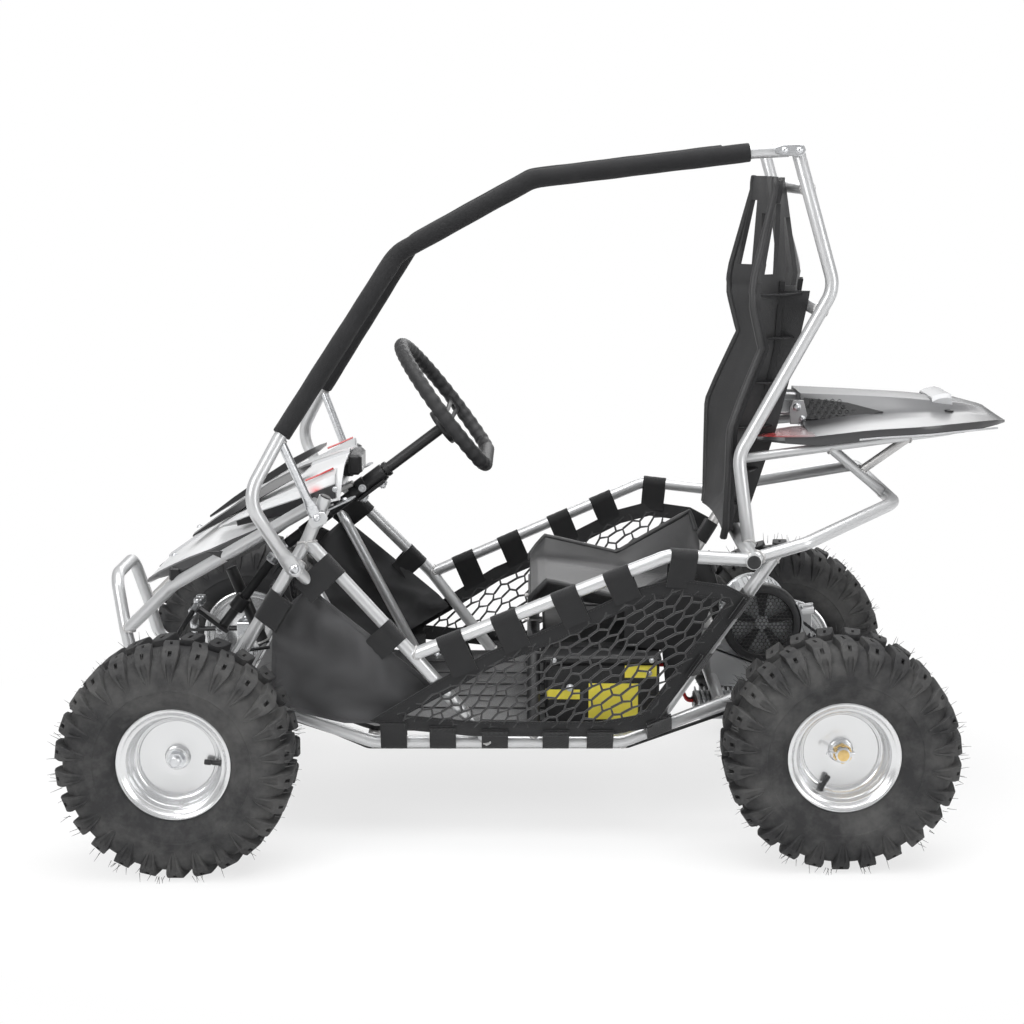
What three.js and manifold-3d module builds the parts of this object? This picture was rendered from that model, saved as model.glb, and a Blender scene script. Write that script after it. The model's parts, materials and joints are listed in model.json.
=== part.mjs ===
import * as THREE from "three";
import { mergeVertices } from "three/addons/utils/BufferGeometryUtils.js";
import Module from "manifold-3d";

const wasm = await Module();
wasm.setup();

// Off road go kart in millimetres: +X points rearward, +Y to the driver's right, +Z up.
// Front places are measured back from the front axle, rear places ahead of the rear axle.
const wheelBase = 1069;
const frontTrack = 861;
const rearTrack = 756;
const seam = 0.3;
const runningGap = 0.4;
const overrun = 6;
const weldSink = 1;
const tubeFaces = 8;
const nutFaces = 6;
const bendStepDegrees = 46;
const bendRoomShare = 0.45;
const leastTurn = 0.02;
const mergeReach = 0.001;
const postInset = 140.5;
const railNoseInset = 142.5;
const carrierInset = 153;

const frontX = -wheelBase / 2;
const rearX = wheelBase / 2;
const sides = { left: -1, right: 1 };

const paint = {
  silver: { color: 0xc9cacb, roughness: 0.32, metalness: 0.75 },
  zinc: { color: 0xb5b8ba, roughness: 0.35, metalness: 0.9 },
  blackSteel: { color: 0x1c1c1d, roughness: 0.45, metalness: 0.4 },
  blackPlastic: { color: 0x252526, roughness: 0.55, metalness: 0 },
  fairing: { color: 0xd7d8d9, roughness: 0.3, metalness: 0.3 },
  foam: { color: 0x232324, roughness: 0.9, metalness: 0 },
  rubber: { color: 0x1b1b1b, roughness: 0.85, metalness: 0 },
  fabric: { color: 0x2b2b2c, roughness: 0.9, metalness: 0 },
  cable: { color: 0xa01818, roughness: 0.5, metalness: 0 },
};

// Corners of the welded frame in its front half.
const frontPlaces = {
  postTop: { back: 228, half: 300, height: 588 },
  postBend: { back: 196, half: 295, height: 514 },
  kneeJoint: { back: 371, half: 325, height: 329 },
  kneeFoot: { back: 497, half: 293, height: 172 },
  axleFoot: { back: 9, half: frontTrack / 2 - postInset, height: 200 },
  railNose: { back: 46, half: frontTrack / 2 - railNoseInset, height: 262 },
  railDip: { back: 300, half: 290, height: 170 },
  braceBend: { back: 209, half: 292, height: 432 },
  braceFoot: { back: 345, half: 288, height: 172 },
  cageLug: { back: 182, half: 336, height: 472 },
  cageFoot: { back: 179, half: 350, height: 475 },
  cageElbow: { back: 110, half: 382, height: 598 },
  sleeveStart: { back: 159, half: 341, height: 691 },
  cageBrow: { back: 344, half: 233, height: 981 },
  cageCrown: { back: 565, half: 236, height: 1102 },
  strutFoot: { back: 213, half: 318, height: 556 },
  dashTube: { back: 211, half: 292, height: 545 },
  bumperFoot: { back: -132, half: 116, height: 252 },
  bumperLegTop: { back: -147.5, half: 109, height: 318 },
  bumperTop: { back: -168, half: 76, height: 408 },
  noseTubeFoot: { back: -146, half: 109, height: 316 },
  noseTubeBend: { back: -56, half: 135, height: 404 },
  noseTubeEnd: { back: 212, half: 292, height: 576 },
  columnFoot: { back: 114.5, half: 0, height: 442 },
  columnHub: { back: 404.5, half: 0, height: 661.3 },
  lowerFoot: { back: 5.5, half: 0, height: 297 },
  steeringPostFoot: { back: 76.5, half: 34, height: 255 },
  steeringPostTip: { back: 18.5, half: 34, height: 400 },
};
// Corners of the frame in its rear half.
const rearPlaces = {
  railKick: { ahead: 349, half: 284, height: 170 },
  railTail: { ahead: 64, half: rearTrack / 2 - carrierInset, height: 267 },
  railEnd: { ahead: -42, half: rearTrack / 2 - carrierInset, height: 284 },
  railBend: { ahead: 281, half: 365, height: 506 },
  crossTube: { ahead: 144, half: 345, height: 494 },
  diagonalTop: { ahead: 104, half: 327, height: 503 },
  diagonalFoot: { ahead: 303, half: 276, height: 187 },
  seatCross: { ahead: 200, half: 300, height: 350 },
  uprightFoot: { ahead: 139, half: 245, height: 495 },
  uprightWaist: { ahead: 158, half: 224, height: 647 },
  uprightBack: { ahead: 8, half: 230, height: 927 },
  uprightTop: { ahead: 74, half: 225, height: 1150 },
  sleeveEnd: { ahead: 145, half: 224, height: 1146 },
  cageEnd: { ahead: 88, half: 224, height: 1149 },
  bumperStart: { ahead: 140, half: 338, height: 496 },
  bumperKnee: { ahead: 56, half: 320, height: 517 },
  bumperCorner: { ahead: -108, half: 205, height: 566 },
  tailFront: { ahead: 148, half: 212, height: 641 },
  tailEnd: { ahead: -226, half: 150, height: 683 },
  tailBraceTop: { ahead: 2.5, half: 188, height: 657 },
  tailBraceFoot: { ahead: -105.5, half: 130, height: 566 },
  tailStrutTop: { ahead: -139.5, half: 164, height: 673 },
  tailStrutFoot: { ahead: -55.5, half: 149, height: 608 },
  centreBarTop: { ahead: 31.5, half: 0, height: 885 },
  centreBarFoot: { ahead: 134.5, half: 0, height: 503 },
};
const mainCrossReach = 362;
const plugReach = 3;

const tubeRadius = 11;
const mainTubeRadius = 12.7;
const rackTubeRadius = 8;
const frameBend = 55;
const tightBend = 38;

// Joins a lateral side to a named place: the left side is at negative Y.
function at(name, side = 1) {
  const front = frontPlaces[name];
  const place = front ?? rearPlaces[name];
  const x = front ? frontX + place.back : rearX - place.ahead;
  return new THREE.Vector3(x, side * place.half, place.height);
}

// A path of straight runs whose corners are rounded by arcs; each station is one ring of a tube.
class BentPath extends THREE.Curve {
  constructor(corners, bendRadius) {
    super();
    this.stations = [{ point: corners[0], tangent: corners[1].clone().sub(corners[0]).normalize() }];
    for (let i = 1; i < corners.length - 1; i++) this.addBend(corners[i - 1], corners[i], corners[i + 1], bendRadius);
    const last = corners.length - 1;
    const tangent = corners[last].clone().sub(corners[last - 1]).normalize();
    this.stations.push({ point: corners[last], tangent });
  }
  addBend(before, corner, after, bendRadius) {
    const arriving = corner.clone().sub(before);
    const leaving = after.clone().sub(corner);
    const room = Math.min(arriving.length(), leaving.length()) * bendRoomShare;
    arriving.normalize();
    leaving.normalize();
    const turn = arriving.angleTo(leaving);
    if (turn < leastTurn) return;
    const cutBack = Math.min(bendRadius * Math.tan(turn / 2), room);
    const radius = cutBack / Math.tan(turn / 2);
    const inward = leaving.clone().addScaledVector(arriving, -Math.cos(turn)).normalize();
    const start = corner.clone().addScaledVector(arriving, -cutBack);
    const steps = Math.max(1, Math.ceil(THREE.MathUtils.radToDeg(turn) / bendStepDegrees));
    for (let k = 0; k <= steps; k++) {
      const angle = (turn * k) / steps;
      const point = start.clone().addScaledVector(arriving, radius * Math.sin(angle));
      point.addScaledVector(inward, radius * (1 - Math.cos(angle)));
      const tangent = arriving.clone().multiplyScalar(Math.cos(angle)).addScaledVector(inward, Math.sin(angle));
      this.stations.push({ point, tangent });
    }
  }
  station(u) {
    return this.stations[Math.round(u * (this.stations.length - 1))];
  }
  getPoint(u, target = new THREE.Vector3()) {
    return target.copy(this.station(u).point);
  }
  getPointAt(u, target) {
    return this.getPoint(u, target);
  }
  getTangentAt(u, target = new THREE.Vector3()) {
    return target.copy(this.station(u).tangent);
  }
}

function circlePoints(radius, count, turned = 0) {
  const points = [];
  for (let i = 0; i < count; i++) {
    const angle = turned + (i / count) * Math.PI * 2;
    points.push(new THREE.Vector2(radius * Math.cos(angle), radius * Math.sin(angle)));
  }
  return points;
}

// Turns a closed three.js geometry into a solid that faces outwards.
function solidOf(geometry) {
  const bare = geometry.clone();
  for (const name of Object.keys(bare.attributes)) {
    if (name !== "position") bare.deleteAttribute(name);
  }
  const merged = mergeVertices(bare, mergeReach);
  const triVerts = new Uint32Array(merged.index.array);
  const build = () =>
    new wasm.Manifold(new wasm.Mesh({ numProp: 3, vertProperties: merged.attributes.position.array, triVerts }));
  const made = build();
  if (made.volume() >= 0) return made;
  for (let i = 0; i < triVerts.length; i += 3) {
    [triVerts[i + 1], triVerts[i + 2]] = [triVerts[i + 2], triVerts[i + 1]];
  }
  return build();
}

function join(...solids) {
  return solids.reduce((whole, next) => whole.add(next));
}

// Cuts the tools away and keeps the largest piece, so that no sliver stays behind a weld.
function trim(solid, ...tools) {
  const bodies = tools.reduce((rest, tool) => rest.subtract(tool), solid).decompose();
  return bodies.reduce((largest, body) => (body.volume() > largest.volume() ? body : largest));
}

function tube(corners, radius, { bend = frameBend, bore = 0, faces = tubeFaces, grow = 0 } = {}) {
  const path = new BentPath(corners, bend);
  const section = new THREE.Shape(circlePoints(radius + grow, faces));
  if (bore) section.holes.push(new THREE.Path(circlePoints(bore, faces)));
  const steps = path.stations.length - 1;
  return solidOf(new THREE.ExtrudeGeometry(section, { steps, extrudePath: path, bevelEnabled: false }));
}

// A flat outline in the X-Z plane, given thickness across the kart and centred on a Y place.
function sidePlate(outline, thickness, y, holes = []) {
  const shape = new THREE.Shape(outline);
  for (const hole of holes) shape.holes.push(new THREE.Path(hole));
  const plate = new THREE.ExtrudeGeometry(shape, { depth: thickness, bevelEnabled: false });
  plate.rotateX(Math.PI / 2);
  plate.translate(0, y + thickness / 2, 0);
  return solidOf(plate);
}

function box(from, to) {
  const size = to.clone().sub(from);
  const middle = from.clone().add(to).multiplyScalar(0.5);
  return solidOf(new THREE.BoxGeometry(size.x, size.y, size.z).translate(middle.x, middle.y, middle.z));
}

// A round bar between two points.
function rod(from, to, radius, faces = tubeFaces) {
  const along = to.clone().sub(from);
  const bar = new THREE.CylinderGeometry(radius, radius, along.length(), faces);
  bar.translate(0, along.length() / 2, 0);
  bar.applyQuaternion(new THREE.Quaternion().setFromUnitVectors(new THREE.Vector3(0, 1, 0), along.normalize()));
  return solidOf(bar.translate(from.x, from.y, from.z));
}

// A turned part round an axle that runs along Y: points are radius and place outboard of the middle.
function turned(profile, faces, side, centre, phase = 0) {
  const points = profile.map(([radius, out]) => new THREE.Vector2(radius, out));
  points.push(points[0].clone());
  const round = new THREE.LatheGeometry(points, faces, phase);
  if (side < 0) round.scale(1, -1, 1);
  return solidOf(round.translate(centre.x, centre.y, centre.z));
}

// A thin curved shell from a grid of points, thickened along one direction.
function shell(rows, thickness) {
  const across = rows[0].length;
  const count = rows.length * across;
  const positions = [];
  for (const row of rows) for (const p of row) positions.push(p.x, p.y, p.z);
  for (const row of rows) {
    for (const p of row) positions.push(p.x + thickness.x, p.y + thickness.y, p.z + thickness.z);
  }
  const index = [];
  const quad = (a, b, c, d) => index.push(a, b, c, a, c, d);
  const id = (i, j) => i * across + j;
  const lastRow = rows.length - 1;
  const lastColumn = across - 1;
  for (let i = 0; i < lastRow; i++) {
    for (let j = 0; j < lastColumn; j++) {
      quad(id(i, j), id(i, j + 1), id(i + 1, j + 1), id(i + 1, j));
      quad(count + id(i, j), count + id(i + 1, j), count + id(i + 1, j + 1), count + id(i, j + 1));
    }
  }
  for (let j = 0; j < lastColumn; j++) {
    quad(id(0, j + 1), id(0, j), count + id(0, j), count + id(0, j + 1));
    quad(id(lastRow, j), id(lastRow, j + 1), count + id(lastRow, j + 1), count + id(lastRow, j));
  }
  for (let i = 0; i < lastRow; i++) {
    quad(id(i, 0), id(i + 1, 0), count + id(i + 1, 0), count + id(i, 0));
    quad(id(i + 1, lastColumn), id(i, lastColumn), count + id(i, lastColumn), count + id(i + 1, lastColumn));
  }
  const geometry = new THREE.BufferGeometry();
  geometry.setAttribute("position", new THREE.Float32BufferAttribute(positions, 3));
  geometry.setIndex(index);
  return solidOf(geometry);
}

const kart = new THREE.Group();

function addPiece(name, solid, material) {
  const made = solid.getMesh();
  const geometry = new THREE.BufferGeometry();
  geometry.setAttribute("position", new THREE.BufferAttribute(new Float32Array(made.vertProperties), 3));
  geometry.setIndex(new THREE.BufferAttribute(new Uint32Array(made.triVerts), 1));
  geometry.computeVertexNormals();
  const mesh = new THREE.Mesh(geometry, new THREE.MeshStandardMaterial(material));
  mesh.name = name;
  kart.add(mesh);
}

function xz(...points) {
  return points.map(([x, z]) => new THREE.Vector2(x, z));
}

const vector = (x, y, z) => new THREE.Vector3(x, y, z);
const flip = (point) => vector(point.x, -point.y, point.z);
// Both sides of the kart: label is left or right, side is the sign of Y.
const eachSide = (make) => Object.entries(sides).forEach(([label, side]) => make(label, side));
const hoopOf = (names) => [...names.map((n) => at(n, -1)), ...names.map((n) => at(n, 1)).reverse()];
const across = (name) => [at(name, -1), at(name, 1)];
const keepOut = (corners, radius, bend = frameBend) => tube(corners, radius, { bend, grow: seam });

// Wheels and axles
const tyreRadius = 190.5;
const treadHalf = 64;
const sidewallHalf = 76;
const beadRadius = 78;
const lugCount = 22;
const lugTopShare = 0.56;
const lugFootShare = 0.8;
const lugHeight = 10;
const treadDepth = 9;
const rimFlangeRadius = 89;
const rimBarrelRadius = 73;
const rimHalf = 56.5;
const flangeThickness = 3;
const discFace = 9;
const discThickness = 5;
const discStepDepth = 7;
const hubRadius = 21;
const hubHalf = 24;
const spindleRadius = 8;
const axleRadius = 12.5;
const rimFaces = 12;

const lugTopHalfAngle = (Math.PI / lugCount) * lugTopShare;
// The kart stands on the flat chords of its lowest lugs.
const axleHeight = tyreRadius * Math.cos(lugTopHalfAngle);
const frontHub = (side) => vector(frontX, (side * frontTrack) / 2, axleHeight);
const rearHub = (side) => vector(rearX, (side * rearTrack) / 2, axleHeight);

// Shares of the wall height over the bead, and of the half width at the sidewall.
const wallShares = [
  [0, 0.69],
  [0.14, 0.7],
  [0.55, 1],
];
const cavityShares = [
  [0.8, 0.76],
  [0.2, 0.6],
];

function tyre(centre) {
  const crown = tyreRadius - lugHeight;
  const wall = crown - beadRadius;
  const outer = wallShares.map(([up, out]) => [beadRadius + wall * up, sidewallHalf * out]);
  outer.push([crown, treadHalf]);
  const inner = cavityShares.map(([up, out]) => [beadRadius + wall * up, sidewallHalf * out]);
  const mirrored = (points) => points.map(([radius, out]) => [radius, -out]).reverse();
  const carcass = turned([...outer, ...mirrored(outer), ...mirrored(inner), ...inner], lugCount, 1, centre);
  const tread = [];
  const gap = Math.PI / lugCount;
  const foot = gap * lugFootShare;
  for (let i = 0; i < lugCount; i++) {
    const middle = -Math.PI / 2 + i * 2 * gap;
    for (const [angle, radius] of [
      [middle - foot, crown],
      [middle - lugTopHalfAngle, tyreRadius],
      [middle + lugTopHalfAngle, tyreRadius],
      [middle + foot, crown],
    ]) {
      tread.push(new THREE.Vector2(centre.x + radius * Math.cos(angle), centre.z + radius * Math.sin(angle)));
    }
  }
  const inside = circlePoints(crown - treadDepth, lugCount).map((p) => p.add(new THREE.Vector2(centre.x, centre.z)));
  return join(carcass, sidePlate(tread, treadHalf * 2, centre.y, [inside]));
}

// The corner radius of a faceted bore that clears a round bar of the given radius.
const roundBore = (radius, faces) => radius / Math.cos(Math.PI / faces);

function rim(centre, side, bore) {
  const discIn = discFace - discThickness;
  const seat = rimBarrelRadius + flangeThickness;
  const lip = rimHalf - flangeThickness;
  const profile = [
    [bore, -hubHalf],
    [hubRadius, -hubHalf],
    [hubRadius, discIn + discStepDepth],
    [rimBarrelRadius, discIn],
    [rimBarrelRadius, -rimHalf],
    [rimFlangeRadius, -rimHalf],
    [rimFlangeRadius, -lip],
    [seat, -lip],
    [seat, lip],
    [rimFlangeRadius, lip],
    [rimFlangeRadius, rimHalf],
    [rimBarrelRadius, rimHalf],
    [rimBarrelRadius, discFace],
    [hubRadius, discFace + discStepDepth],
    [hubRadius, hubHalf],
    [bore, hubHalf],
  ];
  return turned(profile, rimFaces, side, centre);
}

eachSide((label, side) => {
  addPiece(`tyre_front_${label}`, tyre(frontHub(side)), paint.rubber);
  addPiece(`rim_front_${label}`, rim(frontHub(side), side, roundBore(spindleRadius + runningGap, rimFaces)), paint.silver);
  addPiece(`tyre_rear_${label}`, tyre(rearHub(side)), paint.rubber);
  addPiece(`rim_rear_${label}`, rim(rearHub(side), side, roundBore(axleRadius + seam, rimFaces)), paint.silver);
});

// Front axle beam with a yoke and kingpin at each end
const kingpinInset = 95;
const kingpinRadius = 6;
const beamRadius = 14;
const earHalf = 40;
const earThickness = 6;
const earWidth = 30;
const webInset = 25;
const barrelRadius = 13;
const knuckleArm = 102;
const knuckleArmInset = 10;
const knuckleArmWidth = 18;
const knuckleArmLift = 20;
const knuckleArmThickness = 6;
const nutRadius = 13;
const nutFrom = 26;
const nutLength = 12;
const spindleReach = 46;
const kingpin = (side) => vector(frontX, side * (frontTrack / 2 - kingpinInset), axleHeight);

function axleBeam() {
  const ends = [-1, 1].map((side) => kingpin(side).add(vector(0, -side * webInset, 0)));
  let beam = rod(ends[0], ends[1], beamRadius);
  eachSide((label, side) => {
    const pin = kingpin(side);
    const half = earWidth / 2;
    const webIn = pin.y - side * (webInset + earThickness / 2);
    const webOut = pin.y - side * (webInset - earThickness / 2);
    const tip = pin.y + side * barrelRadius;
    const web = box(vector(pin.x - half, Math.min(webIn, webOut), pin.z - earHalf),
      vector(pin.x + half, Math.max(webIn, webOut), pin.z + earHalf));
    const ear = (from, to) => box(vector(pin.x - half, Math.min(webIn, tip), from),
      vector(pin.x + half, Math.max(webIn, tip), to));
    const upper = ear(pin.z + earHalf - earThickness, pin.z + earHalf);
    const lower = ear(pin.z - earHalf, pin.z - earHalf + earThickness);
    const reach = vector(0, 0, earHalf + earThickness);
    beam = join(beam, web, upper, lower, rod(pin.clone().sub(reach), pin.clone().add(reach), kingpinRadius));
  });
  return beam;
}

function knuckle(side) {
  const pin = kingpin(side);
  const rise = vector(0, 0, earHalf - earThickness - seam);
  const barrel = rod(pin.clone().sub(rise), pin.clone().add(rise), barrelRadius);
  const hub = frontHub(side);
  const outward = (distance) => vector(hub.x, hub.y + side * distance, hub.z);
  const spindle = rod(pin, outward(spindleReach), spindleRadius);
  const nut = rod(outward(nutFrom), outward(nutFrom + nutLength), nutRadius, nutFaces);
  const tip = knuckleTip(side);
  const root = vector(pin.x, pin.y, tip.z);
  const arm = bar(root, tip, knuckleArmWidth, knuckleArmThickness);
  const boreReach = vector(0, 0, earHalf + overrun);
  const bore = rod(pin.clone().sub(boreReach), pin.clone().add(boreReach), kingpinRadius + runningGap, 12);
  return join(barrel, spindle, nut, arm).subtract(bore);
}

const knuckleTip = (side) =>
  kingpin(side).add(vector(-knuckleArm, -side * knuckleArmInset, knuckleArmLift + knuckleArmThickness / 2));

// A flat bar between two points, flat side up or outward as its width and thickness say.
function bar(from, to, width, thickness) {
  const along = to.clone().sub(from);
  const flat = new THREE.BoxGeometry(along.length(), width, thickness).translate(along.length() / 2, 0, 0);
  const forward = along.clone().normalize();
  const upward = Math.abs(forward.z) > 0.7 ? vector(1, 0, 0) : vector(0, 0, 1);
  const sideways = upward.clone().cross(forward).normalize();
  const lifted = forward.clone().cross(sideways);
  flat.applyMatrix4(new THREE.Matrix4().makeBasis(forward, sideways, lifted));
  return solidOf(flat.translate(from.x, from.y, from.z));
}

const beam = axleBeam();
const beamEnds = [-1, 1].map((side) => kingpin(side).add(vector(0, -side * (webInset + earThickness / 2), 0)));
const beamKeepOut = rod(beamEnds[0], beamEnds[1], beamRadius + seam);
addPiece("front_axle_beam", beam, paint.silver);
eachSide((label, side) => addPiece(`knuckle_${label}`, knuckle(side), paint.blackSteel));

// Lower frame
const carrierWidth = 78;
const carrierDrop = 44;
const carrierThickness = 10;
const carrierTopShare = 0.7;
const carrierFaces = 12;
const bearingRadius = 32;
const panThickness = 3;
const panInset = 12;
const noseCrossBack = 82;
const panRear = 262;
const railNames = ["railNose", "railDip", "railKick", "railTail", "railEnd"];
const railPath = (side) => railNames.map((name) => at(name, side));
const railKeepOut = (side) => keepOut(railPath(side), tubeRadius);
const bothRails = [railKeepOut(-1), railKeepOut(1)];

// Height of the lower rail's centre line over the ground at a place along the kart.
function railHeightAt(x) {
  const points = railPath(1);
  const next = points.findIndex((p) => p.x > x);
  const [a, b] = [points[next - 1], points[next]];
  return THREE.MathUtils.mapLinear(x, a.x, b.x, a.z, b.z);
}
function railHalfAt(x) {
  const points = railPath(1);
  const next = points.findIndex((p) => p.x > x);
  const [a, b] = [points[next - 1], points[next]];
  return THREE.MathUtils.mapLinear(x, a.x, b.x, a.y, b.y);
}

eachSide((label, side) => {
  const rail = tube(railPath(side), tubeRadius);
  const half = carrierWidth / 2;
  const top = railHeightAt(rearX);
  const outline = xz(
    [rearX - half, top],
    [rearX - half, axleHeight],
    [rearX - half / 2, axleHeight - carrierDrop],
    [rearX + half / 2, axleHeight - carrierDrop],
    [rearX + half, axleHeight],
    [rearX + half * carrierTopShare, top],
  );
  const y = side * at("railTail").y;
  const centre = vector(rearX, y, axleHeight);
  const reach = vector(0, carrierThickness, 0);
  const bearing = rod(centre.clone().sub(reach), centre.clone().add(reach), bearingRadius, 10);
  const carrier = join(sidePlate(outline, carrierThickness, y), bearing);
  const bore = rod(centre.clone().addScaledVector(reach, -3), centre.clone().addScaledVector(reach, 3),
    roundBore(axleRadius + runningGap, carrierFaces), carrierFaces);
  addPiece(`lower_rail_${label}`, join(rail, carrier).subtract(bore), paint.silver);
});

const pedalHalf = 112;
const pedalBack = 134;
const pedalLift = 27;
const pedalPinRadius = 5;
const pedalBarrelRadius = 9;
const pedalBarrelHalf = 16;
const pedalEarThickness = 4;
const pedalLength = 148;
const pedalLeanDegrees = 8;
const pedalPadWidth = 58;
const pedalPadHeight = 74;
const pedalPadThickness = 7;
const pedalArmWidth = 14;
const pedalPivot = (side) =>
  vector(frontX + pedalBack, side * pedalHalf, railHeightAt(frontX + pedalBack) + pedalLift);

function floorFrame() {
  const noseX = frontX + noseCrossBack;
  const crossAt = (x) => {
    const ends = [-1, 1].map((side) => vector(x, side * railHalfAt(x), railHeightAt(x)));
    return rod(ends[0], ends[1], tubeRadius);
  };
  const dipX = at("railDip").x;
  const kickX = at("railKick").x;
  const level = (x) => railHeightAt(x) + tubeRadius - weldSink;
  const outline = xz([noseX, level(noseX)], [dipX, level(dipX)], [panRear, level(kickX)],
    [panRear, level(kickX) + panThickness], [dipX, level(dipX) + panThickness],
    [noseX, level(noseX) + panThickness]);
  const width = 2 * (at("railKick").y - panInset - tubeRadius);
  let frame = join(sidePlate(outline, width, 0), crossAt(noseX), crossAt(dipX), crossAt(kickX));
  eachSide((label, side) => {
    const pivot = pedalPivot(side);
    for (const end of [-1, 1]) {
      const y = pivot.y + end * (pedalBarrelHalf + seam + pedalEarThickness / 2);
      const ear = xz([pivot.x - pedalLift, railHeightAt(pivot.x - pedalLift) + tubeRadius],
        [pivot.x + pedalLift, railHeightAt(pivot.x + pedalLift) + tubeRadius],
        [pivot.x + pedalPinRadius, pivot.z + pedalPinRadius + pedalEarThickness / 2],
        [pivot.x - pedalPinRadius, pivot.z + pedalPinRadius + pedalEarThickness / 2]);
      frame = join(frame, sidePlate(ear, pedalEarThickness, y));
    }
    const reach = vector(0, pedalBarrelHalf + pedalEarThickness, 0);
    frame = join(frame, rod(pivot.clone().sub(reach), pivot.clone().add(reach), pedalPinRadius));
  });
  return trim(frame, ...bothRails);
}
addPiece("floor_frame", floorFrame(), paint.silver);

function pedal(side) {
  const pivot = pedalPivot(side);
  const reach = vector(0, pedalBarrelHalf, 0);
  const barrel = rod(pivot.clone().sub(reach), pivot.clone().add(reach), pedalBarrelRadius, 12);
  const lean = THREE.MathUtils.degToRad(pedalLeanDegrees);
  const upward = vector(-Math.sin(lean), 0, Math.cos(lean));
  const tip = pivot.clone().addScaledVector(upward, pedalLength);
  const arm = bar(pivot, tip, pedalArmWidth, pedalArmWidth / 2);
  const padFoot = pivot.clone().addScaledVector(upward, pedalLength - pedalPadHeight);
  const pad = bar(padFoot, tip, pedalPadWidth, pedalPadThickness);
  const bore = rod(pivot.clone().addScaledVector(reach, -2), pivot.clone().addScaledVector(reach, 2),
    pedalPinRadius + runningGap, 12);
  return join(barrel, arm, pad).subtract(bore);
}
addPiece("brake_pedal", pedal(sides.left), paint.blackSteel);
addPiece("throttle_pedal", pedal(sides.right), paint.blackSteel);

// Side frames: knee tube and upper rail welded together
const crossPath = [at("crossTube", -1).setY(-mainCrossReach), at("crossTube", 1).setY(mainCrossReach)];
const crossKeepOut = keepOut(crossPath, mainTubeRadius);
const kneePath = (side) => ["postTop", "postBend", "kneeJoint", "kneeFoot"].map((name) => at(name, side));
const upperRailPath = (side) => ["kneeJoint", "railBend", "crossTube"].map((name) => at(name, side));
const kneeKeepOut = (side) => keepOut(kneePath(side), tubeRadius);
const upperRailKeepOut = (side) => keepOut(upperRailPath(side), tubeRadius);

function mainCross() {
  const plug = vector(0, plugReach, 0);
  const tubeAcross = tube(crossPath, mainTubeRadius);
  return join(tubeAcross, rod(crossPath[0].clone().sub(plug), crossPath[1].clone().add(plug), tubeRadius));
}
addPiece("main_cross_tube", mainCross(), paint.silver);
eachSide((label, side) => {
  const frame = join(tube(kneePath(side), tubeRadius), tube(upperRailPath(side), tubeRadius));
  addPiece(`side_frame_${label}`, trim(frame, railKeepOut(side), crossKeepOut), paint.silver);
});

// Front posts with the lug and brace that carry the cage bar
const postPath = (side) => [at("postBend", side), at("axleFoot", side)];
const bracePath = (side) => ["cageLug", "braceBend", "braceFoot"].map((name) => at(name, side));
const braceRadius = 10;
const lugRoom = 3 * tubeRadius;
function frontPost(side) {
  const post = tube(postPath(side), tubeRadius);
  const lug = at("cageLug", side);
  const share = (at("postBend").z - lug.z) / (at("postBend").z - at("axleFoot").z);
  const onPost = at("postBend", side).lerp(at("axleFoot", side), share);
  const stub = rod(vector(lug.x, onPost.y, lug.z), lug, tubeRadius);
  const brace = tube(bracePath(side), braceRadius, { bend: tightBend });
  const beyond = [lug.y, lug.y + side * 2 * tubeRadius].sort((a, b) => a - b);
  const face = box(vector(lug.x - lugRoom, beyond[0], lug.z - lugRoom),
    vector(lug.x + lugRoom, beyond[1], lug.z + lugRoom));
  return trim(join(post, stub, brace), kneeKeepOut(side), railKeepOut(side), beamKeepOut, face);
}
eachSide((label, side) => addPiece(`front_post_${label}`, frontPost(side), paint.silver));

// Seat supports
const seatHoopBack = 570.5;
const seatHoopX = frontX + seatHoopBack;
const seatHoopHalf = 180;
const seatRailHeight = 322;
const diagonalPath = (side) => [at("diagonalTop", side), at("diagonalFoot", side)];
const seatCrossEnd = (side) => {
  const [top, foot] = diagonalPath(side);
  return top.lerp(foot, (top.z - at("seatCross").z) / (top.z - foot.z));
};
function seatHoop() {
  const foot = (side) => vector(seatHoopX, side * railHalfAt(seatHoopX), railHeightAt(seatHoopX));
  const shoulder = (side) => vector(seatHoopX, side * seatHoopHalf, seatRailHeight);
  const path = [foot(-1), shoulder(-1), shoulder(1), foot(1)];
  return trim(tube(path, tubeRadius, { bend: tightBend }), ...bothRails);
}
addPiece("seat_hoop", seatHoop(), paint.silver);

// Rear frame: the bumper bent from one tube, and the diagonals and seat cross welded under it
const bumperPath = hoopOf(["bumperStart", "bumperKnee", "bumperCorner"]);
const bumperKeepOut = keepOut(bumperPath, tubeRadius, tightBend);
function rearFrame() {
  const bumper = tube(bumperPath, tubeRadius, { bend: tightBend });
  const diagonals = [-1, 1].map((side) => tube(diagonalPath(side), tubeRadius));
  const cross = rod(seatCrossEnd(-1), seatCrossEnd(1), tubeRadius);
  return trim(join(bumper, ...diagonals, cross), ...bothRails, crossKeepOut);
}
addPiece("rear_frame", rearFrame(), paint.silver);

// Front bumper: one bent hoop on the axle beam, with the two nose tubes welded to it
const bumperFootPath = (side) => [
  vector(frontX, side * at("bumperFoot").y, axleHeight),
  at("bumperFoot", side),
  at("bumperLegTop", side),
  at("bumperTop", side),
];
const nosePath = (side) => ["noseTubeFoot", "noseTubeBend", "noseTubeEnd"].map((name) => at(name, side));
const noseKeepOut = (side) => keepOut(nosePath(side), tubeRadius);
function frontBumper() {
  const hoop = tube([...bumperFootPath(-1), ...bumperFootPath(1).reverse()], tubeRadius, { bend: tightBend });
  const noseTubes = [-1, 1].map((side) => tube(nosePath(side), tubeRadius));
  return trim(join(hoop, ...noseTubes), beamKeepOut, kneeKeepOut(-1), kneeKeepOut(1));
}
addPiece("front_bumper", frontBumper(), paint.silver);

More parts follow.
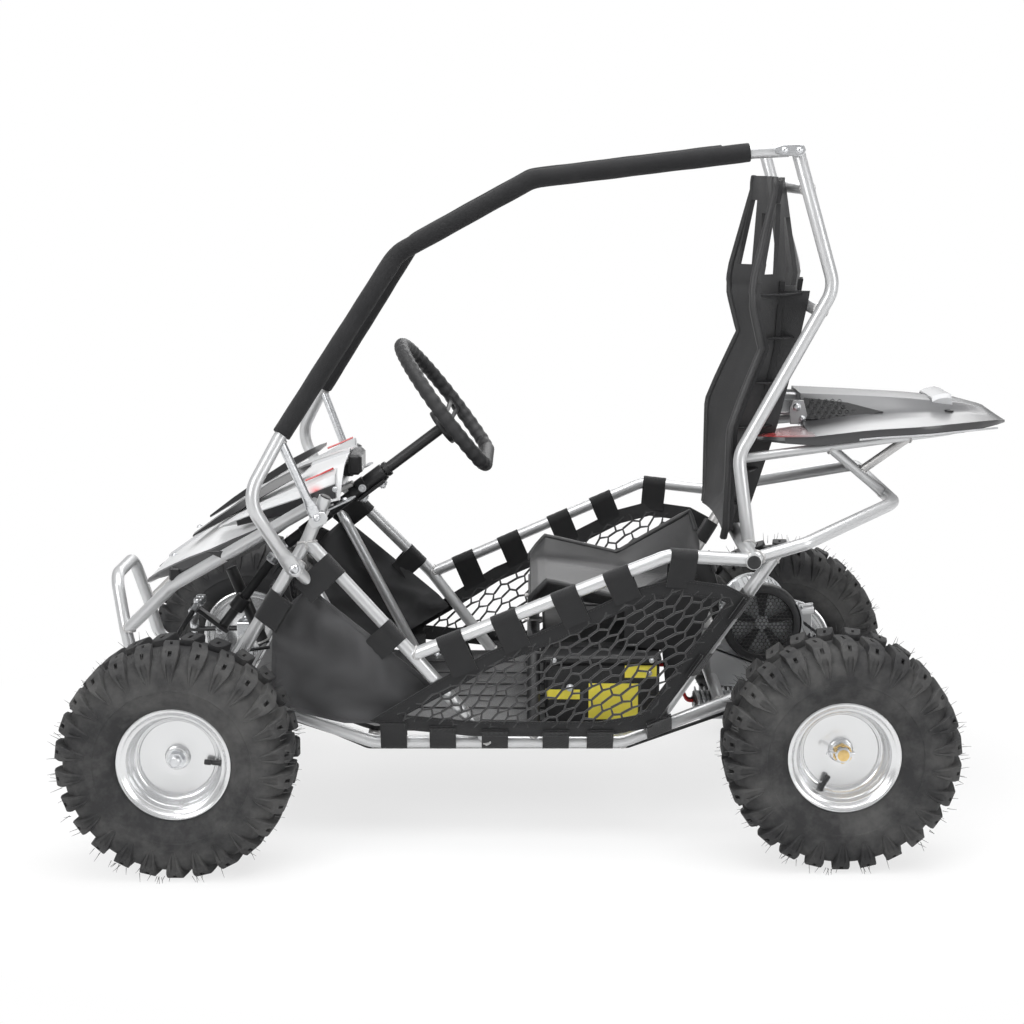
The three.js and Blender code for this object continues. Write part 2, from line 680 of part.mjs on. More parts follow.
// Roll frame behind the seat
const uprightPath = (side) =>
  ["uprightFoot", "uprightWaist", "uprightBack", "uprightTop"].map((name) => at(name, side));
const uprightKeepOut = (side) => keepOut(uprightPath(side), tubeRadius);
const upperCrossHeight = 1088;
const lowerCrossHeight = 888;
const centreBarTop = at("centreBarTop");
const centreBarFoot = at("centreBarFoot");
const centreBarWidth = 20;
const centreBarThickness = 6;
const tailTabTop = 727;
const tailTabHeight = 11;
const tailTabLength = 57;
const tailTabAhead = 22.5;
const tailTabHalf = 12;
function onUpright(height, side) {
  const points = uprightPath(side);
  const next = points.findIndex((p) => p.z > height);
  const [a, b] = [points[next - 1], points[next]];
  return a.clone().lerp(b, (height - a.z) / (b.z - a.z));
}
function rollFrame() {
  const crossAt = (height) => rod(onUpright(height, -1), onUpright(height, 1), tubeRadius);
  const uprights = [-1, 1].map((side) => tube(uprightPath(side), tubeRadius));
  const centre = bar(centreBarFoot, centreBarTop, centreBarWidth, centreBarThickness);
  const tabRear = rearX - tailTabAhead;
  const tab = box(vector(tabRear - tailTabLength, -tailTabHalf, tailTabTop - tailTabHeight),
    vector(tabRear, tailTabHalf, tailTabTop));
  return trim(join(...uprights, crossAt(upperCrossHeight), crossAt(lowerCrossHeight), centre, tab), crossKeepOut);
}
addPiece("roll_frame", rollFrame(), paint.silver);

// Cage bars from the front posts over the driver to the roll frame, with foam sleeves
const flatThickness = 6;
const cageFootLength = 44;
const cageTabWidth = 26;
const sleeveInner = 11.4;
const sleeveThickness = 4.3;
const sleeveInset = 6;
const strutWidth = 20;
const strutThickness = 5;
const cageEndOut = 4.3;
const cageTabStandOff = 1;
function cagePath(side) {
  const corners = ["cageFoot", "cageElbow", "sleeveStart", "cageBrow", "cageCrown", "sleeveEnd"];
  const end = at("cageEnd", side);
  end.y += side * cageEndOut;
  return [...corners.map((name) => at(name, side)), end];
}
const cageKeepOut = (side) => keepOut(cagePath(side), tubeRadius);
function cageBar(side) {
  const path = cagePath(side);
  const foot = at("cageFoot", side);
  const lug = at("cageLug", side);
  const plateY = lug.y + side * (seam + flatThickness / 2);
  const footTop = foot.clone().lerp(at("cageElbow", side), cageFootLength / foot.distanceTo(at("cageElbow", side)));
  const footOutline = xz(
    [footTop.x - tubeRadius, footTop.z],
    [foot.x - tubeRadius, foot.z],
    [foot.x, foot.z - tubeRadius],
    [foot.x + tubeRadius, foot.z],
    [footTop.x + tubeRadius, footTop.z],
  );
  const footPlate = sidePlate(footOutline, flatThickness, plateY);
  const end = at("cageEnd", side);
  const endY = end.y + side * (tubeRadius + seam + flatThickness / 2 + cageTabStandOff);
  const half = cageTabWidth / 2;
  const endTab = sidePlate(xz([end.x - cageTabWidth, end.z - half], [end.x + cageTabWidth, end.z - half],
    [end.x + cageTabWidth, end.z + half], [end.x - cageTabWidth, end.z + half]), flatThickness, endY);
  const kneeTop = at("strutFoot", side);
  kneeTop.y = side * (at("postTop").y + tubeRadius + strutThickness / 2);
  const strut = bar(at("sleeveStart", side), kneeTop, strutThickness, strutWidth);
  return trim(join(tube(path, tubeRadius), footPlate, endTab, strut), kneeKeepOut(side), uprightKeepOut(side));
}
function cageSleeve(side) {
  const start = at("sleeveStart", side);
  const brow = at("cageBrow", side);
  const finish = at("sleeveEnd", side);
  const crown = at("cageCrown", side);
  const from = start.clone().lerp(brow, sleeveInset / start.distanceTo(brow));
  const to = finish.clone().lerp(crown, sleeveInset / finish.distanceTo(crown));
  const outer = tube([from, brow, crown, to], sleeveInner + sleeveThickness);
  return outer.subtract(tube(cagePath(side), sleeveInner));
}
eachSide((label, side) => {
  addPiece(`cage_bar_${label}`, cageBar(side), paint.silver);
  addPiece(`cage_sleeve_${label}`, trim(cageSleeve(side), cageBar(side)), paint.foam);
});

// Tail rack on the uprights, braced down to the rear bumper
const railPathTail = (side) => [at("tailFront", side), at("tailEnd", side)];
const rackFaces = 6;
const rackKeepOut = (side) => tube(railPathTail(side), rackTubeRadius, { faces: rackFaces, grow: seam });
function tailRack() {
  const pieces = [rod(at("tailEnd", -1), at("tailEnd", 1), rackTubeRadius, rackFaces)];
  eachSide((label, side) => {
    pieces.push(tube(railPathTail(side), rackTubeRadius, { faces: rackFaces }));
    pieces.push(rod(at("tailBraceTop", side), at("tailBraceFoot", side), rackTubeRadius, rackFaces));
    pieces.push(rod(at("tailStrutTop", side), at("tailStrutFoot", side), rackTubeRadius, rackFaces));
  });
  return trim(join(...pieces), bumperKeepOut, uprightKeepOut(-1), uprightKeepOut(1));
}
addPiece("tail_rack", tailRack(), paint.silver);

// Tail fairing, a thin moulded shell over the rack
const fairingThickness = 5;
const tailStations = {
  front: { behind: -34.5, ridge: 60, shoulder: 80, half: 205, top: 733, ridgeTop: 733, step: 688, edge: 676 },
  cheek: { behind: 65.5, ridge: 55, shoulder: 85, half: 205, top: 728, ridgeTop: 726, step: 700, edge: 688 },
  middle: { behind: 159.5, ridge: 60, shoulder: 88, half: 205, top: 720, ridgeTop: 716, step: 703, edge: 694 },
  flank: { behind: 252.5, ridge: 60, shoulder: 85, half: 160, top: 712, ridgeTop: 708, step: 703, edge: 697 },
  heel: { behind: 295.5, ridge: 50, shoulder: 80, half: 120, top: 703, ridgeTop: 701, step: 698, edge: 695 },
  tip: { behind: 317.5, ridge: 20, shoulder: 50, half: 80, top: 692, ridgeTop: 691.5, step: 690.8, edge: 690 },
};
const wingInner = 175;
const wingOuter = 205;
const wingTipAhead = 122.5;
const wingTop = 675;
const spoiler = { behind: 203.5, length: 52, half: 55, foot: 704, top: 731 };
const padHalf = 12;
const padBehind = { front: 25.5, rear: 200.5 };
function mirroredRow({ x, profile }) {
  const right = profile.map(([y, z]) => vector(x, y, z));
  return [...right.slice(1).reverse().map(flip), ...right];
}
function tailRow({ behind, ridge, shoulder, half, top, ridgeTop, step, edge }) {
  return mirroredRow({ x: rearX + behind, profile: [[0, top], [ridge, ridgeTop], [shoulder, step], [half, edge]] });
}
function tailFairing() {
  const rows = Object.values(tailStations).map(tailRow);
  const lipX = rearX + tailStations.front.behind;
  const spoilerX = rearX + spoiler.behind;
  const raised = box(vector(spoilerX, -spoiler.half, spoiler.foot),
    vector(spoilerX + spoiler.length, spoiler.half, spoiler.top));
  let fairing = join(shell(rows, vector(0, 0, -fairingThickness)), raised);
  eachSide((label, side) => {
    const y = [side * wingInner, side * wingOuter].sort((a, b) => a - b);
    const wing = box(vector(rearX - wingTipAhead, y[0], wingTop - fairingThickness),
      vector(lipX + overrun, y[1], wingTop));
    fairing = join(fairing, wing);
    for (const behind of Object.values(padBehind)) {
      const x = rearX + behind;
      const share = (x - at("tailFront").x) / (at("tailEnd").x - at("tailFront").x);
      const on = at("tailFront", side).lerp(at("tailEnd", side), share);
      const pad = box(vector(x - padHalf, on.y - rackTubeRadius, on.z), vector(x + padHalf, on.y + rackTubeRadius,
        on.z + rackTubeRadius * 2 + padHalf / 2));
      fairing = join(fairing, pad);
    }
  });
  return trim(fairing, rackKeepOut(-1), rackKeepOut(1));
}
addPiece("tail_fairing", tailFairing(), paint.fairing);

// Nose fairing over the nose tubes and the dash tube
const noseThickness = 4;
const noseStations = {
  tip: { back: -119.5, half: 40, top: 392, edge: 388 },
  chin: { back: -25.5, half: 150, top: 470, edge: 448 },
  bonnet: { back: 76.5, half: 190, top: 550, edge: 497 },
  cowl: { back: 184.5, half: 200, top: 600, edge: 556 },
  rear: { back: 242.5, half: 200, top: 620, edge: 570 },
};
const noseShares = [[0, 0], [0.6, 0.14], [1, 1]];
const saddle = { inner: 134, outer: 162, height: 44 };
const nosePad = { front: -65.5, rear: -39.5, inner: 118, outer: 152, foot: 396, top: 440 };
function noseRow({ back, half, top, edge }) {
  const profile = noseShares.map(([out, drop]) => [half * out, top + (edge - top) * drop]);
  return mirroredRow({ x: frontX + back, profile });
}
function noseFairing() {
  let fairing = shell(Object.values(noseStations).map(noseRow), vector(0, 0, -noseThickness));
  const dash = at("dashTube");
  eachSide((label, side) => {
    const y = [saddle.inner * side, saddle.outer * side].sort((a, b) => a - b);
    const block = box(vector(dash.x - tubeRadius, y[0], dash.z), vector(dash.x + tubeRadius, y[1], dash.z + saddle.height));
    const padY = [nosePad.inner * side, nosePad.outer * side].sort((a, b) => a - b);
    const pad = box(vector(frontX + nosePad.front, padY[0], nosePad.foot),
      vector(frontX + nosePad.rear, padY[1], nosePad.top));
    fairing = join(fairing, block, pad);
  });
  return trim(fairing, keepOut(across("dashTube"), tubeRadius), noseKeepOut(-1), noseKeepOut(1));
}
addPiece("nose_fairing", noseFairing(), paint.fairing);

// Display pod behind the fairing's rear edge
const podHalf = 50;
const podLength = 24;
const podHeight = 36;
const podFront = frontX + noseStations.rear.back + seam;
const podTop = noseStations.rear.top;
addPiece("dash_display", box(vector(podFront, -podHalf, podTop - podHeight),
  vector(podFront + podLength, podHalf, podTop)), paint.blackPlastic);

// Seat back: each row's height, how far its middle and edge stand ahead of the axle, and its half width
const seatThickness = 8;
const seatRows = {
  lip: { height: 1105, middle: 84.5, edge: 103.5, half: 151 },
  brow: { height: 1080, middle: 79.5, edge: 104.5, half: 155 },
  shoulder: { height: 945, middle: 44.5, edge: 137.5, half: 185 },
  blade: { height: 904, middle: 50.5, edge: 143.5, half: 190 },
  waist: { height: 821, middle: 64.5, edge: 122.5, half: 174 },
  flank: { height: 693, middle: 98.5, edge: 175.5, half: 205 },
  hip: { height: 600, middle: 126.5, edge: 176.5, half: 200 },
  belt: { height: 520, middle: 150.5, edge: 177.5, half: 190 },
  hem: { height: 497, middle: 168.5, edge: 180.5, half: 180 },
};
const bucketShares = [[0, 0], [0.5, 0.12], [0.85, 0.6], [1, 1]];
const slotInner = 112;
const slotOuter = 136;
const slotFoot = 930;
const slotTop = 1058;
const slotAhead = { front: 154.5, rear: 14.5 };
const bossRadius = 9;
const bossFaces = 8;
const bossHeights = { lower: 553, upper: 850 };
const centreAt = (z) => {
  const rows = Object.values(seatRows);
  const next = rows.findIndex((row) => row.height <= z);
  const [a, b] = [rows[next - 1], rows[next]];
  return rearX - THREE.MathUtils.mapLinear(z, b.height, a.height, b.middle, a.middle);
};
function seatBack() {
  const rows = Object.values(seatRows).map(({ height, middle, edge, half }) => {
    const place = ([out, share]) => vector(rearX - middle - (edge - middle) * share, half * out, height);
    const right = bucketShares.map(place);
    return [...right.slice(1).reverse().map(flip), ...right];
  });
  let back = shell(rows, vector(seatThickness, 0, 0));
  eachSide((label, side) => {
    const y = [slotInner * side, slotOuter * side].sort((a, b) => a - b);
    back = back.subtract(box(vector(rearX - slotAhead.front, y[0], slotFoot),
      vector(rearX - slotAhead.rear, y[1], slotTop)));
  });
  for (const z of Object.values(bossHeights)) {
    const face = centreBarFoot.x + ((centreBarTop.x - centreBarFoot.x) * (z - centreBarFoot.z)) /
      (centreBarTop.z - centreBarFoot.z);
    const front = vector(centreAt(z) + seatThickness / 2, 0, z);
    back = join(back, rod(front, vector(face, 0, z), bossRadius, bossFaces));
  }
  const barKeepOut = bar(centreBarFoot, centreBarTop, centreBarWidth + 2 * seam, centreBarThickness + 2 * seam);
  return trim(back, barKeepOut);
}
addPiece("seat_back", seatBack(), paint.blackPlastic);

// Seat base: a moulded pan with raised sides and a skirt in front
const baseThickness = 6;
const baseHalf = 185;
const baseFloorHalf = 150;
const baseRows = {
  skirt: { back: 562.5, middle: 341, edge: 341, half: baseFloorHalf },
  lip: { back: 565.5, middle: 386, edge: 398, half: baseHalf },
  front: { back: 593.5, middle: 393, edge: 430, half: baseHalf },
  thigh: { back: 729.5, middle: 375, edge: 398, half: baseHalf },
  sit: { back: 774.5, middle: 370, edge: 425, half: baseHalf },
  bolster: { back: 866.5, middle: 367, edge: 479, half: baseHalf },
  rear: { back: 884.5, middle: 374, edge: 424, half: baseHalf },
};
const baseShares = [[0, 0], [0.5, 0.04], [0.84, 0.15], [1, 1]];
function seatBase() {
  const rows = Object.values(baseRows).map(({ back, middle, edge, half }) => {
    const place = ([out, share]) => vector(frontX + back, half * out, middle + (edge - middle) * share);
    const right = baseShares.map(place);
    return [...right.slice(1).reverse().map(flip), ...right];
  });
  const base = shell(rows, vector(baseThickness, 0, -baseThickness));
  const cross = keepOut([seatCrossEnd(-1), seatCrossEnd(1)], tubeRadius);
  return trim(base, cross);
}
addPiece("seat_base", seatBase(), paint.blackPlastic);

// Battery box on the floor pan
const batteryBack = 590.5;
const batteryLength = 194;
const batteryFront = frontX + batteryBack;
const batteryRear = batteryFront + batteryLength;
const batteryHalf = 235;
const batteryTop = 305;
const batteryFloor = at("railKick").z + tubeRadius - weldSink + panThickness + seam;
const lidLip = 3;
const lidHeight = 14;
function batteryBox() {
  const body = box(vector(batteryFront + lidLip, -batteryHalf + lidLip, batteryFloor),
    vector(batteryRear - lidLip, batteryHalf - lidLip, batteryTop));
  const lid = box(vector(batteryFront, -batteryHalf, batteryTop - lidHeight), vector(batteryRear, batteryHalf, batteryTop));
  return join(body, lid);
}
addPiece("battery_box", batteryBox(), paint.blackPlastic);

// Motor, its mesh cowl and the mount across the rear of the frame
const motorAhead = 96.5;
const motorX = rearX - motorAhead;
const motorRise = 13.4;
const motorRadius = 62;
const motorFrom = -80;
const motorTo = 60;
const motorFaces = 14;
const motorShaftRadius = 7;
const motorFootHalf = 40;
const cowlRadius = 71;
const cowlDepth = 25;
const mountFrontAhead = 189.5;
const mountRearAhead = 72.5;
const mountFront = rearX - mountFrontAhead;
const mountRear = rearX - mountRearAhead;
const mountFrontHeight = 288;
const mountRearHeight = 246;
const mountFrom = -90;
const mountTo = 70;
const mountSheet = 5;
const mountLip = 38;
const sprocketY = 110;
const pinionRadius = 22;
const sprocketRadius = 75;
const sprocketThickness = 5;
const pinionHubRadius = 12;
const pinionFaces = 12;
const motorShaftFaces = 8;
const motorFootShare = 1.5;
const motorCrossAhead = 182;
const motorCrossX = rearX - motorCrossAhead;
const motorCrossHeight = railHeightAt(motorCrossX);
const mountHeightAt = (x) =>
  THREE.MathUtils.mapLinear(x, mountFront, mountRear, mountFrontHeight, mountRearHeight);
const motorHeight = mountHeightAt(motorX) + motorRadius + motorRise;
const motorCentre = (y) => vector(motorX, y, motorHeight);
const motorCrossPath = [-1, 1].map((side) => vector(motorCrossX, side * railHalfAt(motorCrossX), motorCrossHeight));
function motor() {
  const drum = rod(motorCentre(motorFrom), motorCentre(motorTo), motorRadius, motorFaces);
  const shaft = rod(motorCentre(motorTo), motorCentre(sprocketY + pinionRadius), motorShaftRadius, motorShaftFaces);
  const footFront = motorX - motorFootHalf;
  const footRear = mountRear - mountSheet;
  const outline = xz(
    [footFront, mountHeightAt(footFront) + seam],
    [footFront, motorHeight],
    [footRear, motorHeight],
    [footRear, mountHeightAt(footRear) + seam],
  );
  const foot = sidePlate(outline, motorFootHalf * 2, motorFrom + motorFootHalf * motorFootShare);
  return join(drum, shaft, foot);
}
addPiece("motor", motor(), paint.silver);
const cowl = rod(motorCentre(motorFrom - seam - cowlDepth), motorCentre(motorFrom - seam), cowlRadius, motorFaces);
addPiece("motor_cowl", cowl, paint.blackPlastic);
function motorMount() {
  const width = mountTo - mountFrom;
  const middle = (mountTo + mountFrom) / 2;
  const sheet = sidePlate(xz([mountFront, mountFrontHeight], [mountRear, mountRearHeight],
    [mountRear, mountRearHeight - mountSheet], [mountFront, mountFrontHeight - mountSheet]), width, middle);
  const cheek = (y) => sidePlate(xz([mountFront, mountFrontHeight], [mountRear, mountRearHeight],
    [mountRear, mountRearHeight - mountLip], [mountFront, motorCrossHeight - tubeRadius]), mountSheet, y);
  const cross = rod(motorCrossPath[0], motorCrossPath[1], tubeRadius);
  const mount = join(sheet, cheek(mountFrom + mountSheet / 2), cheek(mountTo - mountSheet / 2), cross);
  return trim(mount, ...bothRails);
}
addPiece("motor_mount", motorMount(), paint.silver);

const controllerAhead = { front: 216.5, rear: 126.5 };
const controllerFront = rearX - controllerAhead.front;
const controllerRear = rearX - controllerAhead.rear;
const controllerFrom = -190;
const controllerTo = -95;
const controllerHeight = 36;
const controllerTop = motorCrossHeight - tubeRadius - seam;
addPiece("controller", box(vector(controllerFront, controllerFrom, controllerTop - controllerHeight),
  vector(controllerRear, controllerTo, controllerTop)), paint.blackPlastic);

// Rear axle with its disc, sprocket and castle nuts; motor pinion and chain
const discRadius = 80;
const brakeDiscThickness = 4;
const discInset = 35;
const discY = discInset - at("railTail").y;
const axleNutRadius = 19;
const axleFaces = 12;
const discHub = 20;
const discHubRadius = 24;
const discFaces = 16;
const axlePoint = (y) => vector(rearX, y, axleHeight);
const axleEnd = rearTrack / 2 + spindleReach;
function rearAxle() {
  const shaft = rod(axlePoint(-axleEnd), axlePoint(axleEnd), axleRadius, axleFaces);
  const nutStart = rearTrack / 2 + nutFrom;
  const nuts = [-1, 1].map((side) =>
    rod(axlePoint(side * nutStart), axlePoint(side * (nutStart + nutLength)), axleNutRadius, nutFaces));
  return join(shaft, ...nuts);
}
addPiece("rear_axle", rearAxle(), paint.zinc);
function axleWheel(y, radius, thickness, hubRoom, faces) {
  const plate = rod(axlePoint(y - thickness / 2), axlePoint(y + thickness / 2), radius, faces);
  const hub = rod(axlePoint(y - hubRoom / 2), axlePoint(y + hubRoom / 2), discHubRadius, axleFaces);
  const bore = rod(axlePoint(y - hubRoom), axlePoint(y + hubRoom), roundBore(axleRadius + seam, axleFaces), axleFaces);
  return join(plate, hub).subtract(bore);
}
addPiece("brake_disc", axleWheel(discY, discRadius, brakeDiscThickness, discHub, discFaces), paint.zinc);
addPiece("rear_sprocket", axleWheel(sprocketY, sprocketRadius, sprocketThickness, discHub, discFaces), paint.blackSteel);
function pinion() {
  const gear = rod(motorCentre(sprocketY - sprocketThickness / 2), motorCentre(sprocketY + sprocketThickness / 2),
    pinionRadius, pinionFaces);
  const hub = rod(motorCentre(sprocketY - discHub / 2), motorCentre(sprocketY + discHub / 2), pinionHubRadius, pinionFaces);
  const bore = rod(motorCentre(sprocketY - discHub), motorCentre(sprocketY + discHub),
    roundBore(motorShaftRadius + runningGap, motorShaftFaces), motorShaftFaces);
  return join(gear, hub).subtract(bore);
}
addPiece("motor_pinion", pinion(), paint.blackSteel);
const chainThickness = 6;
const chainWidth = 9;
const chainFaces = 6;

// The outline of a belt round two wheels, standing off each by the given room.
function beltOutline(near, nearRadius, far, farRadius, steps) {
  const between = Math.atan2(far.y - near.y, far.x - near.x);
  const lean = Math.acos((nearRadius - farRadius) / near.distanceTo(far));
  const points = [];
  for (let k = 0; k <= steps; k++) {
    const angle = between + lean + (2 * (Math.PI - lean) * k) / steps;
    points.push(new THREE.Vector2(near.x + nearRadius * Math.cos(angle), near.y + nearRadius * Math.sin(angle)));
  }
  for (let k = 0; k <= steps * 2; k++) {
    const angle = between - lean + (2 * lean * k) / (steps * 2);
    points.push(new THREE.Vector2(far.x + farRadius * Math.cos(angle), far.y + farRadius * Math.sin(angle)));
  }
  return points;
}
function chain() {
  const small = new THREE.Vector2(motorX, motorHeight);
  const large = new THREE.Vector2(rearX, axleHeight);
  const lean = Math.acos((pinionRadius - sprocketRadius) / small.distanceTo(large));
  const belt = (room) => {
    const nearRadius = (pinionRadius + room) / Math.cos((Math.PI - lean) / chainFaces);
    return beltOutline(small, nearRadius, large, (sprocketRadius + room) / Math.cos(lean / chainFaces / 2), chainFaces);
  };
  return sidePlate(belt(seam + chainThickness), chainWidth, sprocketY, [belt(seam)]);
}
addPiece("chain", chain(), paint.blackSteel);

// Brake caliper on the left axle carrier
const caliperSize = { lead: 28.5, trail: 27.5, half: 19, foot: 236, top: 284 };
const caliperTab = { foot: 244, top: 262 };
const padGap = 1;
const discClearance = 2;
const caliperFront = rearX - caliperSize.lead;
const caliperRear = rearX + caliperSize.trail;
function caliper() {
  const outside = discY - caliperSize.half;
  const body = box(vector(caliperFront, outside, caliperSize.foot),
    vector(caliperRear, discY + caliperSize.half, caliperSize.top));
  const carrierFace = -at("railTail").y + carrierThickness / 2 + seam;
  const tab = box(vector(caliperFront, carrierFace, caliperTab.foot), vector(caliperRear, outside + seam, caliperTab.top));
  const slotHalf = brakeDiscThickness / 2 + padGap;
  const slotRadius = roundBore(discRadius + discClearance, discFaces);
  const slot = rod(axlePoint(discY - slotHalf), axlePoint(discY + slotHalf), slotRadius, discFaces);
  return join(body, tab).subtract(slot);
}
addPiece("brake_caliper", caliper(), paint.blackSteel);

// Steering: dash tube with its bush, column and wheel on one axis, then the lower shaft to the track rods
const columnFoot = at("columnFoot");
const columnHub = at("columnHub");
const columnAxis = columnHub.clone().sub(columnFoot).normalize();
const alongColumn = (distance) => columnFoot.clone().addScaledVector(columnAxis, distance);
const columnRadius = 10;
const columnLength = columnFoot.distanceTo(columnHub);
const bushRadius = 15;
const bushFrom = 164;
const bushTo = 236;
const bushLugHalf = 14;
const bushLugSink = 2;
const columnFaces = 12;
const collarRadius = 14;
const collarGap = 2;
const collarLength = 8;
function steeringBush() {
  const sleeve = rod(alongColumn(bushFrom), alongColumn(bushTo), bushRadius, columnFaces);
  const dash = at("dashTube");
  const reach = alongColumn(bushFrom + bushRadius);
  const lug = box(vector(dash.x - bushLugSink, -bushLugHalf, dash.z - bushLugHalf / 2),
    vector(reach.x + bushRadius, bushLugHalf, dash.z + tubeRadius + overrun));
  const bore = rod(alongColumn(0), alongColumn(columnLength), columnRadius + runningGap, columnFaces);
  return trim(join(sleeve, lug, tube(across("dashTube"), tubeRadius)), bore, kneeKeepOut(-1), kneeKeepOut(1));
}
addPiece("dash_cross_tube", steeringBush(), paint.silver);

const jointHalf = 15;
const jointRadius = 12;
function steeringColumn() {
  const shaft = rod(alongColumn(jointHalf), alongColumn(columnLength - seam), columnRadius, columnFaces);
  const fork = rod(alongColumn(seam), alongColumn(jointHalf), jointRadius);
  const stopAt = bushTo + collarGap;
  const stop = rod(alongColumn(stopAt), alongColumn(stopAt + collarLength), collarRadius, columnFaces);
  return join(shaft, fork, stop);
}
addPiece("steering_column", steeringColumn(), paint.blackSteel);

const wheelUp = vector(-columnAxis.z, 0, columnAxis.x);
const ringRise = 12;
const ringRadius = 147;
const flatDrop = 89;
const gripRadius = 13;
const ringOut = 34;
const hubPadRadius = 34;
const hubPadDepth = 16;
const ringSteps = 14;
const ringFaces = 6;
const spokeWidth = 26;
const spokeThickness = 9;

// A closed ring of round section through points that lie in one plane.
function ringTube(points, normal, radius, faces) {
  const positions = [];
  const index = [];
  points.forEach((point, i) => {
    const next = points[(i + 1) % points.length];
    const before = points[(i + points.length - 1) % points.length];
    const sideways = next.clone().sub(before).normalize().cross(normal);
    for (let k = 0; k < faces; k++) {
      const angle = (k / faces) * Math.PI * 2;
      const place = point.clone().addScaledVector(sideways, radius * Math.cos(angle));
      place.addScaledVector(normal, radius * Math.sin(angle));
      positions.push(place.x, place.y, place.z);
      const a = i * faces + k;
      const b = i * faces + ((k + 1) % faces);
      const c = ((i + 1) % points.length) * faces + k;
      const d = ((i + 1) % points.length) * faces + ((k + 1) % faces);
      index.push(a, b, d, a, d, c);
    }
  });
  const geometry = new THREE.BufferGeometry();
  geometry.setAttribute("position", new THREE.Float32BufferAttribute(positions, 3));
  geometry.setIndex(index);
  return solidOf(geometry);
}
function steeringWheel() {
  const plane = columnHub.clone().addScaledVector(columnAxis, ringOut);
  const inPlane = (right, up) => plane.clone().addScaledVector(wheelUp, up).add(vector(0, right, 0));
  const cut = Math.asin((flatDrop + ringRise) / ringRadius);
  const sweep = Math.PI + 2 * cut;
  const points = [];
  for (let k = 0; k <= ringSteps; k++) {
    const angle = -cut + (sweep * k) / ringSteps;
    points.push(inPlane(ringRadius * Math.cos(angle), ringRise + ringRadius * Math.sin(angle)));
  }
  points.push(inPlane(0, -flatDrop));
  let wheel = ringTube(points, columnAxis, gripRadius, ringFaces);
  const pad = rod(columnHub, columnHub.clone().addScaledVector(columnAxis, hubPadDepth), hubPadRadius, ringSteps);
  const spokeRoot = columnHub.clone().addScaledVector(columnAxis, hubPadDepth / 2);
  const ends = [inPlane(-ringRadius, ringRise), inPlane(ringRadius, ringRise), inPlane(0, -flatDrop)];
  for (const end of ends) wheel = join(wheel, spoke(spokeRoot, end));
  return join(wheel, pad);
}
function spoke(from, to) {
  const along = to.clone().sub(from);
  const flat = new THREE.BoxGeometry(along.length(), spokeWidth, spokeThickness).translate(along.length() / 2, 0, 0);
  const forward = along.clone().normalize();
  const sideways = columnAxis.clone().cross(forward).normalize();
  flat.applyMatrix4(new THREE.Matrix4().makeBasis(forward, sideways, forward.clone().cross(sideways)));
  return solidOf(flat.translate(from.x, from.y, from.z));
}
addPiece("steering_wheel", steeringWheel(), paint.blackPlastic);

const lowerFoot = at("lowerFoot");
const lowerAxis = lowerFoot.clone().sub(columnFoot).normalize();
const lowerRadius = 9;
const lowerGap = 17;
const armLength = 61;
const armWidth = 24;
const armThickness = 8;
const studSpread = 13;
const rodEndRadius = 7;
const rodEyeWall = 2;
const rodEyeDrop = 4;
const rodEyeFaces = 10;
const tieRodRadius = 5;
const armOut = vector(lowerAxis.z, 0, -lowerAxis.x);
const pitmanTip = lowerFoot.clone().addScaledVector(armOut, armLength);
const alongLower = (distance) => columnFoot.clone().addScaledVector(lowerAxis, distance);
const lowerLength = columnFoot.distanceTo(lowerFoot);
function lowerShaft() {
  const shaft = rod(alongLower(lowerGap), alongLower(lowerLength + armThickness), lowerRadius, columnFaces);
  const fork = rod(alongLower(lowerGap), alongLower(lowerGap + jointHalf), jointRadius);
  const arm = bar(lowerFoot, pitmanTip, armWidth, armThickness);
  const reach = vector(0, studSpread + rodEndRadius, 0);
  const cross = rod(pitmanTip.clone().sub(reach), pitmanTip.clone().add(reach), armThickness / 2);
  return join(shaft, fork, arm, cross);
}
addPiece("steering_lower_shaft", lowerShaft(), paint.blackSteel);

const rodEndLift = armThickness / 2 + seam + rodEndRadius;
const tieInner = (side) =>
  pitmanTip.clone().addScaledVector(lowerAxis, -rodEndLift - rodEyeDrop).add(vector(0, side * studSpread, 0));
const tieOuter = (side) => knuckleTip(side).add(vector(0, 0, knuckleArmThickness / 2 + seam + rodEndRadius));
function tieRod(side) {
  const ends = [tieInner(side), tieOuter(side)];
  const half = vector(0, 0, rodEndRadius);
  const eyes = ends.map((point) =>
    rod(point.clone().sub(half), point.clone().add(half), rodEndRadius + rodEyeWall, rodEyeFaces));
  return join(rod(ends[0], ends[1], tieRodRadius), ...eyes);
}
eachSide((label, side) => addPiece(`tie_rod_${label}`, tieRod(side), paint.zinc));

const postFoot = at("steeringPostFoot");
const postTip = at("steeringPostTip");
const guideAt = 112;
const guideLength = 28;
const guideRadius = 14;
const guideBar = 10;
function steeringPost() {
  const post = rod(postFoot, postTip, tubeRadius);
  const guide = rod(alongLower(guideAt), alongLower(guideAt + guideLength), guideRadius, columnFaces);
  const middle = alongLower(guideAt + guideLength / 2);
  const link = bar(middle, middle.clone().setY(postFoot.y), guideLength, guideBar);
  const bore = rod(alongLower(0), alongLower(lowerLength), lowerRadius + runningGap, columnFaces);
  const noseX = frontX + noseCrossBack;
  const crossEnds = [-1, 1].map((side) => vector(noseX, side * railHalfAt(noseX), railHeightAt(noseX)));
  const cross = rod(crossEnds[0], crossEnds[1], tubeRadius + seam);
  const panTop = railHeightAt(noseX) + tubeRadius - weldSink + panThickness + seam;
  const pan = box(vector(noseX - seam, 0, panTop - overrun * 4), vector(noseX + overrun * 4, postFoot.y * 2, panTop));
  return trim(join(post, guide, link), bore, cross, pan);
}
addPiece("steering_post", steeringPost(), paint.blackSteel);

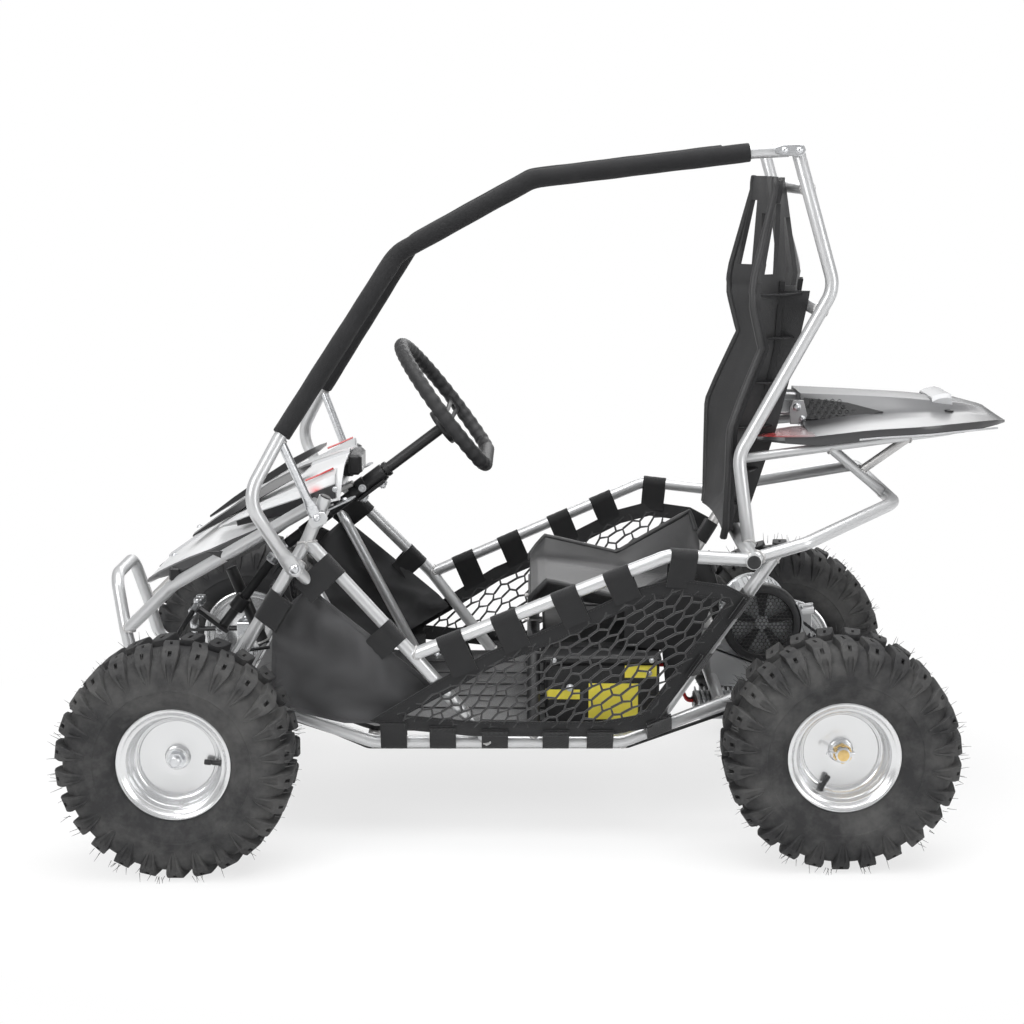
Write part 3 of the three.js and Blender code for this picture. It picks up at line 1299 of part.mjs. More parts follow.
// Side nets: a hexagon mesh in a border, hung by straps from the rails
const netThickness = 2;
const netBorder = 22;
const netCellLength = 84;
const netCellHeight = 42;
const netCord = 4.5;
const netColumnShare = 0.75;
const netLeastShare = 0.16;
const netColumnLean = 0.2;
const netCellLean = 0.13;
const netSpareRows = 14;
const leastInsetShare = 0.3;
const netLowHeight = 172;
const netLowOut = 19;
const netLowHalf = at("railDip").y + netLowOut;
const netHighHeight = 470;
const netHighIn = 4;
const netHighHalf = at("railBend").y - netHighIn;
const netCorners = {
  lowFront: { back: 296.5, height: 213 },
  lowDip: { back: 346.5, height: 198 },
  lowMiddle: { back: 472.5, height: 186 },
  lowKick: { back: 681.5, height: 186 },
  lowRear: { back: 766.5, height: 203 },
  rearFoot: { back: 921.5, height: 435 },
  rearTop: { back: 881.5, height: 456 },
  peak: { back: 799.5, height: 467 },
  topRear: { back: 734.5, height: 450 },
  topMiddle: { back: 645.5, height: 405 },
  topRise: { back: 580.5, height: 374 },
  topFront: { back: 493.5, height: 337 },
  frontRise: { back: 410.5, height: 286 },
};
const strapWidth = 44;
const strapThickness = 3;
const strapFaces = 6;
const strapSlack = 0.4;
const netPlaneY = (z) => THREE.MathUtils.mapLinear(z, netLowHeight, netHighHeight, netLowHalf, netHighHalf);
const sideOutline = (corners) =>
  Object.values(corners).map(({ back, height }) => new THREE.Vector2(frontX + back, height));

const area2 = (a, b, c) => (b.x - a.x) * (c.y - a.y) - (b.y - a.y) * (c.x - a.x);
// Moves each edge of a convex or nearly convex outline inwards and returns the new corners.
function inset(outline, room) {
  return outline.map((point, i) => {
    const before = outline[(i + outline.length - 1) % outline.length];
    const after = outline[(i + 1) % outline.length];
    const one = point.clone().sub(before).normalize();
    const two = after.clone().sub(point).normalize();
    const normal = new THREE.Vector2(-(one.y + two.y), one.x + two.x).normalize();
    const share = room / Math.max(leastInsetShare, normal.dot(new THREE.Vector2(-one.y, one.x)));
    return point.clone().addScaledVector(normal, share);
  });
}
// Keeps the part of a polygon that lies inside a convex outline.
function clipTo(polygon, outline) {
  return outline.reduce((kept, from, i) => {
    const to = outline[(i + 1) % outline.length];
    const out = [];
    kept.forEach((point, k) => {
      const before = kept[(k + kept.length - 1) % kept.length];
      const inside = area2(from, to, point) > 0;
      const wasInside = area2(from, to, before) > 0;
      if (inside !== wasInside) {
        const share = area2(from, to, before) / (area2(from, to, before) - area2(from, to, point));
        out.push(before.clone().lerp(point, share));
      }
      if (inside) out.push(point);
    });
    return out;
  }, polygon);
}
const areaOf = (polygon) => Math.abs(THREE.ShapeUtils.area(polygon));

function netCells(outline) {
  const inner = inset(outline, netBorder);
  const xs = inner.map((p) => p.x);
  const zs = inner.map((p) => p.y);
  const cells = [];
  const stepX = netCellLength * netColumnShare;
  const smallest = netCellLength * netCellHeight * netLeastShare;
  const columns = (Math.max(...xs) - Math.min(...xs) + netCellLength) / stepX;
  const rows = (Math.max(...zs) - Math.min(...zs)) / netCellHeight + netSpareRows;
  for (let column = 0; column < columns; column++) {
    const x = Math.min(...xs) + column * stepX;
    const lift = (column % 2) * (netCellHeight / 2) + column * netCellHeight * netColumnLean;
    for (let row = -netSpareRows; row < rows; row++) {
      const z = Math.min(...zs) + row * netCellHeight + lift;
      const half = netCellLength / 2 - netCord / 2;
      const tall = netCellHeight / 2 - netCord / 2;
      const rise = netCellHeight * netCellLean;
      const hexagon = xz(
        [x - half, z - rise],
        [x - half / 2, z - tall - rise / 2],
        [x + half / 2, z - tall + rise / 2],
        [x + half, z + rise],
        [x + half / 2, z + tall + rise / 2],
        [x - half / 2, z + tall - rise / 2],
      );
      const apart = (p, i, all) => p.distanceTo(all[(i + 1) % all.length]) > netCord / 2;
      const kept = clipTo(hexagon, inner).filter(apart);
      if (kept.length > 2 && areaOf(kept) > smallest) cells.push(kept);
    }
  }
  return cells;
}

// A fabric loop round a tube, between two of its corners, centred at one place along the kart.
function strapLoop(from, to, x) {
  const share = (x - from.x) / (to.x - from.x);
  const middle = from.clone().lerp(to, share);
  const along = to.clone().sub(from).normalize().multiplyScalar(strapWidth / 2);
  const ends = [middle.clone().sub(along), middle.clone().add(along)];
  return rod(ends[0], ends[1], tubeRadius + strapSlack + strapThickness, strapFaces);
}
function strapTab(from, to, x, reach, plane) {
  const share = (x - from.x) / (to.x - from.x);
  const middle = from.clone().lerp(to, share);
  const along = to.clone().sub(from).normalize().multiplyScalar(strapWidth / 2);
  const corners = [middle.clone().sub(along), middle.clone().add(along)];
  const outline = xz(
    [corners[0].x, corners[0].z],
    [corners[1].x, corners[1].z],
    [corners[1].x + reach.x, corners[1].z + reach.z],
    [corners[0].x + reach.x, corners[0].z + reach.z],
  );
  return shearPlates([outline], 0, netThickness, plane);
}
// Plates in the X-Z plane, thickened along Y, that are then moved out by the net's lean.
function shearPlates(outlines, from, to, plane) {
  const shapes = outlines.map((outline) => new THREE.Shape(outline));
  const plates = new THREE.ExtrudeGeometry(shapes, { depth: to - from, bevelEnabled: false });
  plates.rotateX(Math.PI / 2);
  const place = plates.getAttribute("position");
  for (let i = 0; i < place.count; i++) place.setY(i, place.getY(i) + to + plane(place.getZ(i)));
  return solidOf(plates);
}

const upperStraps = { first: 434.5, second: 523.5, third: 621.5, fourth: 705.5 };
const topStrapBack = 810.5;
const lowerStraps = { first: 336.5, second: 418.5, third: 505.5, fourth: 607.5, fifth: 681.5 };
const cornerStrapBack = 778.5;
const diagonalStraps = { lower: 846.5, upper: 910.5 };
const strapReach = 34;
const leanReach = 38;
const leanRise = 6;
const hang = vector(0, 0, -strapReach);
const rise = vector(0, 0, strapReach);
const lean = vector(-leanReach, 0, leanRise);
function sideNet(side) {
  const plane = (z) => side * netPlaneY(z) - netThickness / 2;
  const outline = sideOutline(netCorners);
  const cells = shearPlates(netCells(outline), -netThickness, netThickness * 2, plane);
  let net = shearPlates([outline], 0, netThickness, plane).subtract(cells);
  const upper = upperRailPath(side);
  const rail = railPath(side);
  const diagonal = diagonalPath(side);
  const straps = [
    ...Object.values(upperStraps).map((back) => [upper[0], upper[1], back, hang]),
    [upper[1], upper[2], topStrapBack, hang],
    ...Object.values(lowerStraps).map((back) => [rail[1], rail[2], back, rise]),
    [rail[2], rail[3], cornerStrapBack, rise],
    ...Object.values(diagonalStraps).map((back) => [diagonal[1], diagonal[0], back, lean]),
  ];
  for (const [from, to, back, reach] of straps) {
    const x = frontX + back;
    net = join(net, strapLoop(from, to, x), strapTab(from, to, x, reach, plane));
  }
  return trim(net, strapKeepOut(upper), strapKeepOut(rail), strapKeepOut(diagonal), strapKeepOut(crossPath));
}
const strapKeepOut = (path, radius = tubeRadius) => tube(path, radius + strapSlack);
eachSide((label, side) => addPiece(`side_net_${label}`, sideNet(side), paint.fabric));

// Side panels: fabric stretched between the front post, the knee tube and the lower rail
const panelThickness = 3;
const panelTop = { back: 200.5, height: 441 };
const panelLeftEdge = {
  top: panelTop,
  shoulder: { back: 119.5, height: 381 },
  nose: { back: 110.5, height: 244 },
  dip: { back: 179.5, height: 222 },
  foot: { back: 254.5, height: 206 },
};
const panelRightEdge = {
  top: panelTop,
  shoulder: { back: 383.5, height: 290 },
  corner: { back: 406.5, height: 265 },
  foot: { back: 309.5, height: 206 },
};
const panelRows = 5;
const panelColumns = 7;
const panelHighIn = 8;
const panelLowOut = 16;
const panelTopHalf = at("kneeJoint").y - panelHighIn;
const panelLowHalf = at("axleFoot").y + panelLowOut;
const foldDepth = 5;
const foldTurns = 2.5;
const foldRowShare = 0.9;
const panelStraps = { upper: 236.5, lower: 337.5 };
const postStrapHeight = 405;
const panelTabAlong = 34;
const panelTabDrop = 30;
const postTabAlong = 36;
const postTabDrop = 14;
const panelTab = vector(-panelTabAlong, 0, -panelTabDrop);
const postTab = vector(postTabAlong, 0, -postTabDrop);

// The place a share of the way along a chain of corners.
function alongEdge(corners, share) {
  const points = sideOutline(corners);
  const lengths = points.slice(1).map((p, i) => p.distanceTo(points[i]));
  let left = share * lengths.reduce((sum, length) => sum + length, 0);
  for (let i = 0; i < lengths.length; i++) {
    if (left <= lengths[i] || i === lengths.length - 1) {
      return points[i].clone().lerp(points[i + 1], left / lengths[i]);
    }
    left -= lengths[i];
  }
  return points[0];
}
const panelPlaneY = (z) =>
  THREE.MathUtils.mapLinear(z, panelLeftEdge.foot.height, panelTop.height, panelLowHalf, panelTopHalf);
function sidePanel(side) {
  const rows = [];
  for (let i = 1; i <= panelRows; i++) {
    const share = i / panelRows;
    const left = alongEdge(panelLeftEdge, share);
    const right = alongEdge(panelRightEdge, share);
    const row = [];
    for (let j = 0; j <= panelColumns; j++) {
      const place = left.clone().lerp(right, j / panelColumns);
      const inner = Math.sin((Math.PI * j) / panelColumns) * Math.sin(Math.PI * share * foldRowShare);
      const fold = foldDepth * inner * (0.5 + 0.5 * Math.sin(foldTurns * Math.PI * (j / panelColumns + share / 2)));
      row.push(vector(place.x, side * (panelPlaneY(place.y) - fold), place.y));
    }
    rows.push(row);
  }
  let panel = shell(rows, vector(0, side * panelThickness, 0));
  const plane = (z) => side * panelPlaneY(z) + (side * panelThickness) / 2 - netThickness / 2;
  const knee = kneePath(side);
  const post = postPath(side);
  const postX = THREE.MathUtils.mapLinear(postStrapHeight, post[0].z, post[1].z, post[0].x, post[1].x);
  const straps = [
    ...Object.values(panelStraps).map((back) => [knee[1], knee[2], frontX + back, panelTab]),
    [post[0], post[1], postX, postTab],
  ];
  for (const [from, to, x, reach] of straps) {
    panel = join(panel, strapLoop(from, to, x), strapTab(from, to, x, reach, plane));
  }
  return trim(panel, strapKeepOut(knee), strapKeepOut(post), keepOut(bracePath(side), tubeRadius, tightBend),
    strapKeepOut(railPath(side)), strapKeepOut(upperRailPath(side)));
}
eachSide((label, side) => addPiece(`side_panel_${label}`, sidePanel(side), paint.fabric));

// Power leads from the battery to the controller and on to the motor
const leadRadius = 3;
const leadFaces = 8;
const leadBend = 12;
const leadSpacing = 12;
const leadY = -130;
const leadHeight = 262;
const leadReach = 26;
const leadRunIn = 12;
const controllerLeadHeight = motorCrossHeight - tubeRadius - controllerHeight / 2;
const leadPath = (shift) => [
  vector(batteryRear + seam, leadY + shift, leadHeight),
  vector(batteryRear + seam + leadReach, leadY + shift, leadHeight),
  vector(controllerFront - leadRunIn, leadY + shift, controllerLeadHeight),
  vector(controllerFront - seam, leadY + shift, controllerLeadHeight),
];
addPiece("power_lead_red", tube(leadPath(0), leadRadius, { bend: leadBend, faces: leadFaces }), paint.cable);
addPiece("power_lead_black", tube(leadPath(leadSpacing), leadRadius, { bend: leadBend, faces: leadFaces }), paint.cable);

// Brake cable from beside the pedal, under the left rail, to the caliper
const cableRadius = 3;
const cableBend = 24;
const cableInset = 23.5;
const cableEndOut = 6;
const cablePlaces = {
  pedal: { back: 108.5, half: 132, height: 292 },
  turn: { back: 60.5, half: 146, height: 288 },
  outside: { back: 50.5, half: 230, height: 226 },
  dip: { back: 234.5, height: 177 },
  underFront: { back: 290.5, height: 153 },
  underRear: { back: 730.5, height: 153 },
};
const cableEndHeight = 255;
const cableRise = { ahead: 82.5, out: 16, height: 230 };
const brakeCablePath = Object.values(cablePlaces).map(({ back, half, height }) => {
  const x = frontX + back;
  return vector(x, -(half ?? railHalfAt(x) - cableInset), height);
});
brakeCablePath.push(vector(rearX - cableRise.ahead, discY - cableRise.out, cableRise.height));
brakeCablePath.push(vector(caliperFront - cableRadius / 2, discY - cableEndOut, cableEndHeight));
addPiece("brake_cable", tube(brakeCablePath, cableRadius, { bend: cableBend, faces: leadFaces }), paint.cable);

// The claim frame has its origin under the middle of the overall box
kart.updateMatrixWorld(true);
const bounds = new THREE.Box3().setFromObject(kart);
const middleX = (bounds.min.x + bounds.max.x) / 2;
kart.traverse((piece) => {
  if (piece.isMesh) piece.geometry.translate(-middleX, 0, 0);
});

export default kart;
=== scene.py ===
import json
import math

import bmesh
import bpy
from mathutils import Matrix, Vector
from mathutils.geometry import tessellate_polygon

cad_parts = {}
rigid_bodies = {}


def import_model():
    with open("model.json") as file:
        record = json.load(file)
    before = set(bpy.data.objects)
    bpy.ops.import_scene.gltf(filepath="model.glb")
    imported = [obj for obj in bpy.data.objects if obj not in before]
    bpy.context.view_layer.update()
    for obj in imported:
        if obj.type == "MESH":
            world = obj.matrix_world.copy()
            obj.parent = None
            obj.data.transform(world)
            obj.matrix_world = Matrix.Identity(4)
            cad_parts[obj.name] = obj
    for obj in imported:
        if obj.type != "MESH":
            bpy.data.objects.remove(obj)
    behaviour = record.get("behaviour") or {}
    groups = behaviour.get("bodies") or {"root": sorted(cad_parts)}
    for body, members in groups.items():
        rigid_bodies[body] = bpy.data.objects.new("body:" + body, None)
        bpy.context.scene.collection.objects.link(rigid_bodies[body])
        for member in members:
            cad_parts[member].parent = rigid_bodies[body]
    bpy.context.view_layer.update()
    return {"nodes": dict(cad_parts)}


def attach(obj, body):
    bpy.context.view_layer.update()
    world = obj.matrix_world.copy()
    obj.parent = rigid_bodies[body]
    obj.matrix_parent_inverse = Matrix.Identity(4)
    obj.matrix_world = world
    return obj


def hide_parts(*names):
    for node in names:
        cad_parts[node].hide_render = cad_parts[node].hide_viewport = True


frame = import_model()
print("frame loaded", len(frame["nodes"]), "nodes")

middle = 63.688  # the frame's origin stands this far behind the middle of the wheelbase
sideSign = {"left": -1, "right": 1}


def metres(p):
    return Vector(((p[0] - middle) / 1000, p[1] / 1000, p[2] / 1000))


def pair(make):
    for label, side in sideSign.items():
        make(label, side)


# Wiring: one class builds node trees, and one wraps a socket so that sums read as sums
class Wire:
    def __init__(self, board, socket):
        self.board, self.socket = board, socket

    def __add__(self, other):
        return self.board.maths("ADD", self, other)

    __radd__ = __add__

    def __sub__(self, other):
        return self.board.maths("SUBTRACT", self, other)

    def __rsub__(self, other):
        return self.board.maths("SUBTRACT", other, self)

    def __mul__(self, other):
        return self.board.maths("MULTIPLY", self, other)

    __rmul__ = __mul__

    def __truediv__(self, other):
        return self.board.maths("DIVIDE", self, other)

    def __gt__(self, other):
        return self.board.maths("GREATER_THAN", self, other)

    def __lt__(self, other):
        return self.board.maths("LESS_THAN", self, other)


class Board:
    def __init__(self, tree):
        self.tree = tree

    def node(self, kind, settings=None, values=None, out=0):
        made = self.tree.nodes.new(kind)
        for key, value in (settings or {}).items():
            if key == "stops":
                self.setStops(made.color_ramp, value)
            else:
                setattr(made, key, value)
        for key, value in (values or {}).items():
            several = value if isinstance(value, list) else [value]
            for one in several:
                if isinstance(one, Wire):
                    self.tree.links.new(one.socket, made.inputs[key])
                else:
                    made.inputs[key].default_value = one
        return Wire(self, made.outputs[out]) if len(made.outputs) else made

    def setStops(self, ramp, stops):
        while len(ramp.elements) < len(stops):
            ramp.elements.new(1)
        for element, (place, colour) in zip(ramp.elements, stops):
            element.position = place
            element.color = (*colour, 1) if len(colour) == 3 else colour

    def maths(self, operation, a, b=0.0):
        return self.node("ShaderNodeMath", {"operation": operation}, {0: a, 1: b})

    def clamp(self, value):
        return self.node("ShaderNodeClamp", None, {"Value": value})

    def spread(self, value, low, high):
        # From 0 at low to 1 at high.
        return self.node("ShaderNodeMapRange", None, {"Value": value, "From Min": low, "From Max": high})


class Finish(Board):
    def __init__(self, name, **constants):
        self.material = bpy.data.materials.new(name)
        self.material.use_nodes = True
        super().__init__(self.material.node_tree)
        self.tree.nodes.clear()
        self.shader = self.tree.nodes.new("ShaderNodeBsdfPrincipled")
        output = self.tree.nodes.new("ShaderNodeOutputMaterial")
        self.tree.links.new(self.shader.outputs[0], output.inputs["Surface"])
        self.place = self.node("ShaderNodeTexCoord", out=3)
        self.axes = [self.node("ShaderNodeSeparateXYZ", None, {0: self.place}, out=i) for i in range(3)]
        self.set(**constants)

    def set(self, **values):
        for key, value in values.items():
            socket = self.shader.inputs[socketNames[key]]
            if isinstance(value, Wire):
                self.tree.links.new(value.socket, socket)
            elif isinstance(value, tuple):
                socket.default_value = (*value, 1)
            else:
                socket.default_value = value
        return self.material

    def noise(self, scale, detail=3.0, rough=0.55, at=None, distortion=0.0):
        values = {"Vector": at or self.place, "Scale": scale, "Detail": detail, "Roughness": rough,
                  "Distortion": distortion}
        return self.node("ShaderNodeTexNoise", None, values)

    def cells(self, scale, feature="F1", out=0):
        values = {"Vector": self.place, "Scale": scale}
        return self.node("ShaderNodeTexVoronoi", {"feature": feature}, values, out)

    def bands(self, direction, scale, distortion):
        settings = {"wave_type": "BANDS", "bands_direction": direction}
        values = {"Vector": self.place, "Scale": scale, "Distortion": distortion}
        return self.node("ShaderNodeTexWave", settings, values)

    def stretched(self, x, y, z):
        return self.node("ShaderNodeMapping", None, {"Vector": self.place, "Scale": (x, y, z)})

    def mix(self, share, a, b):
        a, b = [(*c, 1) if isinstance(c, tuple) and len(c) == 3 else c for c in (a, b)]
        settings = {"data_type": "RGBA", "clamp_factor": True}
        return self.node("ShaderNodeMix", settings, {0: share, 6: a, 7: b}, out=2)

    def bump(self, height, distance, strength=1.0, normal=None):
        values = {"Strength": strength, "Distance": distance, "Height": height}
        if normal:
            values["Normal"] = normal
        return self.node("ShaderNodeBump", None, values)


socketNames = {
    "colour": "Base Color", "metallic": "Metallic", "roughness": "Roughness", "normal": "Normal",
    "alpha": "Alpha", "coat": "Coat Weight", "coatRoughness": "Coat Roughness", "sheen": "Sheen Weight",
    "ior": "IOR", "sheenRoughness": "Sheen Roughness", "specular": "Specular IOR Level",
    "emission": "Emission Color", "glow": "Emission Strength",
}

# Finishes
finish = {}


def silverPaint(name, dark, light, metallic, roughness):
    f = Finish(name, metallic=metallic)
    cloud = f.noise(9, 4)
    peel = f.noise(700, 2)
    scuff = f.clamp((f.noise(40, 6, 0.7) - 0.58) * 6)
    low = f.spread(f.axes[2], 0.42, 0.12)  # road dust gathers on the lowest tubes
    colour = f.mix(cloud, dark, light)
    colour = f.mix(f.clamp(low) * scuff * 0.5, colour, (0.42, 0.4, 0.37))
    return f.set(colour=colour, roughness=roughness + scuff * 0.12 + cloud * 0.06,
                 normal=f.bump(peel, 0.0004, 0.035))


def weldMetal():
    f = Finish("weldMetal", metallic=0.75)
    tint = f.noise(220, 3)
    return f.set(colour=f.mix(tint, (0.42, 0.41, 0.4), (0.62, 0.62, 0.62)), roughness=0.3 + tint * 0.25,
                 normal=f.bump(f.noise(1600, 2), 0.0003, 0.4))


def plated(name, dark, light, roughness, scale=160):
    f = Finish(name, metallic=1.0)
    tint = f.noise(scale, 4, 0.6)
    streak = f.noise(90, 3, at=f.stretched(1, 1, 14))
    return f.set(colour=f.mix(f.clamp(tint * 1.4 - 0.2), dark, light), roughness=roughness + streak * 0.18,
                 normal=f.bump(streak, 0.0002, 0.15))


def moulded(name, colour, light, roughness, grain, depth):
    f = Finish(name, specular=0.4)
    pebbles = f.cells(grain)
    cloud = f.noise(14, 4)
    scratch = f.clamp((f.noise(120, 5, 0.7, at=f.stretched(1, 6, 1)) - 0.62) * 8)
    tone = f.mix(cloud, colour, light)
    tone = f.mix(scratch * 0.35, tone, tuple(2.6 * c for c in light))
    return f.set(colour=tone, roughness=roughness - pebbles * 0.14 + scratch * 0.1,
                 normal=f.bump(pebbles, depth, 0.5))


def rimSteel():
    f = Finish("rimSteel", metallic=0.8)
    drawn = f.noise(30, 3, at=f.stretched(1, 22, 1))
    cloud = f.noise(11, 4, 0.6)
    return f.set(colour=f.mix(cloud, (0.66, 0.665, 0.67), (0.76, 0.765, 0.77)), roughness=0.2 + drawn * 0.06,
                 normal=f.bump(f.noise(60, 2), 0.0003, 0.006))


def tyreRubber():
    f = Finish("tyreRubber", specular=0.35)
    dust = f.clamp((f.noise(9, 5, 0.6) - 0.4) * 2.6 + (f.noise(46, 5, 0.65) - 0.5) * 1.2)
    fine = f.noise(1100, 2)
    cracks = f.cells(420, "DISTANCE_TO_EDGE")
    tone = f.mix(dust, (0.021, 0.021, 0.022), (0.09, 0.089, 0.087))
    return f.set(colour=tone, roughness=0.62 + dust * 0.2 + fine * 0.08,
                 normal=f.bump(fine + f.clamp(cracks * 9) * 0.3, 0.0006, 0.35))


def foam():
    f = Finish("sleeveFoam", sheen=0.1, sheenRoughness=0.6, specular=0.25)
    pores = f.cells(900)
    cloud = f.noise(20, 3)
    return f.set(colour=f.mix(pores * cloud, (0.006, 0.006, 0.007), (0.026, 0.026, 0.027)),
                 roughness=0.78 + pores * 0.12, normal=f.bump(pores, 0.0008, 0.55))


def vinyl(name, dark, light, sheen):
    f = Finish(name, sheen=sheen, sheenRoughness=0.5, specular=0.4)
    weave = f.maths("MAXIMUM", f.bands("X", 420.0, 0.6), f.bands("Z", 420.0, 0.6))
    crease = f.noise(8, 2, 0.5, distortion=0.7)
    # the colour follows the folds' height: lighter on the raised folds and darker in their hollows, painted
    # shade of the folds; the weave adds its pattern
    return f.set(colour=f.mix(f.clamp(crease * 2.4 - 0.72) * 0.8 + weave * 0.2, dark, light),
                 roughness=0.66 + crease * 0.14 - weave * 0.06,
                 normal=f.bump(weave, 0.0003, 0.35, f.bump(crease, 0.022, 0.7)))


def webbing():
    f = Finish("strapWebbing", sheen=0.3, sheenRoughness=0.4, specular=0.3)
    lines = f.bands("X", 300.0, 0.3)
    threads = f.bands("DIAGONAL", 520.0, 0.5)
    fuzz = f.noise(60, 4)
    return f.set(colour=f.mix(lines * threads, (0.012, 0.012, 0.013), (0.046, 0.046, 0.047)),
                 roughness=0.74 + fuzz * 0.14, normal=f.bump(lines + threads, 0.0006, 0.5))


def braid():
    f = Finish("netCord", sheen=0.3, sheenRoughness=0.5, specular=0.3)
    twist = f.noise(700, 3)
    return f.set(colour=f.mix(twist, (0.024, 0.024, 0.025), (0.06, 0.06, 0.061)),
                 roughness=0.76 + twist * 0.1, normal=f.bump(twist, 0.0007, 0.6))


def gloss(name, colour, coat, fleck=0.5):
    f = Finish(name, coat=coat, coatRoughness=0.06, specular=0.5)
    sparkle = f.cells(1400, out=1)
    grey = f.node("ShaderNodeRGBToBW", None, {0: sparkle})
    cloud = f.noise(6, 3)
    darker = tuple(c * (1 - 0.28 * fleck) for c in colour)
    return f.set(colour=f.mix(f.clamp(grey * 0.7 + cloud * 0.3), darker, colour),
                 roughness=0.26 + cloud * 0.1, normal=f.bump(f.noise(150, 2), 0.0003, 0.06))


def blushed(name, ground, tint, centre, reach):
    # A ground colour with a soft patch of another around one place.
    f = Finish(name, coat=0.6, coatRoughness=0.08, specular=0.5)
    away = f.node("ShaderNodeVectorMath", {"operation": "DISTANCE"},
                  {0: f.stretched(1, 0.15, 1.6), 1: (centre[0], centre[1] * 0.15, centre[2] * 1.6)}, out=1)
    blush = f.clamp(1 - away / reach)
    specks = f.noise(300, 3)
    cloud = f.noise(7, 3)
    tone = f.mix(cloud, tuple(0.9 * c for c in ground), ground)
    return f.set(colour=f.mix(blush * blush * (0.7 + specks * 0.5), tone, tint),
                 roughness=0.24 + cloud * 0.08, normal=f.bump(f.noise(150, 2), 0.0003, 0.05))


def brushedDisc():
    f = Finish("discSteel", metallic=1.0)
    rings = f.noise(18, 3, at=f.stretched(1, 60, 1))
    wear = f.noise(70, 5, 0.7)
    return f.set(colour=f.mix(wear, (0.36, 0.35, 0.34), (0.6, 0.6, 0.6)), roughness=0.22 + rings * 0.2
                 + wear * 0.1, normal=f.bump(rings, 0.0003, 0.3))


def batteryCase():
    f = Finish("batteryCase", specular=0.4)
    grain = f.cells(520)
    x, y, z = f.axes
    frontFace = y < -0.228  # only the camera's side of the case carries the yellow patches
    patch = frontFace * (z > 0.194) * (z < 0.257) * (x > 0.066) * (x < 0.150)
    patch = patch + frontFace * (z > 0.267) * (z < 0.2885) * (x > 0.127) * (x < 0.181)
    patch = patch + frontFace * (z > 0.229) * (z < 0.246) * (x > -0.012) * (x < 0.051)
    smudge = f.noise(60, 4)
    yellow = f.mix(smudge, (0.93, 0.78, 0.07), (1.0, 0.88, 0.13))
    black = f.mix(grain, (0.012, 0.012, 0.013), (0.03, 0.03, 0.031))
    return f.set(colour=f.mix(f.clamp(patch), black, yellow), roughness=0.5 + smudge * 0.12,
                 normal=f.bump(grain, 0.0005, 0.35))


finish["frame"] = silverPaint("frameSilver", (0.53, 0.535, 0.54), (0.61, 0.615, 0.62), 0.6, 0.3)
finish["weld"] = weldMetal()
finish["zinc"] = plated("zincBright", (0.5, 0.51, 0.53), (0.8, 0.81, 0.82), 0.2)
finish["goldZinc"] = plated("zincGold", (0.55, 0.36, 0.12), (0.82, 0.62, 0.3), 0.24)
finish["darkSteel"] = plated("steelDark", (0.03, 0.03, 0.032), (0.1, 0.1, 0.105), 0.34)
finish["blackSteel"] = moulded("steelBlack", (0.012, 0.012, 0.013), (0.03, 0.03, 0.031), 0.42, 1300, 0.0003)
finish["cast"] = plated("castAlloy", (0.46, 0.47, 0.48), (0.68, 0.69, 0.7), 0.36, 500)
finish["rim"] = rimSteel()
finish["rubber"] = tyreRubber()
finish["foam"] = foam()
finish["seat"] = moulded("seatPlastic", (0.026, 0.026, 0.027), (0.048, 0.048, 0.049), 0.5, 620, 0.0006)
# A darker copy of the seat plastic: painted shade for the parts of the seat shells that lie in shade
finish["seatPaintedShade"] = moulded("seatPlasticDark", (0.008, 0.008, 0.009), (0.018, 0.018, 0.019), 0.5, 620,
                             0.0006)
finish["plastic"] = moulded("plasticBlack", (0.01, 0.01, 0.011), (0.026, 0.026, 0.027), 0.44, 900, 0.0004)
finish["grip"] = moulded("wheelGrip", (0.014, 0.014, 0.015), (0.028, 0.028, 0.029), 0.56, 1500, 0.0004)
finish["vinyl"] = vinyl("panelVinyl", (0.016, 0.016, 0.017), (0.08, 0.08, 0.083), 0.2)
finish["webbing"] = webbing()
finish["cord"] = braid()
finish["white"] = gloss("fairingWhite", (0.78, 0.785, 0.79), 0.5, 0.2)
finish["silverGloss"] = gloss("fairingSilver", (0.48, 0.485, 0.495), 0.7)
finish["darkGloss"] = gloss("fairingDark", (0.04, 0.04, 0.042), 0.3)
finish["blackGloss"] = gloss("fairingBlack", (0.01, 0.01, 0.011), 0.35)
finish["redGloss"] = gloss("fairingRed", (0.5, 0.02, 0.02), 0.8, 0.3)
finish["disc"] = brushedDisc()
finish["battery"] = batteryCase()
finish["redLead"] = moulded("leadRed", (0.42, 0.012, 0.012), (0.55, 0.02, 0.02), 0.42, 1500, 0.0002)
finish["blackLead"] = moulded("leadBlack", (0.01, 0.01, 0.011), (0.022, 0.022, 0.023), 0.42, 1500, 0.0002)
print("finishes made", len(finish))


# Shapes: each piece gathers points and faces, with the finish of every face, then becomes one mesh
bendStep = 7  # degrees between two rings of a bent tube


def around(count, shift=0.0):
    return [2 * math.pi * (k + shift) / count for k in range(count)]


def outward(a, radius=1.0, y=0.0):
    # A point of the circle about the Y axis.
    return Vector((radius * math.cos(a), y, radius * math.sin(a)))


def doubleArea(outline):
    # Negative where the outline runs clockwise.
    return sum(a[0] * b[1] - b[0] * a[1] for a, b in zip(outline, outline[1:] + outline[:1]))


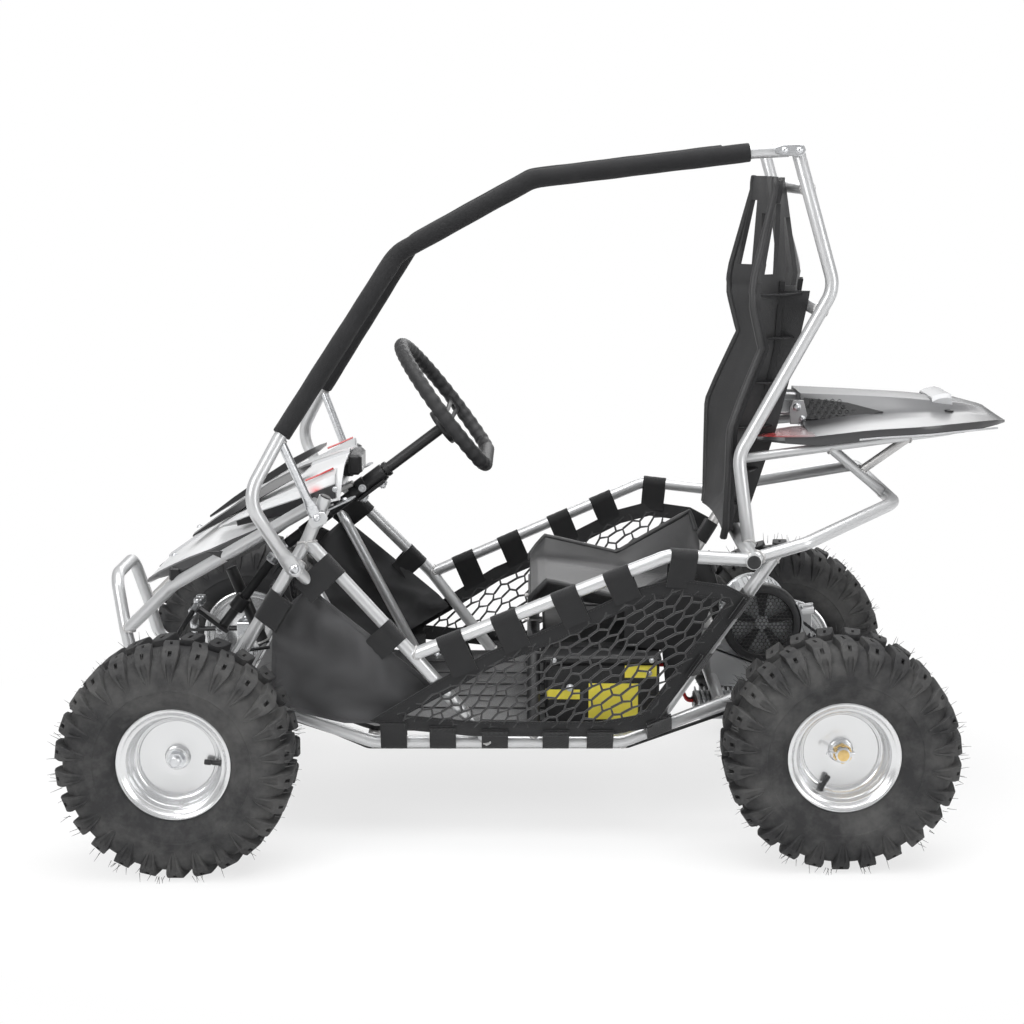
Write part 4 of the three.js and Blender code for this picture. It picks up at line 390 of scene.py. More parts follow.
def bent(corners, bend):
    # A path through corners, each rounded with one radius.
    corners = [Vector(corner) for corner in corners]
    path = [corners[0]]
    for before, corner, after in zip(corners, corners[1:], corners[2:]):
        inward, outward = before - corner, after - corner
        turn = math.pi - inward.angle(outward)
        if turn < 0.03 or not bend:
            path.append(corner)
            continue
        reach = min(bend * math.tan(turn / 2), 0.48 * inward.length, 0.48 * outward.length)
        radius = reach / math.tan(turn / 2)
        centre = corner + (inward.normalized()
                           + outward.normalized()).normalized() * radius / math.cos(turn / 2)
        arm = corner + inward.normalized() * reach - centre
        axis = arm.cross(corner + outward.normalized() * reach - centre)
        steps = max(2, math.ceil(math.degrees(turn) / bendStep))
        for i in range(steps + 1):
            path.append(centre + Matrix.Rotation(turn * i / steps, 3, axis) @ arm)
    path.append(corners[-1])
    return path


def frames(path, closed=False):
    # Along, across and up at each point, carried along without twist.
    count = len(path)
    alongs = []
    for i, p in enumerate(path):
        before = path[i - 1] if i or closed else p
        after = path[(i + 1) % count] if i + 1 < count or closed else p
        alongs.append(((after - p).normalized() + (p - before).normalized()).normalized())
    seed = Vector((0, 0, 1)) if abs(alongs[0].z) < 0.9 else Vector((0, 1, 0))
    across = alongs[0].cross(seed).normalized()
    made = []
    for along in alongs:
        across = (across - along * across.dot(along)).normalized()
        made.append((along, across, across.cross(along)))
    return made


def square(direction, hint=None):
    # Two directions square to this one.
    direction = Vector(direction).normalized()
    hint = Vector(hint) if hint else (Vector((0, 0, 1)) if abs(direction.z) < 0.9 else Vector((1, 0, 0)))
    u = (hint - direction * hint.dot(direction)).normalized()
    return u, direction.cross(u)


class Shape:
    def __init__(self, key="frame"):
        self.points, self.faces, self.marks, self.keys = [], [], [], []
        self.paint(key)

    def paint(self, key):
        if key not in self.keys:
            self.keys.append(key)
        self.mark = self.keys.index(key)
        return self

    def add(self, points, faces):
        start = len(self.points)
        self.points += [Vector(p) for p in points]
        self.faces += [[start + i for i in face] for face in faces]
        self.marks += [self.mark] * len(faces)
        return self

    def loft(self, rings, closed=False, caps=True):
        # Skins rings of the same count; a closed loft joins its last ring to its first.
        count = len(rings[0])
        faces = []
        for i in range(len(rings) - (0 if closed else 1)):
            a, b = i * count, (i + 1) % len(rings) * count
            for j in range(count):
                k = (j + 1) % count
                faces.append([a + j, a + k, b + k, b + j])
        if caps and not closed:
            faces.append(list(range(count))[::-1])
            faces.append(list(range((len(rings) - 1) * count, len(rings) * count)))
        return self.add([p for ring in rings for p in ring], faces)

    def tube(self, path, radius, sides=18, closed=False, rounding=0.0):
        # A round bar along path; rounding softens its two ends.
        path = [Vector(p) for p in path]
        radii = radius if isinstance(radius, list) else [radius] * len(path)
        rings = []
        sets = frames(path, closed)
        ends = [] if closed or not rounding else [(rounding, 0.0), (0.3 * rounding, 0.29 * rounding)]
        for back, (p, r, (along, across, up)) in enumerate(zip(path, radii, sets)):
            shifts = [(r, 0.0)]
            if ends and back == 0:
                shifts = [(r - rounding, 0.0), (r - 0.3 * rounding, 0.3 * rounding), (r, rounding)]
            if ends and back == len(path) - 1:
                shifts = [(r, -rounding), (r - 0.3 * rounding, -0.3 * rounding), (r - rounding, 0.0)]
            for width, shift in shifts:
                rings.append([p + along * shift + (across * math.cos(a) + up * math.sin(a)) * width
                              for a in around(sides)])
        return self.loft(rings, closed)

    def rod(self, a, b, radius, sides=18, rounding=1.0):
        return self.tube([Vector(a), Vector(b)], radius, sides, rounding=rounding)

    def lathe(self, profile, origin, axis, sides=32, loop=False, phase=0.0):
        # Turns (along, radius) pairs about an axis; loop joins the last pair to the first.
        origin, axis = Vector(origin), Vector(axis).normalized()
        u, v = square(axis)
        rings = []
        for along, radius in profile:
            rings.append([origin + axis * along + (u * math.cos(a) + v * math.sin(a)) * max(radius, 0.01)
                          for a in around(sides, phase)])
        return self.loft(rings, loop)

    def plate(self, outline, origin, u, v, thickness, chamfer=0.8, hole=None):
        # A flat plate from (u, v) points, half its thickness each way, its rims chamfered.
        origin, u, v = Vector(origin), Vector(u).normalized(), Vector(v).normalized()
        normal = u.cross(v)
        flat = [Vector((a, b, 0)) for a, b in outline]
        if doubleArea(flat) < 0:
            flat.reverse()
        chamfer = min(chamfer, 0.45 * thickness)
        small = []
        for before, p, after in zip(flat[-1:] + flat[:-1], flat, flat[1:] + flat[:1]):
            a, b = (p - before).normalized(), (after - p).normalized()
            inward = Vector((-a.y - b.y, a.x + b.x, 0))
            small.append(p + inward * chamfer / max(0.35, 1 + a.dot(b)))
        rings = []
        half = 0.5 * thickness
        for ring, lift in ((small, -half), (flat, chamfer - half), (flat, half - chamfer), (small, half)):
            rings.append([origin + u * p.x + v * p.y + normal * lift for p in ring])
        if not hole:
            return self.loft(rings)
        inner = [Vector((a, b, 0)) for a, b in hole]
        if doubleArea(inner) < 0:
            inner.reverse()
        self.loft(rings, caps=False)
        for lift, ring in ((-half, rings[0]), (half, rings[3])):
            rim = [origin + u * p.x + v * p.y + normal * lift for p in inner]
            triangles = tessellate_polygon([[p.copy() for p in small], [p.copy() for p in inner[::-1]]])
            every = ring + rim[::-1]
            self.add(every, [list(t) for t in triangles])
        walls = [[origin + u * p.x + v * p.y + normal * lift for p in inner] for lift in (half, -half)]
        return self.loft(walls, caps=False)

    def box(self, low, high, chamfer=1.5):
        low, high = Vector(low), Vector(high)
        centre, size = (low + high) / 2, high - low
        chamfer = min(chamfer, 0.3 * min(size))
        half = size / 2
        corners = [(-half.x + chamfer, -half.y), (half.x - chamfer, -half.y), (half.x, -half.y + chamfer),
                   (half.x, half.y - chamfer), (half.x - chamfer, half.y), (-half.x + chamfer, half.y),
                   (-half.x, half.y - chamfer), (-half.x, -half.y + chamfer)]
        return self.plate(corners, centre, (1, 0, 0), (0, 1, 0), size.z, chamfer)

    def sheet(self, rows, thickness, direction=None, skip=None):
        # A skin through a grid of points, thickened along direction or its own normals.
        count, wide = len(rows), len(rows[0])
        rows = [[Vector(p) for p in row] for row in rows]
        back = []
        for i, row in enumerate(rows):
            line = []
            for j, p in enumerate(row):
                if direction:
                    normal = Vector(direction).normalized()
                else:
                    du = row[min(j + 1, wide - 1)] - row[max(j - 1, 0)]
                    dv = rows[min(i + 1, count - 1)][j] - rows[max(i - 1, 0)][j]
                    normal = du.cross(dv).normalized()
                line.append(p + normal * thickness)
            back.append(line)
        points = [p for row in rows for p in row] + [p for row in back for p in row]
        size = count * wide
        faces, sided = [], set()
        for i in range(count - 1):
            for j in range(wide - 1):
                if skip and skip(i, j):
                    continue
                a = i * wide + j
                ring = [a, a + 1, a + wide + 1, a + wide]
                faces.append(ring)
                faces.append([size + k for k in ring[::-1]])
                sided.update(zip(ring, ring[1:] + ring[:1]))
        faces += [[b, a, size + a, size + b] for a, b in sided if (b, a) not in sided]
        return self.add(points, faces)

    def absorb(self, mesh):
        # Takes in a mesh that a layout tree made, each face with its own finish.
        known = {value.name: key for key, value in finish.items()}
        marks = []
        for material in mesh.materials:
            if material:
                self.paint(known[material.name])
            marks.append(self.mark)
        start = len(self.points)
        self.points += [v.co.copy() for v in mesh.vertices]
        for face in mesh.polygons:
            self.faces.append([start + i for i in face.vertices])
            self.marks.append(marks[face.material_index] if marks else self.mark)
        return self

    def moved(self, matrix):
        self.points = [matrix @ p for p in self.points]
        return self

    def make(self, name, body, nodes=(), slot=None, smooth=38):
        mesh = bpy.data.meshes.new(name)
        mesh.from_pydata([metres(p) for p in self.points], [], self.faces)
        for key in self.keys:
            mesh.materials.append(finish[key])
        mesh.polygons.foreach_set("material_index", self.marks)
        work = bmesh.new()
        work.from_mesh(mesh)
        bmesh.ops.remove_doubles(work, verts=work.verts, dist=0.000004)
        bmesh.ops.recalc_face_normals(work, faces=work.faces)
        work.to_mesh(mesh)
        work.free()
        mesh.polygons.foreach_set("use_smooth", [True] * len(mesh.polygons))
        mesh.set_sharp_from_angle(angle=math.radians(smooth))
        made = bpy.data.objects.new(name, mesh)
        bpy.context.scene.collection.objects.link(made)
        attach(made, body)
        if nodes:
            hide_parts(*nodes)
        return made


# Trees that lay out what repeats; a piece takes the mesh that one leaves, and the tree goes
class Layout(Board):
    kinds = {"Radius": "NodeSocketFloat", "Finish": "NodeSocketMaterial", "Copy": "NodeSocketObject",
             "Count": "NodeSocketInt", "Seed": "NodeSocketInt"}

    def __init__(self, name, inputs):
        tree = bpy.data.node_groups.new(name, "GeometryNodeTree")
        super().__init__(tree)
        self.ids = {}
        tree.interface.new_socket("Geometry", in_out="OUTPUT", socket_type="NodeSocketGeometry")
        tree.interface.new_socket("Geometry", in_out="INPUT", socket_type="NodeSocketGeometry")
        for label in inputs:
            kind = self.kinds.get(label, "NodeSocketFloat")
            self.ids[label] = tree.interface.new_socket(label, in_out="INPUT", socket_type=kind).identifier
        self.source = tree.nodes.new("NodeGroupInput")
        self.geometry = Wire(self, self.source.outputs[0])

    def given(self, label):
        return Wire(self, self.source.outputs[label])

    def copies(self, points, rotation, scale=(1, 1, 1)):
        copy = self.node("GeometryNodeObjectInfo", None, {"Object": self.given("Copy")}, out="Geometry")
        values = {"Points": points, "Instance": copy, "Rotation": rotation, "Scale": scale}
        return self.node("GeometryNodeInstanceOnPoints", None, values)

    def close(self, geometry):
        solid = self.node("GeometryNodeRealizeInstances", None, {"Geometry": geometry})
        painted = self.node("GeometryNodeSetMaterial", None,
                            {"Geometry": solid, "Material": self.given("Finish")})
        output = self.tree.nodes.new("NodeGroupOutput")
        self.tree.links.new(painted.socket, output.inputs[0])
        return self

    def run(self, points, edges=(), attributes=None, **values):
        # Runs the tree on a scratch mesh of points and edges, in millimetres, and returns its mesh.
        mesh = bpy.data.meshes.new("scratch")
        mesh.from_pydata([Vector(p) for p in points], list(edges), [])
        for label, vectors in (attributes or {}).items():
            held = mesh.attributes.new(label, "FLOAT_VECTOR", "POINT")
            held.data.foreach_set("vector", [x for vector in vectors for x in vector])
        base = bpy.data.objects.new("scratch", mesh)
        bpy.context.scene.collection.objects.link(base)
        modifier = base.modifiers.new("layout", "NODES")
        modifier.node_group = self.tree
        for label, value in values.items():
            modifier[self.ids[label]] = value
        evaluated = base.evaluated_get(bpy.context.evaluated_depsgraph_get())
        made = bpy.data.meshes.new_from_object(evaluated)
        bpy.data.objects.remove(base)
        return made


def scratchObject(shape, factor=1.0):
    # A hidden object that the trees copy; the last lines of this file remove them all.
    mesh = bpy.data.meshes.new("copy")
    mesh.from_pydata([p * factor for p in shape.points], [], shape.faces)
    made = bpy.data.objects.new("copy", mesh)
    bpy.context.scene.collection.objects.link(made)
    made.hide_render = True
    return made


def ringTree():
    # Copies of a shape about the Y axis through the origin.
    t = Layout("ringOfCopies", ["Copy", "Count", "Phase", "Finish"])
    index = t.node("GeometryNodeInputIndex")
    points = t.node("GeometryNodeMeshLine", None, {"Count": t.given("Count"), "Offset": (0, 0, 0)})
    turn = (index + t.given("Phase")) * (2 * math.pi) / t.given("Count")
    spin = t.node("ShaderNodeCombineXYZ", None, {"Y": turn})
    return t.close(t.copies(points, spin))


def alongTree():
    # Copies of a shape along the edges of a mesh, its X axis along them.
    t = Layout("copiesAlong", ["Copy", "Spacing", "Finish"])
    line = t.node("GeometryNodeMeshToCurve", None, {"Mesh": t.geometry})
    even = t.node("GeometryNodeResampleCurve", {"mode": "LENGTH"},
                  {"Curve": line, "Length": t.given("Spacing")})
    tangent = t.node("GeometryNodeInputTangent")
    facing = t.node("FunctionNodeAlignEulerToVector", {"axis": "X"}, {"Vector": tangent})
    return t.close(t.copies(even, facing))


def cordTree():
    # A round cord on every edge of a mesh.
    t = Layout("cordsOnEdges", ["Radius", "Finish"])
    line = t.node("GeometryNodeMeshToCurve", None, {"Mesh": t.geometry})
    ring = t.node("GeometryNodeCurvePrimitiveCircle", None, {"Resolution": 6, "Radius": t.given("Radius")})
    made = t.node("GeometryNodeCurveToMesh", None, {"Curve": line, "Profile Curve": ring, "Fill Caps": True})
    return t.close(made)


def pointTree():
    # Copies of a shape at points, its Z axis along each point's facing and its size from the point.
    t = Layout("copiesAtPoints", ["Copy", "Finish"])
    facing = t.node("GeometryNodeInputNamedAttribute", {"data_type": "FLOAT_VECTOR"}, {"Name": "facing"})
    size = t.node("GeometryNodeInputNamedAttribute", {"data_type": "FLOAT_VECTOR"}, {"Name": "size"})
    turned = t.node("FunctionNodeAlignEulerToVector", {"axis": "Z"}, {"Vector": facing})
    return t.close(t.copies(t.geometry, turned, size))


def hairTree():
    # Thin seeded hairs standing out about the Y axis.
    t = Layout("edgeHairs", ["Count", "Seed", "Radius", "Reach", "Across", "Finish"])
    points = t.node("GeometryNodeMeshLine", None, {"Count": t.given("Count"), "Offset": (0, 0, 0)})

    def chance(low, high, shift):
        values = {2: low, 3: high, "Seed": t.maths("ADD", t.given("Seed"), shift)}
        return t.node("FunctionNodeRandomValue", {"data_type": "FLOAT"}, values, out=1)

    angle = chance(0.0, 2 * math.pi, 1)
    out = t.given("Radius") + chance(-1.5, 0.0, 2)
    along = t.given("Across") * t.maths("SIGN", chance(-1.0, 1.0, 3)) + chance(-16.0, 6.0, 4)
    place = t.node("ShaderNodeCombineXYZ", None, {
        "X": out * t.maths("SINE", angle), "Y": along, "Z": out * t.maths("COSINE", angle)})
    moved = t.node("GeometryNodeSetPosition", None, {"Geometry": points, "Position": place})
    hair = t.node("GeometryNodeMeshCone", None, {
        "Vertices": 4, "Radius Top": 0.2, "Radius Bottom": 0.55, "Depth": t.given("Reach")})
    lean = t.node("ShaderNodeCombineXYZ", None,
                  {"X": chance(-0.35, 0.35, 5), "Y": angle + chance(-0.4, 0.4, 6)})
    tall = t.node("ShaderNodeCombineXYZ", None, {"X": 1.0, "Y": 1.0, "Z": chance(0.45, 1.0, 7)})
    values = {"Points": moved, "Instance": hair, "Rotation": lean, "Scale": tall}
    return t.close(t.node("GeometryNodeInstanceOnPoints", None, values))


ringLayout, alongLayout, cordLayout = ringTree(), alongTree(), cordTree()
pointLayout, hairLayout = pointTree(), hairTree()
print("layout trees made")

# Fasteners and welds that many pieces share
hexHead = Shape("zinc")
hexHead.lathe([(0, 1.0), (0.12, 1.0), (0.12, 0.72), (0.14, 0.7)], (0, 0, 0), (0, 0, 1), 16)
hexHead.lathe([(0.12, 0.74), (0.62, 0.74), (0.72, 0.64)], (0, 0, 0), (0, 0, 1), 6)
hexHead.lathe([(0.7, 0.36), (0.95, 0.36), (1.0, 0.3)], (0, 0, 0), (0, 0, 1), 10)
domeHead = Shape("zinc")
domeHead.lathe([(0, 1.0), (0.1, 1.0), (0.14, 0.82), (0.36, 0.76), (0.52, 0.58), (0.6, 0.3), (0.48, 0.28)],
               (0, 0, 0), (0, 0, 1), 14)
hexObject, domeObject = scratchObject(hexHead), scratchObject(domeHead)
bead = Shape("weld")
bead.lathe([(-1.1, 0.1), (-0.8, 0.66), (0, 1.0), (0.8, 0.66), (1.1, 0.1)], (0, 0, 0), (1, 0, 0), 7)
weldBead = scratchObject(bead, 2.1)
dash = Shape("webbing")
dash.box((-1.6, -0.45, -0.3), (1.6, 0.45, 0.3), 0.2)
dashObject = scratchObject(dash)


def bolts(shape, spots, head=hexObject):
    # Heads at spots of (point, facing, radius).
    points, facing, size = [], [], []
    for point, direction, radius in spots:
        points.append(Vector(point))
        facing.append(Vector(direction).normalized())
        size.append((radius, radius, radius))
    held = {"facing": facing, "size": size}
    return shape.absorb(pointLayout.run(points, (), held, Copy=head, Finish=finish["zinc"]))


def laid(shape, points, source, key, spacing):
    # Copies of a small shape along a closed line, or along the straight one between two points.
    count = len(points)
    edges = [(k, (k + 1) % count) for k in range(count)] if count > 2 else [(0, 1)]
    return shape.absorb(alongLayout.run(points, edges, Copy=source, Spacing=spacing, Finish=finish[key]))


def ringed(shape, source, key, count, phase=0.0):
    # Copies of a shape about the Y axis through the origin.
    return shape.absorb(ringLayout.run([(0, 0, 0)], Copy=source, Count=count, Phase=phase,
                                       Finish=finish[key]))


# Radii of the frame's tubes, then of their bends
frameSizes = {"tube": 11, "main": 12.7, "rack": 8, "brace": 10, "bend": 55, "tight": 38}
tubeRadius, mainTube = frameSizes["tube"], frameSizes["main"]


def weld(shape, point, direction, main=None, radius=tubeRadius, mainRadius=tubeRadius):
    # A bead round the end of a tube; on a round main tube it follows the saddle between them.
    point, direction = Vector(point), Vector(direction).normalized()
    u, v = square(direction, main)
    loop = []
    for a in around(22):
        offset = (u * math.cos(a) + v * math.sin(a)) * (radius + 0.3)
        lift = 0.0
        if main:
            side = abs(offset.dot(v))
            lift = math.sqrt(max(mainRadius ** 2 - min(side, mainRadius) ** 2, 4.0))
        loop.append(point + offset + direction * lift)
    return laid(shape, loop, weldBead, "weld", 2.3)


# Corners of the frame: place behind the middle of the wheelbase, place out from the middle, height
places = {
    "postTop": (-306.5, 300, 588), "postBend": (-338.5, 295, 514), "kneeJoint": (-163.5, 325, 329),
    "kneeFoot": (-37.5, 293, 172), "axleFoot": (-525.5, 290, 200), "railNose": (-488.5, 288, 262),
    "railDip": (-234.5, 290, 170), "railKick": (185.5, 284, 170), "railTail": (470.5, 225, 267),
    "railEnd": (576.5, 225, 284), "braceBend": (-325.5, 292, 432), "braceFoot": (-189.5, 288, 172),
    "cageLug": (-352.5, 336, 472), "cageFoot": (-355.5, 350, 475), "cageElbow": (-424.5, 382, 598),
    "sleeveStart": (-375.5, 341, 691), "cageBrow": (-190.5, 233, 981), "cageCrown": (30.5, 236, 1102),
    "sleeveEnd": (389.5, 224, 1146), "cageEnd": (446.5, 228.3, 1149), "dashTube": (-323.5, 292, 545),
    "railBend": (253.5, 365, 506), "crossTube": (390.5, 345, 494), "uprightFoot": (395.5, 245, 495),
    "uprightWaist": (376.5, 224, 647), "uprightBack": (526.5, 230, 927), "uprightTop": (460.5, 225, 1150),
    "diagonalTop": (430.5, 327, 503), "diagonalFoot": (231.5, 276, 187), "bumperStart": (394.5, 338, 496),
    "bumperKnee": (478.5, 320, 517), "bumperCorner": (642.5, 205, 566), "tailFront": (386.5, 212, 641),
    "tailEnd": (760.5, 150, 683), "noseTubeFoot": (-680.5, 109, 316), "noseTubeBend": (-590.5, 135, 404),
    "noseTubeEnd": (-322.5, 292, 576),
}
axleHeight = 189.89
frontX, rearX = -534.5, 534.5
bothSides = (-1, 1)


def at(name, side=1):
    x, y, z = places[name]
    return Vector((x, side * y, z))


def along(a, b, height):
    # The point of a straight run at one height.
    return a.lerp(b, (height - a.z) / (b.z - a.z))


def railPath(side):
    return [at(n, side) for n in ("railNose", "railDip", "railKick", "railTail", "railEnd")]


def kneePath(side):
    return [at(n, side) for n in ("postTop", "postBend", "kneeJoint", "kneeFoot")]


def upperPath(side):
    return [at(n, side) for n in ("kneeJoint", "railBend", "crossTube")]


def lowerRail(label, side):
    s = Shape()
    path = bent(railPath(side), frameSizes["bend"])
    s.tube(path, tubeRadius, 22, rounding=2)
    end = at("railEnd", side)
    direction = (end - at("railTail", side)).normalized()
    s.paint("plastic").rod(end - direction * 1.5, end + direction * 1.6, 9.8, 16, 1.2)
    # plate that carries the rear axle, with its bearing
    centre = (rearX, side * 225, axleHeight)
    outline = [(-39, 55), (-34, 78), (30, 92), (39, 86), (39, -20), (16, -44), (-16, -44), (-39, -20)]
    hole = [(27 * math.cos(a), 27 * math.sin(a)) for a in around(28)]
    s.paint("frame").plate(outline, centre, (1, 0, 0), (0, 0, 1), 10, 1.2, hole)
    ring = [(-10, 15), (-10, 30), (-8, 32), (8, 32), (10, 30), (10, 15)]
    s.paint("darkSteel").lathe(ring, centre, (0, 1, 0), 36, True)
    seal = [(-9.2, 13.5), (-9.2, 21), (-10.4, 22), (-10.4, 14)]
    s.paint("zinc").lathe(seal, centre, (0, side, 0), 30, True)
    bolts(s, [((rearX + dx, side * 231, axleHeight + dz), (0, side, 0), 5.5)
              for dx, dz in ((34.8, 21.6), (-34.8, 21.6), (34.8, -17.28), (-34.8, -17.28))])
    weld(s, (rearX - 39, side * 225, axleHeight + 70), (0, side, 0), radius=9)
    return s.make(f"lowerRail_{label}", "frame", [f"lower_rail_{label}"], "silver_paint")


pair(lowerRail)


def sideFrame(label, side):
    s = Shape()
    knee, upper = bent(kneePath(side)[1:], frameSizes["bend"]), bent(upperPath(side), frameSizes["bend"])
    s.tube(knee, tubeRadius, 22)
    s.tube(upper, tubeRadius, 22)
    weld(s, knee[0], knee[1] - knee[0], (0.5, 0, 0.85))
    foot, rail = at("kneeFoot", side), at("kneeJoint", side)
    weld(s, foot, rail - foot, (1, 0, 0))
    bendPlace = at("railBend", side)
    weld(s, rail, bendPlace - rail, knee[-2] - rail)
    cross = at("crossTube", side)
    weld(s, cross, bendPlace - cross, (0, 1, 0), mainRadius=mainTube)
    # flattened bracket that ties the top of the knee tube to the cage bar
    bracket = [(-15, -9), (9, -11), (16, -5), (16, 6), (9, 11), (-11, 10), (-16, 4)]
    s.paint("frame").plate(bracket, (-318, side * 313.4, 552), (0.86, 0, 0.5), (-0.5, 0, 0.86), 4.6, 0.9)
    bolts(s, [((-320, side * 316, 556), (0, side, 0), 7.5)], head=domeObject)
    return s.make(f"sideFrame_{label}", "frame", [f"side_frame_{label}"], "silver_paint")


pair(sideFrame)


def frontPost(label, side):
    s = Shape()
    top, foot = at("postBend", side), at("axleFoot", side)
    tip = at("postTop", side)
    s.tube(bent([tip, top, foot], 90), tubeRadius, 22)
    up = (tip - top).normalized()
    s.paint("plastic").rod(tip - up, tip + up * 2, 9.6, 14, 1.2).paint("frame")
    lug = at("cageLug", side)
    onPost = along(top, foot, lug.z)
    s.tube([Vector((lug.x, onPost.y, lug.z)), lug], tubeRadius, 20, rounding=1.2)
    brace = bent([lug - Vector((0, side * 8, 0)), at("braceBend", side), at("braceFoot", side)],
                 frameSizes["tight"])
    s.tube(brace, frameSizes["brace"], 20)
    weld(s, at("braceFoot", side), brace[-2] - brace[-1], (1, 0, -0.35), radius=10)
    weld(s, foot + (top - foot).normalized() * 8, top - foot, (0, 1, 0), mainRadius=9)
    weld(s, top, foot - top, at("kneeJoint", side) - top)
    weld(s, (lug.x, onPost.y, lug.z), (0, side, 0), foot - top)
    return s.make(f"frontPost_{label}", "frame", [f"front_post_{label}"], "silver_paint")


pair(frontPost)

floorSizes = {"crossHalf": 280, "panHalf": 261, "panEdge": 258, "panThickness": 3, "panLip": 6}


def floorFrame():
    s = Shape()
    for x, z in ((-452.5, 249), (-234.5, 170), (185.5, 170)):
        s.tube([(x, side * floorSizes["crossHalf"], z) for side in bothSides], tubeRadius, 20)
        for side in bothSides:
            weld(s, (x, side * 286, z), (0, -side, 0), (1, 0, 0.1))
    s.paint("blackSteel")
    slope = [(-452.5, 260.4), (-440, 256), (-250, 187.5), (-232, 182.2), (-190, 182), (150, 182), (262, 182)]
    half, edge, lip = floorSizes["panHalf"], floorSizes["panEdge"], floorSizes["panLip"]
    rows = [[(x, y, z + (lip if abs(y) == half else 0)) for y in (-half, -edge, -130, 0, 130, edge, half)]
            for x, z in slope]
    s.sheet(rows, -floorSizes["panThickness"], (0, 0, 1))
    for y in (-200, -120, -40, 40, 120, 200):
        s.box((-170, y - 9, 181), (120, y + 9, 184.4), 1.4)
    s.paint("frame")
    for side in bothSides:
        for end in bothSides:
            y = side * 112 + end * 19
            s.plate([(-20, -18), (20, -18), (10, 14), (-10, 14)], (-400.5, y, 257), (1, 0, 0), (0, 0, 1),
                    4.5, 0.8)
    bolts(s, [((-400.5, side * 112 + end * 21.5, 257.1), (0, end, 0), 8)
              for side in bothSides for end in bothSides])
    spots = [(-430, 254.5, 0.35), (-150, 182.3, 0), (60, 182.3, 0), (230, 182.3, 0)]
    bolts(s, [((x, y, z), (tilt, 0, 1), 7) for x, z, tilt in spots for y in (-245, 245)], head=domeObject)
    return s.make("floorFrame", "frame", ["floor_frame"], "silver_paint")


floorFrame()


def crossTube():
    s = Shape()
    s.tube([(390.5, side * 362, 494) for side in bothSides], mainTube, 24, rounding=1.5)
    s.paint("plastic")
    plug = [(0, 0.1), (0, 11.4), (1.8, 11.2), (2.9, 9.2), (3, 0.1)]
    for side in bothSides:
        s.lathe(plug, (390.5, side * 361.8, 494), (0, side, 0), 20)
    return s.make("mainCrossTube", "frame", ["main_cross_tube"], "silver_paint")


crossTube()


def seatHoop():
    s = Shape("blackSteel")
    path = [(36, y, z) for y, z in ((-286, 170), (-180, 322), (180, 322), (286, 170))]
    s.tube(bent(path, frameSizes["tight"]), tubeRadius, 22)
    for side in bothSides:
        weld(s, (36, side * 286, 170), (0, -side * 106, 152), (1, 0, 0))
        s.plate([(-16, -9), (16, -9), (16, 9), (-16, 9)], (36, side * 95, 336), (1, 0, 0), (0, 1, 0), 5, 1)
    return s.make("seatHoop", "frame", ["seat_hoop"], "silver_paint")


seatHoop()


def hoop(names):
    # From the left side's first place to the right side's.
    return [at(n, -1) for n in names] + [at(n, 1) for n in names[::-1]]


def seatCrossEnd(side):
    return along(at("diagonalTop", side), at("diagonalFoot", side), 350)


def rearFrame():
    s = Shape()
    s.tube(bent(hoop(["bumperStart", "bumperKnee", "bumperCorner"]), frameSizes["tight"]), tubeRadius, 22)
    for side in bothSides:
        top, foot = at("diagonalTop", side), at("diagonalFoot", side)
        s.tube([top, foot], tubeRadius, 22)
        weld(s, foot, top - foot, (1, 0, 0.2))
        weld(s, top, foot - top, (1, 0, 0.25), mainRadius=12)
        cross = seatCrossEnd(side)
        weld(s, cross, (0, -side, 0), top - foot)
        weld(s, at("bumperStart", side), (84, side * -18, 21), (0, 1, 0), mainRadius=mainTube)
    s.tube([seatCrossEnd(-1), seatCrossEnd(1)], tubeRadius, 20)
    return s.make("rearFrame", "frame", ["rear_frame"], "silver_paint")


rearFrame()


def frontBumper():
    s = Shape()
    left = [(frontX - 12, -116, axleHeight + 4), (-666.5, -116, 252), (-682, -109, 318), (-702.5, -76, 408)]
    right = [(x, -y, z) for x, y, z in left[::-1]]
    s.tube(bent(left + right, frameSizes["tight"]), tubeRadius, 22)
    for side in bothSides:
        path = [at(n, side) for n in ("noseTubeFoot", "noseTubeBend", "noseTubeEnd")]
        s.tube(bent(path, frameSizes["bend"]), tubeRadius, 22)
        weld(s, path[0], path[1] - path[0], (0.2, 0, 1))
        weld(s, path[2], path[1] - path[2], (0.4, 0, 0.9))
        weld(s, (frontX, side * 116, axleHeight), (-132, 0, 62), (0, 1, 0), mainRadius=13)
    return s.make("frontBumper", "frame", ["front_bumper"], "silver_paint")


frontBumper()


def uprightPath(side):
    return [at(n, side) for n in ("uprightFoot", "uprightWaist", "uprightBack", "uprightTop")]


def onUpright(height, side):
    path = uprightPath(side)
    pairs = [(a, b) for a, b in zip(path, path[1:]) if a.z <= height <= b.z]
    return along(*pairs[0], height)


